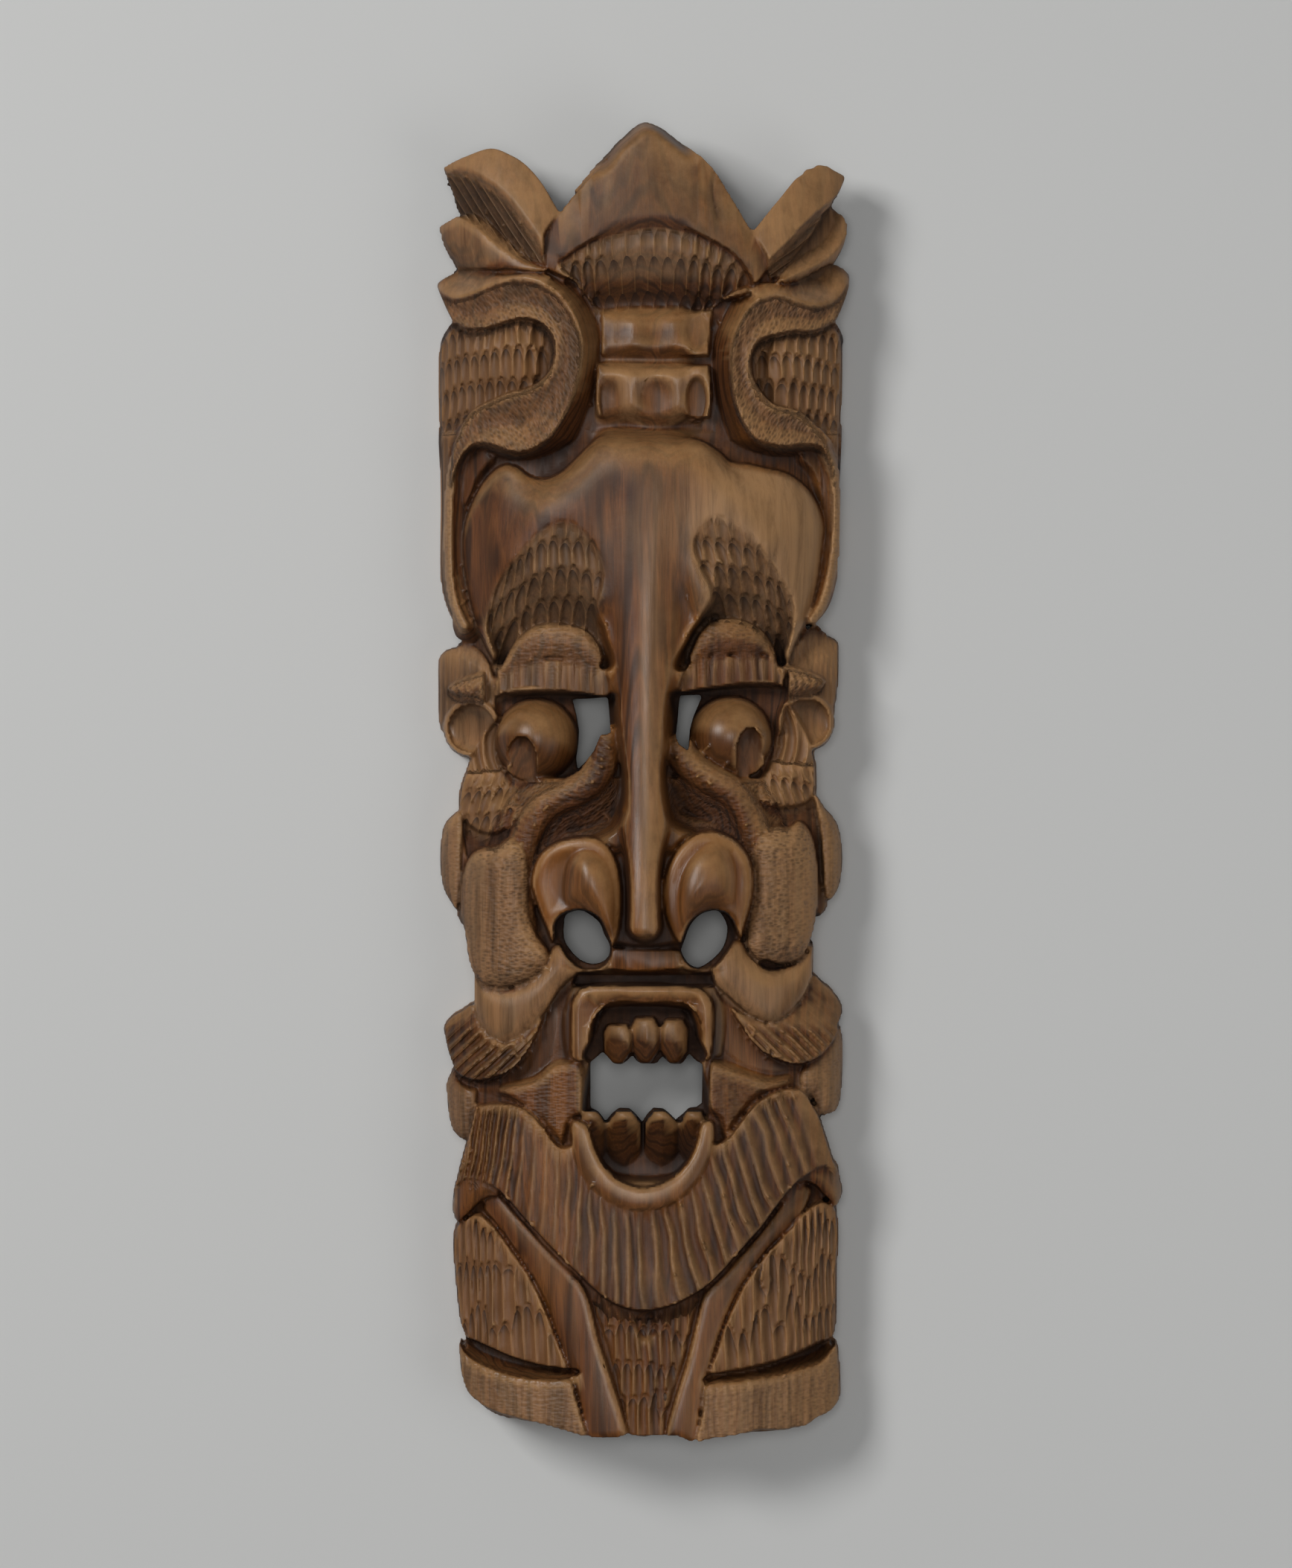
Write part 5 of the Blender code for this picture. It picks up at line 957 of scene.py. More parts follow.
@dataclass(frozen=True)
class Nose:
    """The long nose, its wings and its nostrils."""

    wing_rise: float = 12.0

    def ridge(self, sheet: Relief) -> None:
        """The long nose: its ridge, its side walls down to the sockets, and the shells of its wings.

        Args:
            sheet: the relief to carve.
        """
        x, y = sheet.x, sheet.y
        bridge = trace(-24, 196, -25, 175, -25, 150, -27, 130, -30, 113, -29, 103, -26, 92, -24, 80,
            -22.5, 60, -21, 38, -18.5, 18, -16, 0, -15.5, -18, -18, -32, -16.5, -44, -14.5, -56, -13, -70,
            -12.5, -88, -12.5, -102, -8, -109, 0, -111, 8, -109, 12.5, -102, 12.5, -88, 12.5, -70, 14, -56,
            16.5, -43, 19, -31, 17, -18, 15.5, 0, 17.5, 20, 18.5, 42, 21, 60, 24, 75, 28, 90, 33, 100,
            37, 109, 36, 126, 30, 150, 28, 175, 26, 196, 0, 207)
        rise = np.interp(-y, [-205, -150, -90, -30, 30, 80, 104, 112],
                         [105.5, 106, 106.5, 109, 114, 121, 123, 118])
        across = x - np.interp(-y, [-200, -100, 0, 110], [1.5, 1.0, 0.5, 0.2])
        # painted shade on the wood beside the lower nose
        sheet.form(trace(-28, -48, 0, -40, 28, -46, 24, -80, 24, -113, -24, -113, -25, -80),
            sheet.log - 1, 6,
                   surface=Surface.SHADED_WALL)
        for flare in (trace(-13, 4, -17, -14, -24, -30, -40, -40, -30, -50, -16, -54, -6, -40),
                      trace(13, 6, 17, -12, 22, -26, 36, -36, 28, -48, 16, -54, 6, -40)):
            sheet.form(flare, sheet.log + 6, 9, surface=Surface.SMOOTH)
        d = sheet.distance(bridge)
        wall = np.interp(-y, [-190, -130, -95, -60, 110], [16.0, 14.0, 8.0, 6.5, 4.5])
        round_off = np.interp(-y, [-205, -150, -60, 60], [0.003, 0.010, 0.022, 0.030])
        top = rise - round_off * across ** 2 - 12 * ramp(-98 - y, 16) ** 2
        sheet.bring(d, top, wall)
        sheet.sand(np.minimum(y - 100, 36 - np.abs(x)), 3.5, 14)
        sheet.mark(np.minimum(d, (150 - y) / 4), Surface.SMOOTH, 14)
        sheet.mark(np.where((d > -1) & (y < 112) & (y > -20), 5 - d, OUTSIDE), Surface.GOLDEN)
        # painted highlight along the nose's crest, stronger below y 160
        sheet.shade(np.where(d > 0, 10 - np.abs(across - 3), OUTSIDE), 0.2 + 0.4 * ramp(160 - y, 60), 10)

        for shell, lobe, centre in (
                (trace(-61, -111, -66, -101, -72, -86, -76, -70, -72, -54, -62, -44, -48, -39.5, -34, -39,
                     -24, -45, -17, -58, -14.5, -76, -15, -94, -18, -108, -24, -115, -40, -100, -55, -96),
                 trace(-56, -66, -52, -54, -44, -48, -34, -49, -24, -58, -19, -72, -18, -90, -21, -108,
                     -28, -100, -40, -89, -52, -88, -57, -80), -32),
                (trace(64, -109, 68, -98, 72, -84, 73.5, -68, 70, -52, 60, -40, 46, -35, 32, -38, 20, -50,
                     13, -66, 12, -84, 16, -100, 25, -112, 40, -98, 56, -94),
                 trace(67, -80, 68, -64, 62, -50, 52, -42, 40, -45, 28, -56, 20, -72, 19, -90, 26, -106,
                     36, -92, 48, -87, 58, -92, 64, -94), 38)):
            d = sheet.distance(shell)
            rim = sheet.log + self.wing_rise - 3 * ramp(d - 5, 10) - 6 * (1 - bulge(d, 9))
            sheet.bring(d, rim, 1.8)
            sheet.mark(d, Surface.GOLDEN)
            inner = sheet.distance(lobe)
            mound = sheet.log + 8 + 13 * bulge(inner, 23) - 0.012 * (x - centre) ** 2
            sheet.h += (np.maximum(mound, sheet.h) - sheet.h) * ramp(inner, 2.0)
            sheet.mark(inner, Surface.OILED, 8)
            # painted shade in the groove around each wing's lobe
            sheet.shade(8 - np.abs(inner), -0.35, 6)
            sheet.sand(d - 3, 1.8, 4)

        # cheek strap beneath the wings and the upper-lip plate
        sheet.form(trace(-24, -114, 0, -113.5, 25, -115, 26, -129, -24, -129.5), sheet.log - 5, 2.5,
                   surface=Surface.SMOOTH)

    def nostrils(self, sheet: Relief) -> None:
        """The flared nostrils, cut right through.

        Args:
            sheet: the relief to carve.
        """
        for rim, hole in ((trace(-61, -100, -57, -92, -49, -88.5, -40, -88, -30, -93, -25, -102,
                               -21.5, -112, -22.5, -121, -29, -128, -40, -129.5, -50, -123, -57, -112),
                           trace(-52.5, -92, -44, -89, -38, -91, -30, -97.5, -27, -105, -23, -113,
                               -24, -120, -29, -124.3, -36, -125.3, -44, -122, -50.5, -115, -54, -108,
                               -54, -98)),
                          (trace(60, -99, 56.5, -91, 48, -88, 40, -89, 31, -95, 26, -105, 23.5, -115,
                               28, -125, 37, -129.5, 47, -127.5, 56, -117, 61.5, -107),
                           trace(36, -93, 42, -90, 49, -89.3, 53, -94, 55.6, -100, 55, -108, 52, -115.5,
                               46, -122, 40, -126.3, 36, -128, 30, -125.5, 26, -120, 24.5, -116, 27.3, -108,
                               30.5, -99.5))):
            # painted shade on the sunk rim inside each nostril
            sheet.form(rim, sheet.log - 20, 2.0, surface=Surface.SHADED_GROUND)
            sheet.pierce(hole)


@dataclass(frozen=True)
class Jaw:
    """The pillars, fans and patches around the mouth."""

    pitch: float = 6.2
    cut: float = 2.3
    pillars: Sequence[Outline] = (trace(-60, -112, -66, -124, -76, -134, -90, -141, -104, -140, -114, -133,
        -115.3, -145, -114.5, -156, -110, -167, -104, -174, -94, -178.5, -85, -175, -76, -168, -68, -160,
        -62, -151, -57, -143, -50, -136, -42, -131, -24, -129, -24, -116, -44, -112),
               trace(64, -109, 70, -118, 82, -128, 94, -127, 106, -121, 113.5, -110, 114.3, -125,
                   113.5, -134, 108, -146, 102, -154, 95, -160.5, 86, -165, 77, -162.5, 68, -158, 59, -150,
                   50, -142, 44, -135, 44, -129, 26, -129, 26, -116, 44, -112))

    def carve(self, sheet: Relief) -> None:
        """The smooth pillars from the nose to the sides, the fluted fans below them, and the patches.

        Args:
            sheet: the relief to carve.
        """
        x, y = sheet.x, sheet.y
        for points in self.pillars:
            d = sheet.dome(points, sheet.log - 9, 7, 14, surface=Surface.PILLAR)
            sheet.widen(np.where(np.abs(x) > 60, d, OUTSIDE))
        for fan, side, wall, across, along in (
                (trace(-115, -151, -119, -152.7, -123, -156, -130, -160, -134.3, -165, -136.3, -169,
                     -135, -176, -133, -185, -130.5, -192, -127.5, -198, -121, -202, -113, -203.8,
                     -104, -202.6, -95, -199.5, -87, -194, -80, -186, -74, -177, -69.5, -167, -67, -159,
                     -76, -167, -85, -174.5, -94, -178, -104, -173.5, -110, -166),
                 trace(-128, -196, -131.5, -200, -134.3, -207, -133.8, -217, -132.5, -229, -130, -238,
                     -125, -243.5, -120.5, -245.5, -116, -235, -112, -215, -114, -203),
                 trace(-67, -158, -60, -150, -56, -158, -57, -174, -62, -188, -72, -200, -86, -209,
                     -104, -212, -122, -209, -128, -199, -112, -204, -95, -200, -80, -186), 0.68, -0.73),
                (trace(114.3, -132, 119, -136, 125, -141, 130.5, -147.5, 133.8, -154, 134, -160, 132, -165,
                     131.3, -170, 127, -178, 120, -186, 112, -190.8, 102, -193, 90, -190, 80, -184.5,
                     72, -177, 65, -167.5, 57, -154, 66, -157.5, 77, -162.5, 86, -165, 95, -160.5,
                     102, -153, 108, -145),
                 trace(131, -168, 133.5, -172.5, 134.6, -180, 134.4, -195, 133.7, -210, 132.5, -219,
                     129.5, -225.5, 124, -227.5, 118, -228, 112, -215, 104, -206, 108, -192),
                 trace(57, -153, 50, -146, 48, -160, 50, -178, 60, -190, 76, -197.5, 94, -199, 106, -196,
                     114, -190, 100, -193, 82, -186, 66, -168), 0.70, 0.71)):
            sheet.dome(side, sheet.log - 15, 9, 13, edge=True, surface=Surface.FINE_PRICKED)
            sheet.form(wall, sheet.log - 16, 3, surface=Surface.SMOOTH)
            low = np.clip((-150 - y) / 45, 0, 1)
            d = sheet.form(fan, sheet.log - 10 + 13 * low, 1.4, edge=True, surface=Surface.CUT)
            deep = 0.25 + 0.75 * ramp(-162 - y, 14)
            radial = (x * across + y * along) / self.pitch
            sheet.gouge(d, radial, None, (self.cut + 1.2) * deep, strength=deep * np.where(x < 0, 1.8, 0.6))
        for patch in (trace(-60, -189, -42, -187, -38, -198, -38, -224, -47, -231, -55, -247, -70, -233,
                          -90, -218, -99, -213, -97, -206, -76, -200),
                      trace(44, -187, 60, -192, 84, -200, 98, -199, 100, -206, 92, -211, 76, -217, 64, -231,
                          54, -245, 48, -230, 40, -222, 39, -198)):
            sheet.form(patch, sheet.log - 9, 6, surface=Surface.SCALY)


@dataclass(frozen=True)
class Mouth:
    """The open mouth with its lips and teeth."""

    floor: float = 58.0
    tooth_front: float = 84.0
    lower_tooth_front: float = 80.0

    def carve(self, sheet: Relief) -> None:
        """The open mouth: lips, upper and lower teeth, and the gap right through between them.

        Args:
            sheet: the relief to carve.
        """
        x, y = sheet.x, sheet.y
        slot = trace(-46, -130.5, 46, -130.5, 49, -141, -50, -141)
        basin = trace(-34, -131, 34, -131, 50, -142, 55, -160, 53, -186, 46, -192, 44, -222, 43, -234,
            33, -262, 20, -279, 0, -283, -20, -280, -35, -262, -45, -236, -42, -222, -40, -192, -52, -190,
            -56, -165, -52, -146, -44, -135)
        # painted shade on the sunk basin of the mouth
        sheet.form(basin, sheet.log - 14, 3, surface=Surface.SHADED_WALL)
        inside = trace(-38, -190, -35, -162, -28, -152, 24, -152, 35, -162, 39, -190, 44, -222, 36, -250,
            20, -269, -20, -269, -36, -250, -42, -222)
        # painted shade inside the mouth
        sheet.form(inside, self.floor, 4, surface=Surface.PAINTED_SHADE)
        # painted shade in the slot above the upper lip
        sheet.form(slot, sheet.log - 28, 2, True, surface=Surface.PAINTED_SHADE)
        # upper lip: a square-shouldered roll
        upper = trace(-48.5, -188, -49.5, -170, -49, -153, -46, -145, -37, -138.8, 0, -138.3, 33, -139.5,
            41, -143.5, 46, -151, 46.5, -170, 44, -188, 38, -188, 37.5, -168, 34, -158, 25, -151.5, 0, -151,
            -20, -151, -29, -156, -35, -166, -38, -188)
        d = sheet.dome(upper, sheet.log - 4, 3, 4, surface=Surface.OILED)
        crest = trace(-44, -192, -45, -165, -43, -150, -35, -143.5, 0, -143, 32, -143.5, 39, -149,
            41.5, -165, 40, -192)
        sheet.h -= 0.45 * ramp(d, 3) * np.clip(-sheet.distance(crest, closed=False), 0, 12)
        gum = trace(-34, -170, -27, -155, -14, -151.5, 12, -151.5, 26, -155, 35, -170, 38, -192, -37, -192)
        # painted shade on the gum behind the teeth
        sheet.form(gum, self.floor + 4, 3, surface=Surface.SHADED_GROUND)
        for cx, half, top, tip, turn in ((-18, 9.5, -165, -192.6, 0.35), (0.5, 9.5, -161, -192, 0.1),
                                         (20, 9, -162, -192.3, -0.3)):
            left, right = cx - half, cx + half
            outline = [(left, top - 6), (left + 3, top), (right - 3, top), (right, top - 6),
                       (right, tip + 9), (right - 5.5, tip + 0.8), (cx + 1, tip), (left + 5.5, tip + 0.5),
                       (left, tip + 9)]
            d = sheet.distance(outline, sharp=True)
            front = self.tooth_front - 0.35 * np.abs(x - cx - 1) - 0.45 * np.clip(-176 - y, 0, 20)
            front += turn * (x - cx)
            sheet.h = np.where(d > 0, np.maximum(sheet.h, front - 5 * (1 - bulge(d, 4))), sheet.h)
            sheet.mark(d, Surface.TOOTH)
        for cx, half in ((-13.5, 11.5), (11.5, 11.5), (-35, 9), (33, 9)):
            left, right = cx - half, cx + half
            outline = [(left, -232), (cx - 5, -222.5), (cx + 5, -222.5), (right, -232), (right, -250),
                       (right - 3, -266), (left + 3, -266), (left, -250)]
            d = sheet.distance(outline, sharp=True)
            front = self.lower_tooth_front + 3 - 0.4 * np.abs(x - cx) - 0.75 * np.clip(-228 - y, 0, 40)
            sheet.h = np.where(d > 0, np.maximum(sheet.h, front - 4 * (1 - bulge(d, 4))), sheet.h)
            sheet.mark(d, Surface.TOOTH)
        # lower lip: a half-round roll in a deep curve
        lower = trace(-48.8, -229.5, -49, -246, -45, -260, -38, -271.5, -28, -281, -15, -287.8, 0, -290,
            15, -287, 28, -279, 38, -267.5, 44.5, -254, 47.3, -240, 46, -229.5, 38, -231, 34, -245,
            28, -257, 18, -267, 5, -272.5, -5, -272.8, -18, -267.5, -27, -258, -33, -246, -38, -232)
        sheet.dome(lower, sheet.log - 4, 3.5, 6, surface=Surface.OILED)
        gap = trace(-36.3, -191, -33, -188.5, -28, -184, -24.5, -187.5, -20, -192.3, -15, -192.5,
            -11.5, -190, -8, -186.3, -5, -190.5, -2, -192, 8, -192, 12, -187, 15.5, -190.5, 18, -192.3,
            25, -192.3, 27.5, -189, 30, -185.2, 34.5, -190, 39, -192.5, 38.6, -219, 35, -221.5, 30, -222,
            26, -226, 21, -230, 17, -226, 13, -222.6, 6, -222, 2, -226, -1.5, -231.5, -6, -226, -10, -222.5,
            -17, -222, -22, -226, -26, -231.2, -31, -224.5, -36.3, -222)
        sheet.pierce(gap, sharp=True)


@dataclass(frozen=True)
class Beard:
    """The fluted beard."""

    cut: float = 3.0
    outline: Outline = trace(-108, -219, -114, -221, -118, -236, -122, -250, -126, -265, -128.6, -278,
        -124, -273, -117, -270, -108, -271.5, -101, -275, -93, -282, -84, -292, -74, -303, -64, -313.5,
        -54, -323.5, -44, -333, -33, -343.5, -21, -352, -8, -356.3, 5, -356.5, 18, -353.5, 30, -348,
        42, -340.5, 52, -331, 62, -320, 72, -309, 80, -300, 88, -289, 96, -279, 104, -270.5, 112, -265,
        121, -261.5, 130.5, -266.5, 127, -254, 123, -241.5, 119, -229, 113, -218, 107, -209.5, 99, -208,
        90, -209.5, 82, -212.5, 73, -219, 64, -230, 55, -241, 44, -244, 30, -232, 0, -226, -30, -232,
        -46, -244, -57, -246, -68, -232, -80, -221, -94, -218)

    def carve(self, sheet: Relief) -> None:
        """The fluted beard and its curved hem.

        Args:
            sheet: the relief to carve.
        """
        x, y = sheet.x, sheet.y
        d = sheet.distance(self.outline)
        foot = sheet.distance(trace(-128, -276, -117, -270.5, -101, -275, -84, -292, -64, -313.5, -44, -333,
            -21, -352, 5, -356.5, 30, -348, 52, -331, 72, -309, 88, -289, 104, -270.5, 121, -261.5,
            132, -267), closed=False, margin=60)
        top = sheet.log - 2 + 5 * ramp(60 + foot, 60)
        sheet.bring(d, top, 1.6)
        sheet.widen(np.where(np.abs(x) > 80, d, OUTSIDE))
        sheet.mark(d, Surface.CUT)
        lean = np.interp(x, [-130, -100, -40, 0, 30, 60, 120],
                         [0.26, 0.16, 0.02, -0.05, -0.20, -0.32, -0.42])
        u = x - lean * (y + 290) + 1.2 * waver(x, 0.2 * y, 9, 21)
        count = np.interp(u, [-130, -110, -90, -60, 0, 60, 130], [0, 4.5, 7.5, 11, 18.5, 24.5, 31])
        deep = np.interp(x, [-125, -95, -70, -20, 20, 130], [1.3, 1.15, 0.55, 0.6, 0.95, 1.1])
        deep *= 0.85 + 0.35 * waver(x, 0.4 * y, 16, 23)
        middle = np.interp(np.abs(x), [30, 80], [0.4, 1.0])
        sheet.gouge(d, count, None, self.cut * deep, strength=np.clip(2.0 * deep - 1.15, 0, 2) * middle)
        sheet.shade(d, np.interp(x, [-60, -20, 130], [0.0, -0.50, -0.25]))


@dataclass(frozen=True)
class Shoulders:
    """The fluted panels, their foot bands, the straps and the wedge between them."""

    pitch: float = 8.2
    cut: float = 2.5
    slit: float = 14.0

    def panels(self, sheet: Relief) -> None:
        """The rolls at the ends of the beard's hem, and the fluted panels with a band across each foot.

        Args:
            sheet: the relief to carve.
        """
        x, y = sheet.x, sheet.y
        # rolls at both ends of the hem
        for points in (trace(-127.5, -272, -129.6, -282, -130.2, -291, -128.5, -297, -125.5, -300.5,
                           -119, -295, -112, -287, -104, -282, -97, -281, -99, -272, -109, -265,
                           -120, -264),
                       trace(130, -260, 132.5, -270, 134.3, -279.5, 132.5, -285, 129.3, -289.5, 122, -283,
                           115, -275, 108, -272, 101, -272, 108, -262, 120, -257)):
            sheet.dome(points, sheet.log - 7, 7, 8, edge=True, surface=Surface.SMOOTH)
        # panels and bands
        for panel, band, slit, shift in (
                (trace(-127.5, -301, -121, -296, -112, -292, -105, -296, -97, -304, -90, -314, -81, -326,
                     -73, -339, -68, -350, -62, -364, -56, -380, -50, -396, -62, -396, -75, -393.5,
                     -90, -389.5, -105, -383.5, -114, -379.5, -120, -377.7, -124.5, -370, -126.5, -358,
                     -128.5, -338, -130, -318, -129.5, -308),
                 trace(-124, -378.8, -125.6, -385, -125, -396, -123.6, -405, -119.5, -414.5, -111, -421.5,
                     -99, -427, -85, -430.5, -68, -434.7, -54, -438.5, -38, -441.8, -41, -428, -45, -414,
                     -49, -402, -60, -402.3, -75, -401.8, -90, -399.3, -105, -394.5, -117, -388.5),
                 trace(-124.5, -379.5, -119, -377, -104, -382, -88, -388.5, -70, -393.5, -43, -396.3,
                     -50, -402.6, -74, -402.2, -91, -399.7, -106, -395, -118, -389), 0),
                (trace(129.5, -289, 131, -296, 131.8, -310, 131, -330, 130.6, -352, 130, -370,
                     127.6, -377.8, 118, -380.3, 105, -386, 90, -391.7, 75, -395.3, 60, -398, 43, -399.5,
                     47, -386, 52, -370, 57, -358, 63, -345, 71, -332, 80, -320, 89, -310.5, 98, -301,
                     106, -292, 114, -286, 122, -284),
                 trace(128.3, -379.6, 131.2, -384, 132.4, -395, 133.3, -410, 133, -418, 130.6, -422.5,
                     127, -426.5, 122, -429.7, 117, -431.2, 112, -434.7, 107, -437.2, 101, -437, 96, -438.3,
                     90, -438.7, 78, -437.7, 70, -439.8, 60, -442, 45, -444, 34, -444.6, 38, -425, 41, -406,
                     60, -403.4, 75, -401.4, 90, -399.2, 105, -395.8, 119, -391.3),
                 trace(129, -378.5, 118, -380.5, 104, -386.5, 88, -392, 70, -396.5, 41, -400, 40.5, -405.8,
                     60, -403.2, 76, -401.2, 92, -398.8, 107, -395, 120, -390.8), 4)):
            d = sheet.form(panel, sheet.log - 6, 2.2, edge=True, surface=Surface.LIGHT_CUT)
            side = np.clip(np.abs(x) - 100, 0, 30) * np.sign(x)
            across = x + 0.7 * side + shift + 0.04 * (y + 340)
            down = (-300 - y) / 35 + 0.5 * waver(x, 0.5 * y, 10, 90)
            sheet.gouge(d, across / self.pitch, down, self.cut, 3, 0.3)
            sheet.shade(d, 0.3)
            below = sheet.form(band, sheet.log - 6, 1.8, edge=True, surface=Surface.FINE_PRICKED)
            sheet.h -= 0.8 * ramp(below, 3) * flute((x + 2 * waver(x, y, 12, 12)) / 5)
            gap = sheet.distance(slit)
            sheet.h -= self.slit * np.clip(0.5 - below, 0, 6) / 6 * ramp(gap, 1.2)
            sheet.mark(gap, Surface.SMOOTH)

    def straps(self, sheet: Relief) -> None:
        """The smooth straps between the panels and the middle, and the rough wedge below the beard.

        Args:
            sheet: the relief to carve.
        """
        x, y = sheet.x, sheet.y
        for points in (trace(-98, -279, -84, -294, -64, -315, -44, -335, -36, -350, -30, -375, -22, -400,
                           -14, -425, -12, -441, -38, -442, -42, -425, -50, -398, -57, -378, -68, -349,
                           -82, -325, -97, -304, -108, -290, -106, -281),
                       trace(100, -272, 88, -291, 72, -311, 52, -333, 40, -344, 34, -365, 28, -390,
                           20, -415, 14, -440, 22, -442, 34, -445, 38, -425, 43, -400, 52, -370, 63, -345,
                           80, -320, 98, -301, 108, -290, 112, -276)):
            sheet.dome(points, sheet.log - 11, 3, 7, 1.5, True, Surface.SMOOTH)
        wedge = trace(-34, -345, 0, -350, 36, -345, 32, -368, 27, -390, 20, -412, 15, -430, 15, -440.8,
            5, -443.3, -3, -443.7, -12, -441, -13, -428, -19, -405, -26, -380)
        d = sheet.form(wedge, sheet.log - 12, 3, edge=True, surface=Surface.CUT)
        down = (-352 - y) / 24 + 0.3 * waver(x, y, 12, 91)
        sheet.gouge(d, x / 7.6, down, 2.4, 4, 0.2)
        knot = 1 - ((x - 1) / 8) ** 2 - ((y + 367) / 11) ** 2
        sheet.h -= 4 * ramp(knot, 0.7)


@dataclass(frozen=True)
class Back:
    """The scooped hollow, its flat rim and the lifted back of the crown."""

    half_width: float = 138.75
    rim: float = 41.0
    wall: float = 14.0
    depth: float = 47.0
    rounding: float = 45.0
    crown_lift: float = 50.0
    lift_from: float = 325.0
    lift_to: float = 444.25
    adze: float = 17.0
    adze_cut: float = 0.9

    def heights(self, sheet: Relief) -> Grid:
        """Heights of the back over the sheet.

        Args:
            sheet: the carved face, which the hollow stays clear of.

        Returns:
            The height of the wood's back at each spot.
        """
        side = self.half_width - self.rim
        right = [(0, 388), (0.27 * side, 370), (0.53 * side, 346), (0.82 * side, 324), (0.96 * side, 296),
                 (side, 260), (side, 0), (side, -370), (0.94 * side, -398), (0.72 * side, -412), (0, -418)]
        d = sheet.distance(right + [(-out, up) for out, up in right[-2:0:-1]], margin=8)
        cells = round(13 / sheet.step)
        sound = spread(spread(sheet.h, cells, np.min), cells, np.mean) - self.wall
        strokes = sheet.rows(sheet.x / self.adze, (sheet.y + 450) / 46, self.adze_cut, 19, 0.0)
        scoop = np.minimum(self.depth * bulge(d, self.rounding), sound) + strokes * ramp(d - 6, 12)
        lift = self.crown_lift * np.clip((sheet.y - self.lift_from) / (self.lift_to - self.lift_from), 0, 1)
        return np.maximum(np.where(d > 0, scoop, 0), lift)


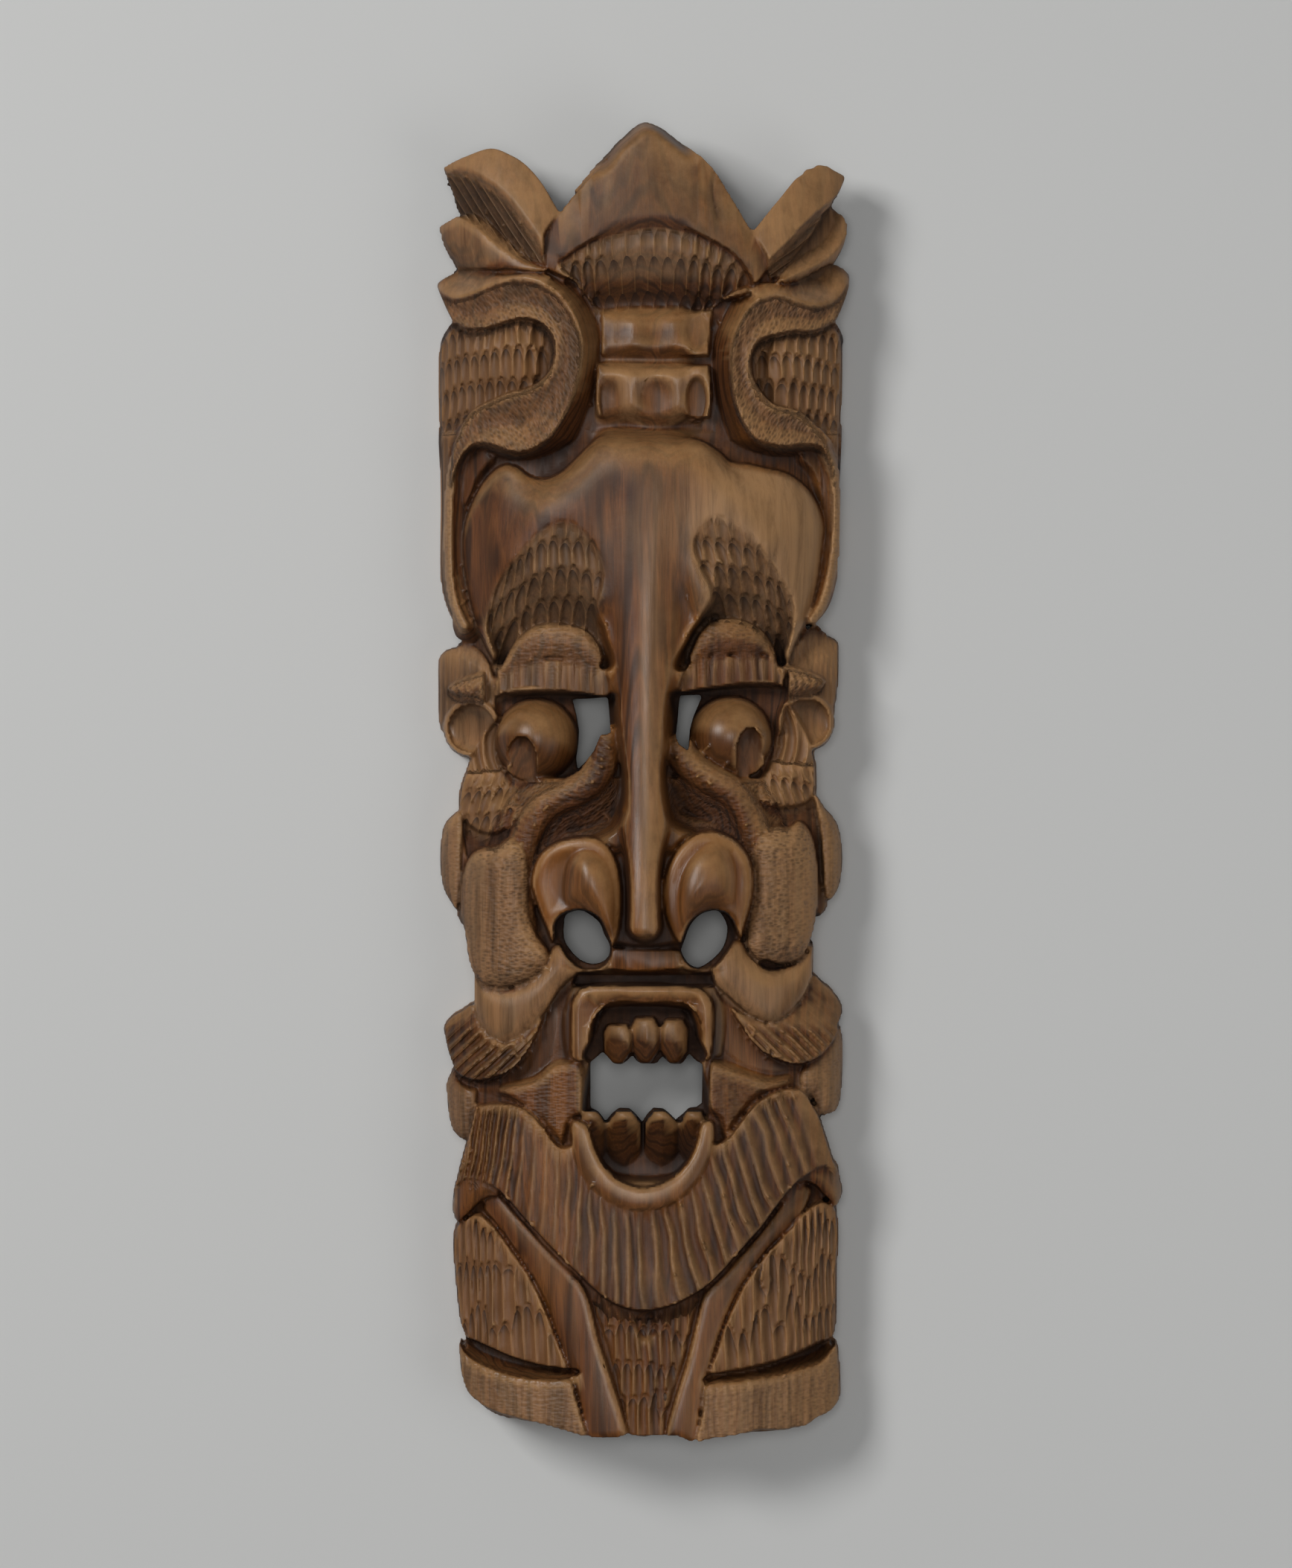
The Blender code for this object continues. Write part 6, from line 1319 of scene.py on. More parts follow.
@dataclass(frozen=True)
class Skin:
    """Turns the relief and the back into one closed mesh."""

    top: float = 124.0
    rounds: int = 24

    def settle(self, field: Grid) -> None:
        """Fill the cells whose corners meet only across a diagonal, so that no edge is pinched.

        Args:
            field: the sampled solid, negative inside; it is changed in place.
        """
        corners = [(i, j, k) for i in (0, 1) for j in (0, 1) for k in (0, 1)]
        bad = np.zeros(256, dtype=bool)
        for code in range(256):
            filled = {c for n, c in enumerate(corners) if code >> n & 1}
            for group in (filled, set(corners) - filled):
                reached = set(list(group)[:1])
                while more := {c for c in group - reached for f in reached
                               if sum(a != b for a, b in zip(c, f)) == 1}:
                    reached |= more
                bad[code] |= reached != group
            for axis in range(3):
                a, b = [n for n in range(3) if n != axis]
                for side in (0, 1):
                    face = {(c[a], c[b]): c in filled for c in corners if c[axis] == side}
                    bad[code] |= face[0, 0] == face[1, 1] != face[0, 1] == face[1, 0]
        for _ in range(self.rounds):
            inside = field < 0
            code = np.zeros(tuple(n - 1 for n in field.shape), dtype=np.uint8)
            for n, (i, j, k) in enumerate(corners):
                part = inside[i:i + code.shape[0], j:j + code.shape[1], k:k + code.shape[2]]
                code |= part.view(np.uint8) << n
            cells = np.argwhere(bad[code])
            if not len(cells):
                return
            for corner in corners:
                spot = tuple((cells + corner).T)
                field[spot] = np.minimum(field[spot], -0.02)

    def faces(self, field: Grid, axes: Sequence[Grid]) -> tuple[Grid, Grid]:
        """The surface where a sampled field crosses zero.

        Args:
            field: the sampled solid, negative inside.
            axes: the coordinates of its samples.

        Returns:
            The vertices, and the quads as rows of vertex numbers.
        """
        self.settle(field)
        shape = np.array(field.shape)
        stride = np.array([shape[1] * shape[2], shape[2], 1])
        ids, points, crossings = [], [], []
        for axis in range(3):
            lower = [slice(None)] * 3
            upper = [slice(None)] * 3
            lower[axis], upper[axis] = slice(0, -1), slice(1, None)
            a, b = field[tuple(lower)], field[tuple(upper)]
            edges = np.argwhere((a < 0) != (b < 0))
            fa, fb = a[tuple(edges.T)], b[tuple(edges.T)]
            spot = edges.astype(np.float32)
            spot[:, axis] += fa / (fa - fb)
            first, second = [n for n in range(3) if n != axis]
            ring = [edges @ stride - p * stride[first] - q * stride[second]
                    for p, q in ((1, 1), (0, 1), (0, 0), (1, 0))]
            ids += ring
            points += [spot] * 4
            crossings.append((ring, fa < 0 if axis == 1 else fa >= 0))
        used, inverse = np.unique(np.concatenate(ids), return_inverse=True)
        spots = np.concatenate(points)
        count = np.bincount(inverse)
        vertices = np.stack([np.bincount(inverse, spots[:, n]) / count for n in range(3)], axis=1)
        quads = []
        for ring, flip in crossings:
            quad = np.stack([np.searchsorted(used, cell) for cell in ring], axis=1)
            quad[flip] = quad[flip][:, ::-1]
            quads.append(quad)
        for n in range(3):
            vertices[:, n] = np.interp(vertices[:, n], np.arange(len(axes[n])), axes[n])
        return vertices, np.vstack(quads)

    def mesh(self, sheet: Relief, back: Grid) -> bpy.types.Mesh:
        """The mask's dense skin, in metres.

        Args:
            sheet: the carved face.
            back: the heights of the back.

        Returns:
            One closed mesh.
        """
        z = np.arange(-2 * sheet.step, self.top + 3 * sheet.step, sheet.step, dtype=np.float32)
        field = z[None, None, :] - sheet.h.T[:, :, None].astype(np.float32)
        np.maximum(field, back.T[:, :, None].astype(np.float32) - z, out=field)
        np.maximum(field, np.maximum(-sheet.plan, sheet.hole).T[:, :, None].astype(np.float32), out=field)
        vertices, quads = self.faces(field, (sheet.x[0], sheet.y[:, 0], z))
        low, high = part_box("mask")
        middle = (vertices[:, :2].min(0) + vertices[:, :2].max(0)) / 2
        vertices[:, :2] -= middle - (np.array(low[:2]) + np.array(high[:2])) / 2 / MM
        mesh = bpy.data.meshes.new("skin")
        mesh.vertices.add(len(vertices))
        mesh.vertices.foreach_set("co", (vertices * MM).ravel())
        mesh.loops.add(4 * len(quads))
        mesh.loops.foreach_set("vertex_index", quads.ravel())
        mesh.polygons.add(len(quads))
        mesh.polygons.foreach_set("loop_start", np.arange(0, 4 * len(quads), 4))
        mesh.update(calc_edges=True)
        mesh.validate()
        return mesh


@dataclass(frozen=True)
class Painter:
    """Reads the sheet's maps at a mesh's points and keeps them as attributes for the finish."""

    cut_grime_and_shade: float = 0.34
    deep_grime_and_shade: float = 0.85
    crest: float = 1.1

    def paint(self, mesh: bpy.types.Mesh, sheet: Relief) -> None:
        """Give each point of a mesh its share of pricking, polish, tone, grime with painted shade, and wear
        with painted highlight.

        Args:
            mesh: the mask's mesh, in metres.
            sheet: the carved face with its maps.
        """
        co = np.empty(3 * len(mesh.vertices), dtype=np.float32)
        mesh.vertices.foreach_get("co", co)
        co = co.reshape(-1, 3) / MM
        normal = np.empty(3 * len(mesh.vertices), dtype=np.float32)
        mesh.vertices.foreach_get("normal", normal)
        up = normal.reshape(-1, 3)[:, 2]
        small, wide = round(3 / sheet.step), round(7 / sheet.step)
        near = spread(sheet.h, small, np.mean)
        around = spread(spread(sheet.h, wide, np.max), wide, np.mean)
        values = {name: self.read(grid, sheet, co) for name, grid in (sheet.maps | sheet.strokes).items()}
        values["carved"] = values["carved"] * ramp(up + 0.1, 0.3)
        values["prick"] = values["prick"] * ramp(up - 0.15, 0.3)
        fine = self.read(near, sheet, co) - co[:, 2]
        deep = self.read(around, sheet, co) - co[:, 2]
        front = ramp(co[:, 2] - 2, 20)
        # grime that settles in hollows, together with painted shade: darker in cuts and far below the
        # surroundings, never near the floor
        settled_and_shaded = self.cut_grime_and_shade * np.clip(fine / 2.4, 0, 1)
        settled_and_shaded = settled_and_shaded + self.deep_grime_and_shade * np.clip((deep - 9) / 32, 0, 1)
        values["grime_and_shade"] = front * np.clip(settled_and_shaded, 0, 0.9)
        # wear and painted highlight: lighter on crests that face up, away from deep hollows
        values["wear_and_highlight"] = ramp(up, 0.4) * np.clip(-fine / self.crest, 0, 1) * (1 - np.clip(deep / 26, 0, 1))
        for name, value in values.items():
            attribute = mesh.attributes.new(name, "FLOAT", "POINT")
            attribute.data.foreach_set("value", np.ascontiguousarray(value, dtype=np.float32))

    def read(self, grid: Grid, sheet: Relief, co: Grid) -> Grid:
        """Read a sheet's map at some points, blended between its grid points.

        Args:
            grid: the map.
            sheet: the sheet that it lies on.
            co: the points, in millimetres.

        Returns:
            One value for each point.
        """
        u = np.clip((co[:, 0] - sheet.x[0, 0]) / sheet.step, 0, grid.shape[1] - 1.01)
        v = np.clip((co[:, 1] - sheet.y[0, 0]) / sheet.step, 0, grid.shape[0] - 1.01)
        i, j = u.astype(int), v.astype(int)
        a, b = u - i, v - j
        low = grid[j, i] * (1 - a) + grid[j, i + 1] * a
        high = grid[j + 1, i] * (1 - a) + grid[j + 1, i + 1] * a
        return low * (1 - b) + high * b


def linear(code: str) -> tuple[float, float, float, float]:
    """The linear colour of an sRGB hex code.

    Args:
        code: the code, such as #8c5622.

    Returns:
        Red, green, blue and full opacity.
    """
    parts = [int(code[i:i + 2], 16) / 255 for i in (1, 3, 5)]
    red, green, blue = (c / 12.92 if c <= 0.04045 else ((c + 0.055) / 1.055) ** 2.4 for c in parts)
    return red, green, blue, 1.0


def add(tree: bpy.types.NodeTree, kind: str, settings: dict[str, Any] | None = None,
        **inputs: Any) -> bpy.types.Node:
    """Add a node.

    Args:
        tree: the node tree that takes it.
        kind: the node's type.
        settings: its properties.
        inputs: by input name, with _ for a space, or by number as i0, i1 and so on: a value, or the
            output socket that feeds it.

    Returns:
        The node.
    """
    node = tree.nodes.new(kind)
    for key, value in (settings or {}).items():
        setattr(node, key, value)
    for key, value in inputs.items():
        numbered = key[0] == "i" and key[1:].isdigit()
        socket = node.inputs[int(key[1:])] if numbered else node.inputs[key.replace("_", " ")]
        if isinstance(value, bpy.types.NodeSocket):
            tree.links.new(value, socket)
        else:
            socket.default_value = value
    return node


def calc(tree: bpy.types.NodeTree, operation: str, *values: Any) -> Any:
    """The socket of one sum, whose values are numbers or sockets."""
    inputs = {f"i{n}": value for n, value in enumerate(values)}
    return add(tree, "ShaderNodeMath", {"operation": operation}, **inputs).outputs[0]


def span(tree: bpy.types.NodeTree, value: Any, low: float, high: float, start: float, end: float) -> Any:
    """The socket of a value whose range from low to high is laid from start to end."""
    return add(tree, "ShaderNodeMapRange", Value=value, i1=low, i2=high, i3=start, i4=end).outputs[0]


def noise(tree: bpy.types.NodeTree, place: Any, scale: float, detail: float, roughness: float = 0.5) -> Any:
    """The socket of a cloudy pattern with so many clouds to the metre."""
    node = add(tree, "ShaderNodeTexNoise", Vector=place, Scale=scale, Detail=detail, Roughness=roughness)
    return node.outputs[0]


def drawn_out(tree: bpy.types.NodeTree, place: Any, share: float) -> Any:
    """The socket of a place whose patterns are drawn out along the grain, to 1 / share of their length."""
    return add(tree, "ShaderNodeMapping", Vector=place, Scale=(1.0, share, 1.0)).outputs[0]


@dataclass(frozen=True)
class Pricking:
    """Close rows of small nicks, pressed into the skin wherever the maps call for them."""

    pitch: float = 6.0
    depth: float = 0.9
    stretch: float = 2.1

    def tree(self, material: bpy.types.Material) -> bpy.types.NodeTree:
        """The node tree that presses the nicks in.

        Args:
            material: the finish that the result wears.

        Returns:
            A tree with inputs for pitch, depth and stretch in metres.
        """
        tree = bpy.data.node_groups.new("Pricking", "GeometryNodeTree")
        tree.interface.new_socket("Geometry", in_out="INPUT", socket_type="NodeSocketGeometry")
        sizes = {"Pitch": self.pitch * MM, "Depth": self.depth * MM, "Stretch": self.stretch}
        for name, value in sizes.items():
            socket = tree.interface.new_socket(name, in_out="INPUT", socket_type="NodeSocketFloat")
            socket.default_value = value
        tree.interface.new_socket("Geometry", in_out="OUTPUT", socket_type="NodeSocketGeometry")
        start = tree.nodes.new("NodeGroupInput")
        place = add(tree, "GeometryNodeInputPosition")
        squeeze = add(tree, "ShaderNodeCombineXYZ", X=1.0, Z=1.0)
        tree.links.new(start.outputs["Stretch"], squeeze.inputs["Y"])
        lean = add(tree, "GeometryNodeInputNamedAttribute", {"data_type": "FLOAT"}, Name="lean")
        turned = add(tree, "ShaderNodeVectorRotate", {"rotation_type": "Z_AXIS"}, Vector=place.outputs[0],
                     Angle=lean.outputs["Attribute"])
        spot = add(tree, "ShaderNodeVectorMath", {"operation": "MULTIPLY"}, i0=turned.outputs[0],
                   i1=squeeze.outputs[0])
        rate = calc(tree, "DIVIDE", 1.0, start.outputs["Pitch"])
        cells = add(tree, "ShaderNodeTexVoronoi", {"feature": "SMOOTH_F1"}, Vector=spot.outputs[0],
                    Scale=rate, Smoothness=0.35, Randomness=0.8)
        share = add(tree, "GeometryNodeInputNamedAttribute", {"data_type": "FLOAT"}, Name="prick")
        lift = calc(tree, "SUBTRACT", cells.outputs["Distance"], 0.5)
        size = calc(tree, "MULTIPLY", lift, start.outputs["Depth"])
        masked = calc(tree, "MULTIPLY", size, share.outputs["Attribute"])
        normal = add(tree, "GeometryNodeInputNormal").outputs[0]
        offset = add(tree, "ShaderNodeVectorMath", {"operation": "SCALE"}, i0=normal, Scale=masked)
        moved = add(tree, "GeometryNodeSetPosition", Geometry=start.outputs["Geometry"],
                    Offset=offset.outputs[0])
        whole = add(tree, "GeometryNodeRealizeInstances", Geometry=moved.outputs[0])
        dressed = add(tree, "GeometryNodeSetMaterial", Geometry=whole.outputs[0], Material=material)
        end = tree.nodes.new("NodeGroupOutput")
        tree.links.new(dressed.outputs[0], end.inputs[0])
        return tree

    def press(self, piece: bpy.types.Object, material: bpy.types.Material, faces: int) -> bpy.types.Mesh:
        """Press the nicks into a piece and thin the result.

        Args:
            piece: the dense skin.
            material: its finish.
            faces: how many triangles to keep.

        Returns:
            The plain mesh.
        """
        nicks = piece.modifiers.new("Pricking", "NODES")
        nicks.node_group = self.tree(material)
        for item in nicks.node_group.interface.items_tree:
            if item.in_out == "INPUT" and item.socket_type == "NodeSocketFloat":
                nicks[item.identifier] = item.default_value
        thin = piece.modifiers.new("Thin", "DECIMATE")
        thin.ratio = min(faces / (2 * len(piece.data.polygons)), 1.0)
        thin.use_collapse_triangulate = True
        graph = bpy.context.evaluated_depsgraph_get()
        mesh = bpy.data.meshes.new_from_object(piece.evaluated_get(graph))
        piece.modifiers.clear()
        return mesh


@dataclass(frozen=True)
class WaxedHardwood:
    """Dense dark tropical hardwood, cut with gouges, stained by grime and painted shade in the cuts, and
    waxed.

    Heartwood gives brown and golden growth rings that show as stripes on the sides and as rings on
    every dome; wax gives the smooth parts a soft sheen, and the cuts stay duller. Up-facing crests and
    the ridges between cuts get painted highlights along with their wear.
    """

    dark: str = "#3c2412"
    shadow: str = "#40230f"
    brown: str = "#673b1d"
    tawny: str = "#754623"
    golden: str = "#8c5622"
    pale: str = "#ad865f"
    # the dark that negative tone mixes in: darker wood, and the painted shade of walls, sunk ground and
    # undercuts
    olive: str = "#2e1c10"
    # grime colour, also used for painted shade in cut hollows, under arches and in nick pits
    grime_and_shade: str = "#1e1009"
    # colour of wear, also used for painted highlights on crests and ridges
    worn_and_lit: str = "#b08556"
    ring: float = 5.6
    pore: float = 0.9
    prick_pitch: float = 4.6
    rough_cut: float = 0.62
    rough_waxed: float = 0.33
    rough_grime: float = 0.3
    smudge: float = 0.09
    specular: float = 0.37

    def material(self) -> bpy.types.Material:
        """The finish as a node material.

        Returns:
            The material.
        """
        material = bpy.data.materials.new("waxed hardwood")
        material.use_nodes = True
        tree = material.node_tree
        tree.nodes.clear()
        place = add(tree, "ShaderNodeTexCoord").outputs["Object"]
        fields = {name: add(tree, "ShaderNodeAttribute", {"attribute_name": name}).outputs["Fac"]
                  for name in FIELDS}
        fields |= self.strokes(tree, fields) | self.nicks(tree, place, fields)
        colour = self.figure(tree, place)
        colour = self.stain_and_shade(tree, place, colour, fields)
        rough = span(tree, fields["polish"], 0.0, 1.0, self.rough_cut, self.rough_waxed)
        uneven = span(tree, noise(tree, place, 45.0, 4.0), 0.0, 1.0, -self.smudge, self.smudge)
        rough = calc(tree, "ADD", rough, uneven)
        dull = calc(tree, "MULTIPLY_ADD", fields["grime_and_shade"], self.rough_grime, rough)
        bump = self.relief(tree, place, fields)
        shader = add(tree, "ShaderNodeBsdfPrincipled", Base_Color=colour, Roughness=dull, Normal=bump,
                     IOR=1.45, Metallic=0.0, Specular_IOR_Level=self.specular)
        out = add(tree, "ShaderNodeOutputMaterial")
        tree.links.new(shader.outputs[0], out.inputs["Surface"])
        return material

    def strokes(self, tree: bpy.types.NodeTree, fields: dict[str, Any]) -> dict[str, Any]:
        """The crisp shape of the gouge cuts, from their layout over the piece.

        Args:
            tree: the material's tree.
            fields: the attribute sockets.

        Returns:
            Sockets for the ridges between cuts, the shade under each arch, and the depth in a cut.
        """
        def side(row: Any) -> Any:
            """Place across the cut in one row, with every other row shifted by half a cut.

            Args:
                row: the socket that counts the rows.

            Returns:
                The socket, 0 in the cut's middle and 1 on its ridges.
            """
            shift = calc(tree, "MULTIPLY", calc(tree, "FLOORED_MODULO", row, 2.0), 0.5)
            part = calc(tree, "FRACT", calc(tree, "ADD", fields["across"], shift))
            return calc(tree, "ABSOLUTE", calc(tree, "MULTIPLY_ADD", part, 2.0, -1.0))

        def reach(row: Any, away: Any) -> Any:
            """Where the round end of a row's cut lies, counted in rows."""
            round_end = calc(tree, "MULTIPLY_ADD", calc(tree, "MULTIPLY", away, away), -ARCH, ARCH)
            return calc(tree, "SUBTRACT", row, round_end)

        following = calc(tree, "ADD", calc(tree, "FLOOR", fields["down"]), 1.0)
        edge = reach(following, side(following))
        past = calc(tree, "GREATER_THAN", fields["down"], edge)
        row = calc(tree, "ADD", calc(tree, "SUBTRACT", following, 1.0), past)
        away = side(row)
        below = calc(tree, "SUBTRACT", fields["down"], reach(row, away))
        live = calc(tree, "MULTIPLY", calc(tree, "GREATER_THAN", row, -0.5), fields["carved"])
        hollow = calc(tree, "MULTIPLY_ADD", calc(tree, "MULTIPLY", away, away), -1.0, 1.0)
        fall = span(tree, below, 0.0, 1.0, 1.35, 0.65)
        smooth = {"interpolation_type": "SMOOTHSTEP"}
        ridge = add(tree, "ShaderNodeMapRange", smooth, Value=away, i1=0.86, i2=1.0)
        arch = add(tree, "ShaderNodeMapRange", smooth, Value=below, i1=0.0, i2=0.35, i3=1.0, i4=0.0)
        return {"ridge": calc(tree, "MULTIPLY", ridge.outputs[0], live),
                "arch": calc(tree, "MULTIPLY", arch.outputs[0], calc(tree, "MULTIPLY", hollow, live)),
                "hollow": calc(tree, "MULTIPLY", calc(tree, "MULTIPLY", hollow, fall), live)}

    def nicks(self, tree: bpy.types.NodeTree, place: Any, fields: dict[str, Any]) -> dict[str, Any]:
        """The small nicks of the pricked texture.

        Args:
            tree: the material's tree.
            place: the socket with the place in metres.
            fields: the attribute sockets.

        Returns:
            Sockets for the height of the ridges between nicks and for the painted shade and grime in the
            nicks.
        """
        turned = add(tree, "ShaderNodeVectorRotate", {"rotation_type": "Z_AXIS"}, Vector=place,
                     Angle=fields["lean"])
        squeezed = drawn_out(tree, turned.outputs[0], 2.3)
        cells = add(tree, "ShaderNodeTexVoronoi", {"feature": "SMOOTH_F1"}, Vector=squeezed,
                    Scale=1 / (self.prick_pitch * MM), Smoothness=0.3)
        away = cells.outputs["Distance"]
        pit = span(tree, away, 0.15, 0.5, 0.5, 0.0)
        return {"rise": calc(tree, "MULTIPLY", away, fields["prick"]),
                "pit": calc(tree, "MULTIPLY", pit, fields["prick"])}

    def tint(self, tree: bpy.types.NodeTree, share: Any, colour: Any, code: str) -> Any:
        """Lay a tint over a colour.

        Args:
            tree: the material's tree.
            share: the socket with how much of the tint.
            colour: the colour's socket.
            code: the tint's hex code.

        Returns:
            The blended colour's socket.
        """
        node = add(tree, "ShaderNodeMix", {"data_type": "RGBA"}, i0=share, i6=colour, i7=linear(code))
        return node.outputs[2]

    def figure(self, tree: bpy.types.NodeTree, place: Any) -> Any:
        """The wood's own figure: growth rings around the log's heart, drawn out along its length.

        Args:
            tree: the material's tree.
            place: the socket with the place in metres.

        Returns:
            The colour's socket.
        """
        drawn = drawn_out(tree, place, 0.10)
        swirl = add(tree, "ShaderNodeTexNoise", Vector=drawn, Scale=16.0, Detail=3.0, Roughness=0.55)
        shift = add(tree, "ShaderNodeVectorMath", {"operation": "SUBTRACT"}, i0=swirl.outputs["Color"],
                    i1=(0.5, 0.5, 0.5))
        bend = add(tree, "ShaderNodeVectorMath", {"operation": "SCALE"}, i0=shift.outputs[0], Scale=0.05)
        height = add(tree, "ShaderNodeSeparateXYZ", Vector=place)
        fork = add(tree, "ShaderNodeCombineXYZ", Z=span(tree, height.outputs["Y"], 0.34, 0.46, 0.0, 0.038))
        bent = drawn
        for push in (bend, fork):
            node = add(tree, "ShaderNodeVectorMath", {"operation": "ADD"}, i0=bent, i1=push.outputs[0])
            bent = node.outputs[0]
        heart = add(tree, "ShaderNodeMapping", Vector=bent, Location=(0.012, 0.0, 0.03),
                    Scale=(1.0, 0.6, 1.0))
        rings = add(tree, "ShaderNodeTexWave",
                    {"wave_type": "RINGS", "rings_direction": "Y", "wave_profile": "SIN"},
                    Vector=heart.outputs[0], Scale=math.pi / 10 / (self.ring * MM), Distortion=2.0,
                    Detail=3.0, Detail_Scale=2.0, Detail_Roughness=0.7)
        layers = add(tree, "ShaderNodeValToRGB", Fac=rings.outputs["Color"])
        stops = layers.color_ramp.elements
        stops[0].color = linear(self.brown)
        stops[1].position = 1.0
        stops[1].color = linear(self.shadow)
        stops.new(0.42).color = linear(self.tawny)
        glow = span(tree, noise(tree, drawn, 28.0, 2.0), 0.48, 0.72, 0.0, 0.75)
        colour = self.tint(tree, glow, layers.outputs[0], self.golden)
        pores = noise(tree, drawn_out(tree, place, 0.035), 1 / (self.pore * MM), 2.0)
        colour = self.tint(tree, span(tree, pores, 0.52, 0.70, 0.0, 0.55), colour, self.dark)
        cloud = noise(tree, drawn, 11.0, 3.0, 0.6)
        return self.tint(tree, span(tree, cloud, 0.50, 0.68, 0.0, 0.5), colour, self.dark)

    def stain_and_shade(self, tree: bpy.types.NodeTree, place: Any, colour: Any, fields: dict[str, Any]) -> Any:
        """Lay region tones, painted shade, wear with painted highlights, and grime over the figure.

        Args:
            tree: the material's tree.
            place: the socket with the place in metres.
            colour: the figure's socket.
            fields: the attribute sockets.

        Returns:
            The final colour's socket.
        """
        # tone: above 0 mixes towards pale, below 0 towards olive, which also paints shade on walls, sunk
        # ground and undercuts
        colour = self.tint(tree, span(tree, fields["tone"], 0.0, 1.0, 0.0, 0.78), colour, self.pale)
        colour = self.tint(tree, span(tree, fields["tone"], 0.0, -1.0, 0.0, 0.9), colour, self.olive)
        fibres = add(tree, "ShaderNodeTexNoise", Vector=drawn_out(tree, place, 0.06), Scale=140.0,
                     Detail=5.0, Roughness=0.7, Distortion=0.4)
        colour = self.tint(tree, span(tree, fibres.outputs[0], 0.42, 0.66, 0.0, 0.62), colour, self.dark)
        colour = self.tint(tree, fields["gold"], colour, self.golden)
        # wear and painted highlight on up-facing crests
        rubbed_and_lit = calc(tree, "MULTIPLY", fields["wear_and_highlight"], noise(tree, place, 60.0, 5.0, 0.7))
        colour = self.tint(tree, rubbed_and_lit, colour, self.worn_and_lit)
        # painted highlight on the ridges between cuts, painted shade under each arch and in each cut's
        # hollow, and painted shade with grime in the nicks' pits
        for name, strength, code in (("ridge", 0.24, self.worn_and_lit), ("arch", 0.60, self.grime_and_shade),
                                     ("hollow", 0.30, self.grime_and_shade), ("pit", 0.85, self.grime_and_shade)):
            colour = self.tint(tree, calc(tree, "MULTIPLY", fields[name], strength), colour, code)
        # grime and painted shade, darker the deeper a spot lies
        return self.tint(tree, fields["grime_and_shade"], colour, self.grime_and_shade)

    def relief(self, tree: bpy.types.NodeTree, place: Any, fields: dict[str, Any]) -> Any:
        """Fine relief that is too small for the mesh: nicks, cuts, pores and scraper marks.

        Args:
            tree: the material's tree.
            place: the socket with the place in metres.
            fields: the attribute sockets.

        Returns:
            The normal's socket.
        """
        cut = calc(tree, "MULTIPLY", fields["hollow"], -1.0)
        pores = noise(tree, drawn_out(tree, place, 0.05), 1 / (self.pore * MM), 3.0)
        rough = span(tree, fields["polish"], 0.0, 1.0, 1.0, 0.12)
        marks = calc(tree, "MULTIPLY", noise(tree, place, 140.0, 3.0), rough)
        bump = add(tree, "ShaderNodeBump", Height=fields["rise"], Strength=0.9, Distance=1.1 * MM)
        for height, strength, distance in ((cut, 1.0, 1.0), (pores, 0.5, 0.12), (marks, 0.8, 0.5)):
            bump = add(tree, "ShaderNodeBump", Height=height, Strength=strength, Distance=distance * MM,
                       Normal=bump.outputs[0])
        return bump.outputs[0]


@dataclass(frozen=True)
class Mask:
    """The whole mask: the order in which its parts are cut, and the piece that they make."""

    step: float = 1.25
    faces: int = 196_000

    def carve(self) -> Relief:
        """Cut every part; later ones are cut into or laid over earlier ones.

        Returns:
            The carved relief.
        """
        sheet = Relief(self.step)
        crown, eyes, nose, shoulders = Crown(), Eyes(), Nose(), Shoulders()
        for cut in (Ground().carve, crown.leaves, crown.plate, Neck().carve, Scrolls().carve,
                    Forehead().carve, Ears().carve, eyes.crescents, eyes.balls, Cheeks().carve, nose.ridge,
                    shoulders.straps, shoulders.panels, Beard().carve, Jaw().carve, nose.nostrils,
                    Mouth().carve):
            cut(sheet)
            log.info("cut %s", cut.__qualname__)
        sheet.close_pits()
        return sheet

    def build(self) -> bpy.types.Object:
        """Make the mask's one piece and dress it.

        Returns:
            The piece, in metres.
        """
        sheet = self.carve()
        finish = WaxedHardwood().material()
        dense = bpy.data.objects.new("dense", Skin().mesh(sheet, Back().heights(sheet)))
        bpy.context.collection.objects.link(dense)
        Painter().paint(dense.data, sheet)
        mesh = Pricking().press(dense, finish, self.faces)
        bpy.data.objects.remove(dense)
        for name in FIELDS:
            mesh.attributes.remove(mesh.attributes[name])
        Painter().paint(mesh, sheet)
        mesh.name = "carved_mask"
        mesh.shade_smooth()
        piece = bpy.data.objects.new("carved_mask", mesh)
        bpy.context.collection.objects.link(piece)
        log.info("carved_mask: %d triangles", len(mesh.polygons))
        return piece


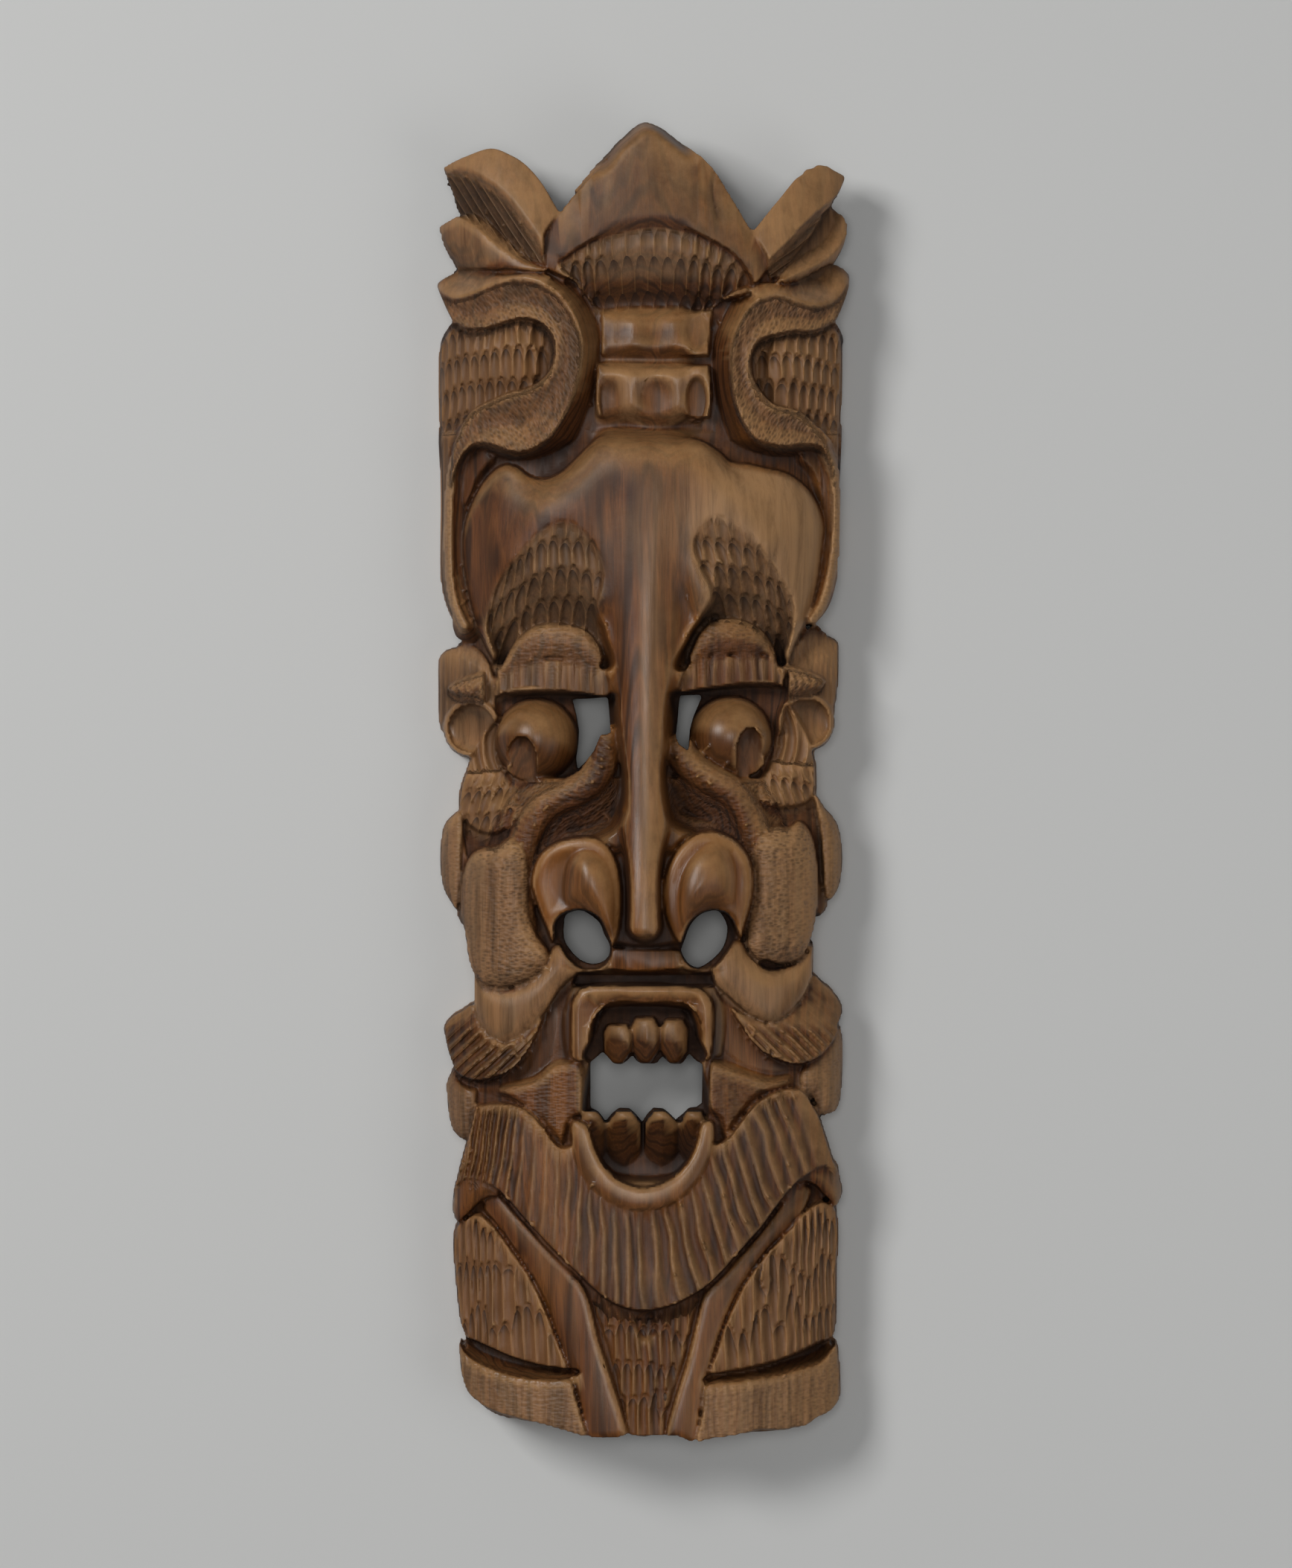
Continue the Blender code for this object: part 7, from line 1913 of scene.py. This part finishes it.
@dataclass(frozen=True)
class Studio:
    """A plain pale floor, soft lights and a camera straight above."""

    view_height: float = 1.0535
    distance: float = 6.0
    look_height: float = 0.05
    look_x: float = 0.0019
    look_y: float = -0.0015
    floor_half: float = 4.0
    floor_colour: str = "#d2d2d0"
    floor_roughness: float = 0.85
    sky_colour: str = "#e8ebef"
    sky_strength: float = 0.13
    lamps: tuple[tuple[str, Sequence[float], float, float], ...] = (
        ("key", (-2.3, 1.5, 3.4), 1.3, 92),
        ("fill", (1.8, -0.8, 2.4), 1.8, 10),
        ("overhead", (-0.15, 0.15, 6.6), 1.4, 84))

    def floor(self) -> bpy.types.Object:
        """The floor that the mask lies on.

        Returns:
            The floor.
        """
        mesh = bpy.data.meshes.new("floor")
        half = self.floor_half
        corners = [(-half, -half, 0), (half, -half, 0), (half, half, 0), (-half, half, 0)]
        mesh.from_pydata(corners, [], [(0, 1, 2, 3)])
        material = bpy.data.materials.new("pale painted floor")
        material.use_nodes = True
        shader = material.node_tree.nodes["Principled BSDF"]
        shader.inputs["Base Color"].default_value = linear(self.floor_colour)
        shader.inputs["Roughness"].default_value = self.floor_roughness
        mesh.materials.append(material)
        floor = bpy.data.objects.new("floor", mesh)
        bpy.context.collection.objects.link(floor)
        return floor

    def light(self, name: str, place: Sequence[float], size: float, power: float) -> None:
        """Add one soft light that faces the mask.

        Args:
            name: the light's name.
            place: where it hangs, in metres.
            size: its width.
            power: in watts.
        """
        data = bpy.data.lights.new(name, "AREA")
        data.size = size
        data.energy = power
        lamp = bpy.data.objects.new(name, data)
        lamp.location = place
        x, y, z = place
        lamp.rotation_euler = (math.atan2(math.hypot(x, y), z), 0, math.atan2(x, -y))
        bpy.context.collection.objects.link(lamp)

    def set_up(self) -> bpy.types.Object:
        """Light the mask, place the camera and lay the floor.

        Returns:
            The floor.
        """
        world = bpy.data.worlds.new("studio")
        world.use_nodes = True
        sky = world.node_tree.nodes["Background"]
        sky.inputs["Color"].default_value = linear(self.sky_colour)
        sky.inputs["Strength"].default_value = self.sky_strength
        bpy.context.scene.world = world
        for name, place, size, power in self.lamps:
            self.light(name, place, size, power)
        data = bpy.data.cameras.new("camera")
        data.sensor_fit = "VERTICAL"
        data.angle_y = 2 * math.atan(self.view_height / 2 / self.distance)
        camera = bpy.data.objects.new("camera", data)
        camera.location = (self.look_x, self.look_y, self.distance + self.look_height)
        bpy.context.collection.objects.link(camera)
        bpy.context.scene.camera = camera
        bpy.context.scene.view_settings.view_transform = "Standard"
        return self.floor()


def main() -> None:
    """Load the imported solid, carve the mask around it and set up the studio."""
    logging.basicConfig(level=logging.INFO, format="%(message)s")
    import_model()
    mask = Mask().build()
    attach(mask, "root")
    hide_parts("mask")
    Studio().set_up()


if __name__ == "__main__":
    main()
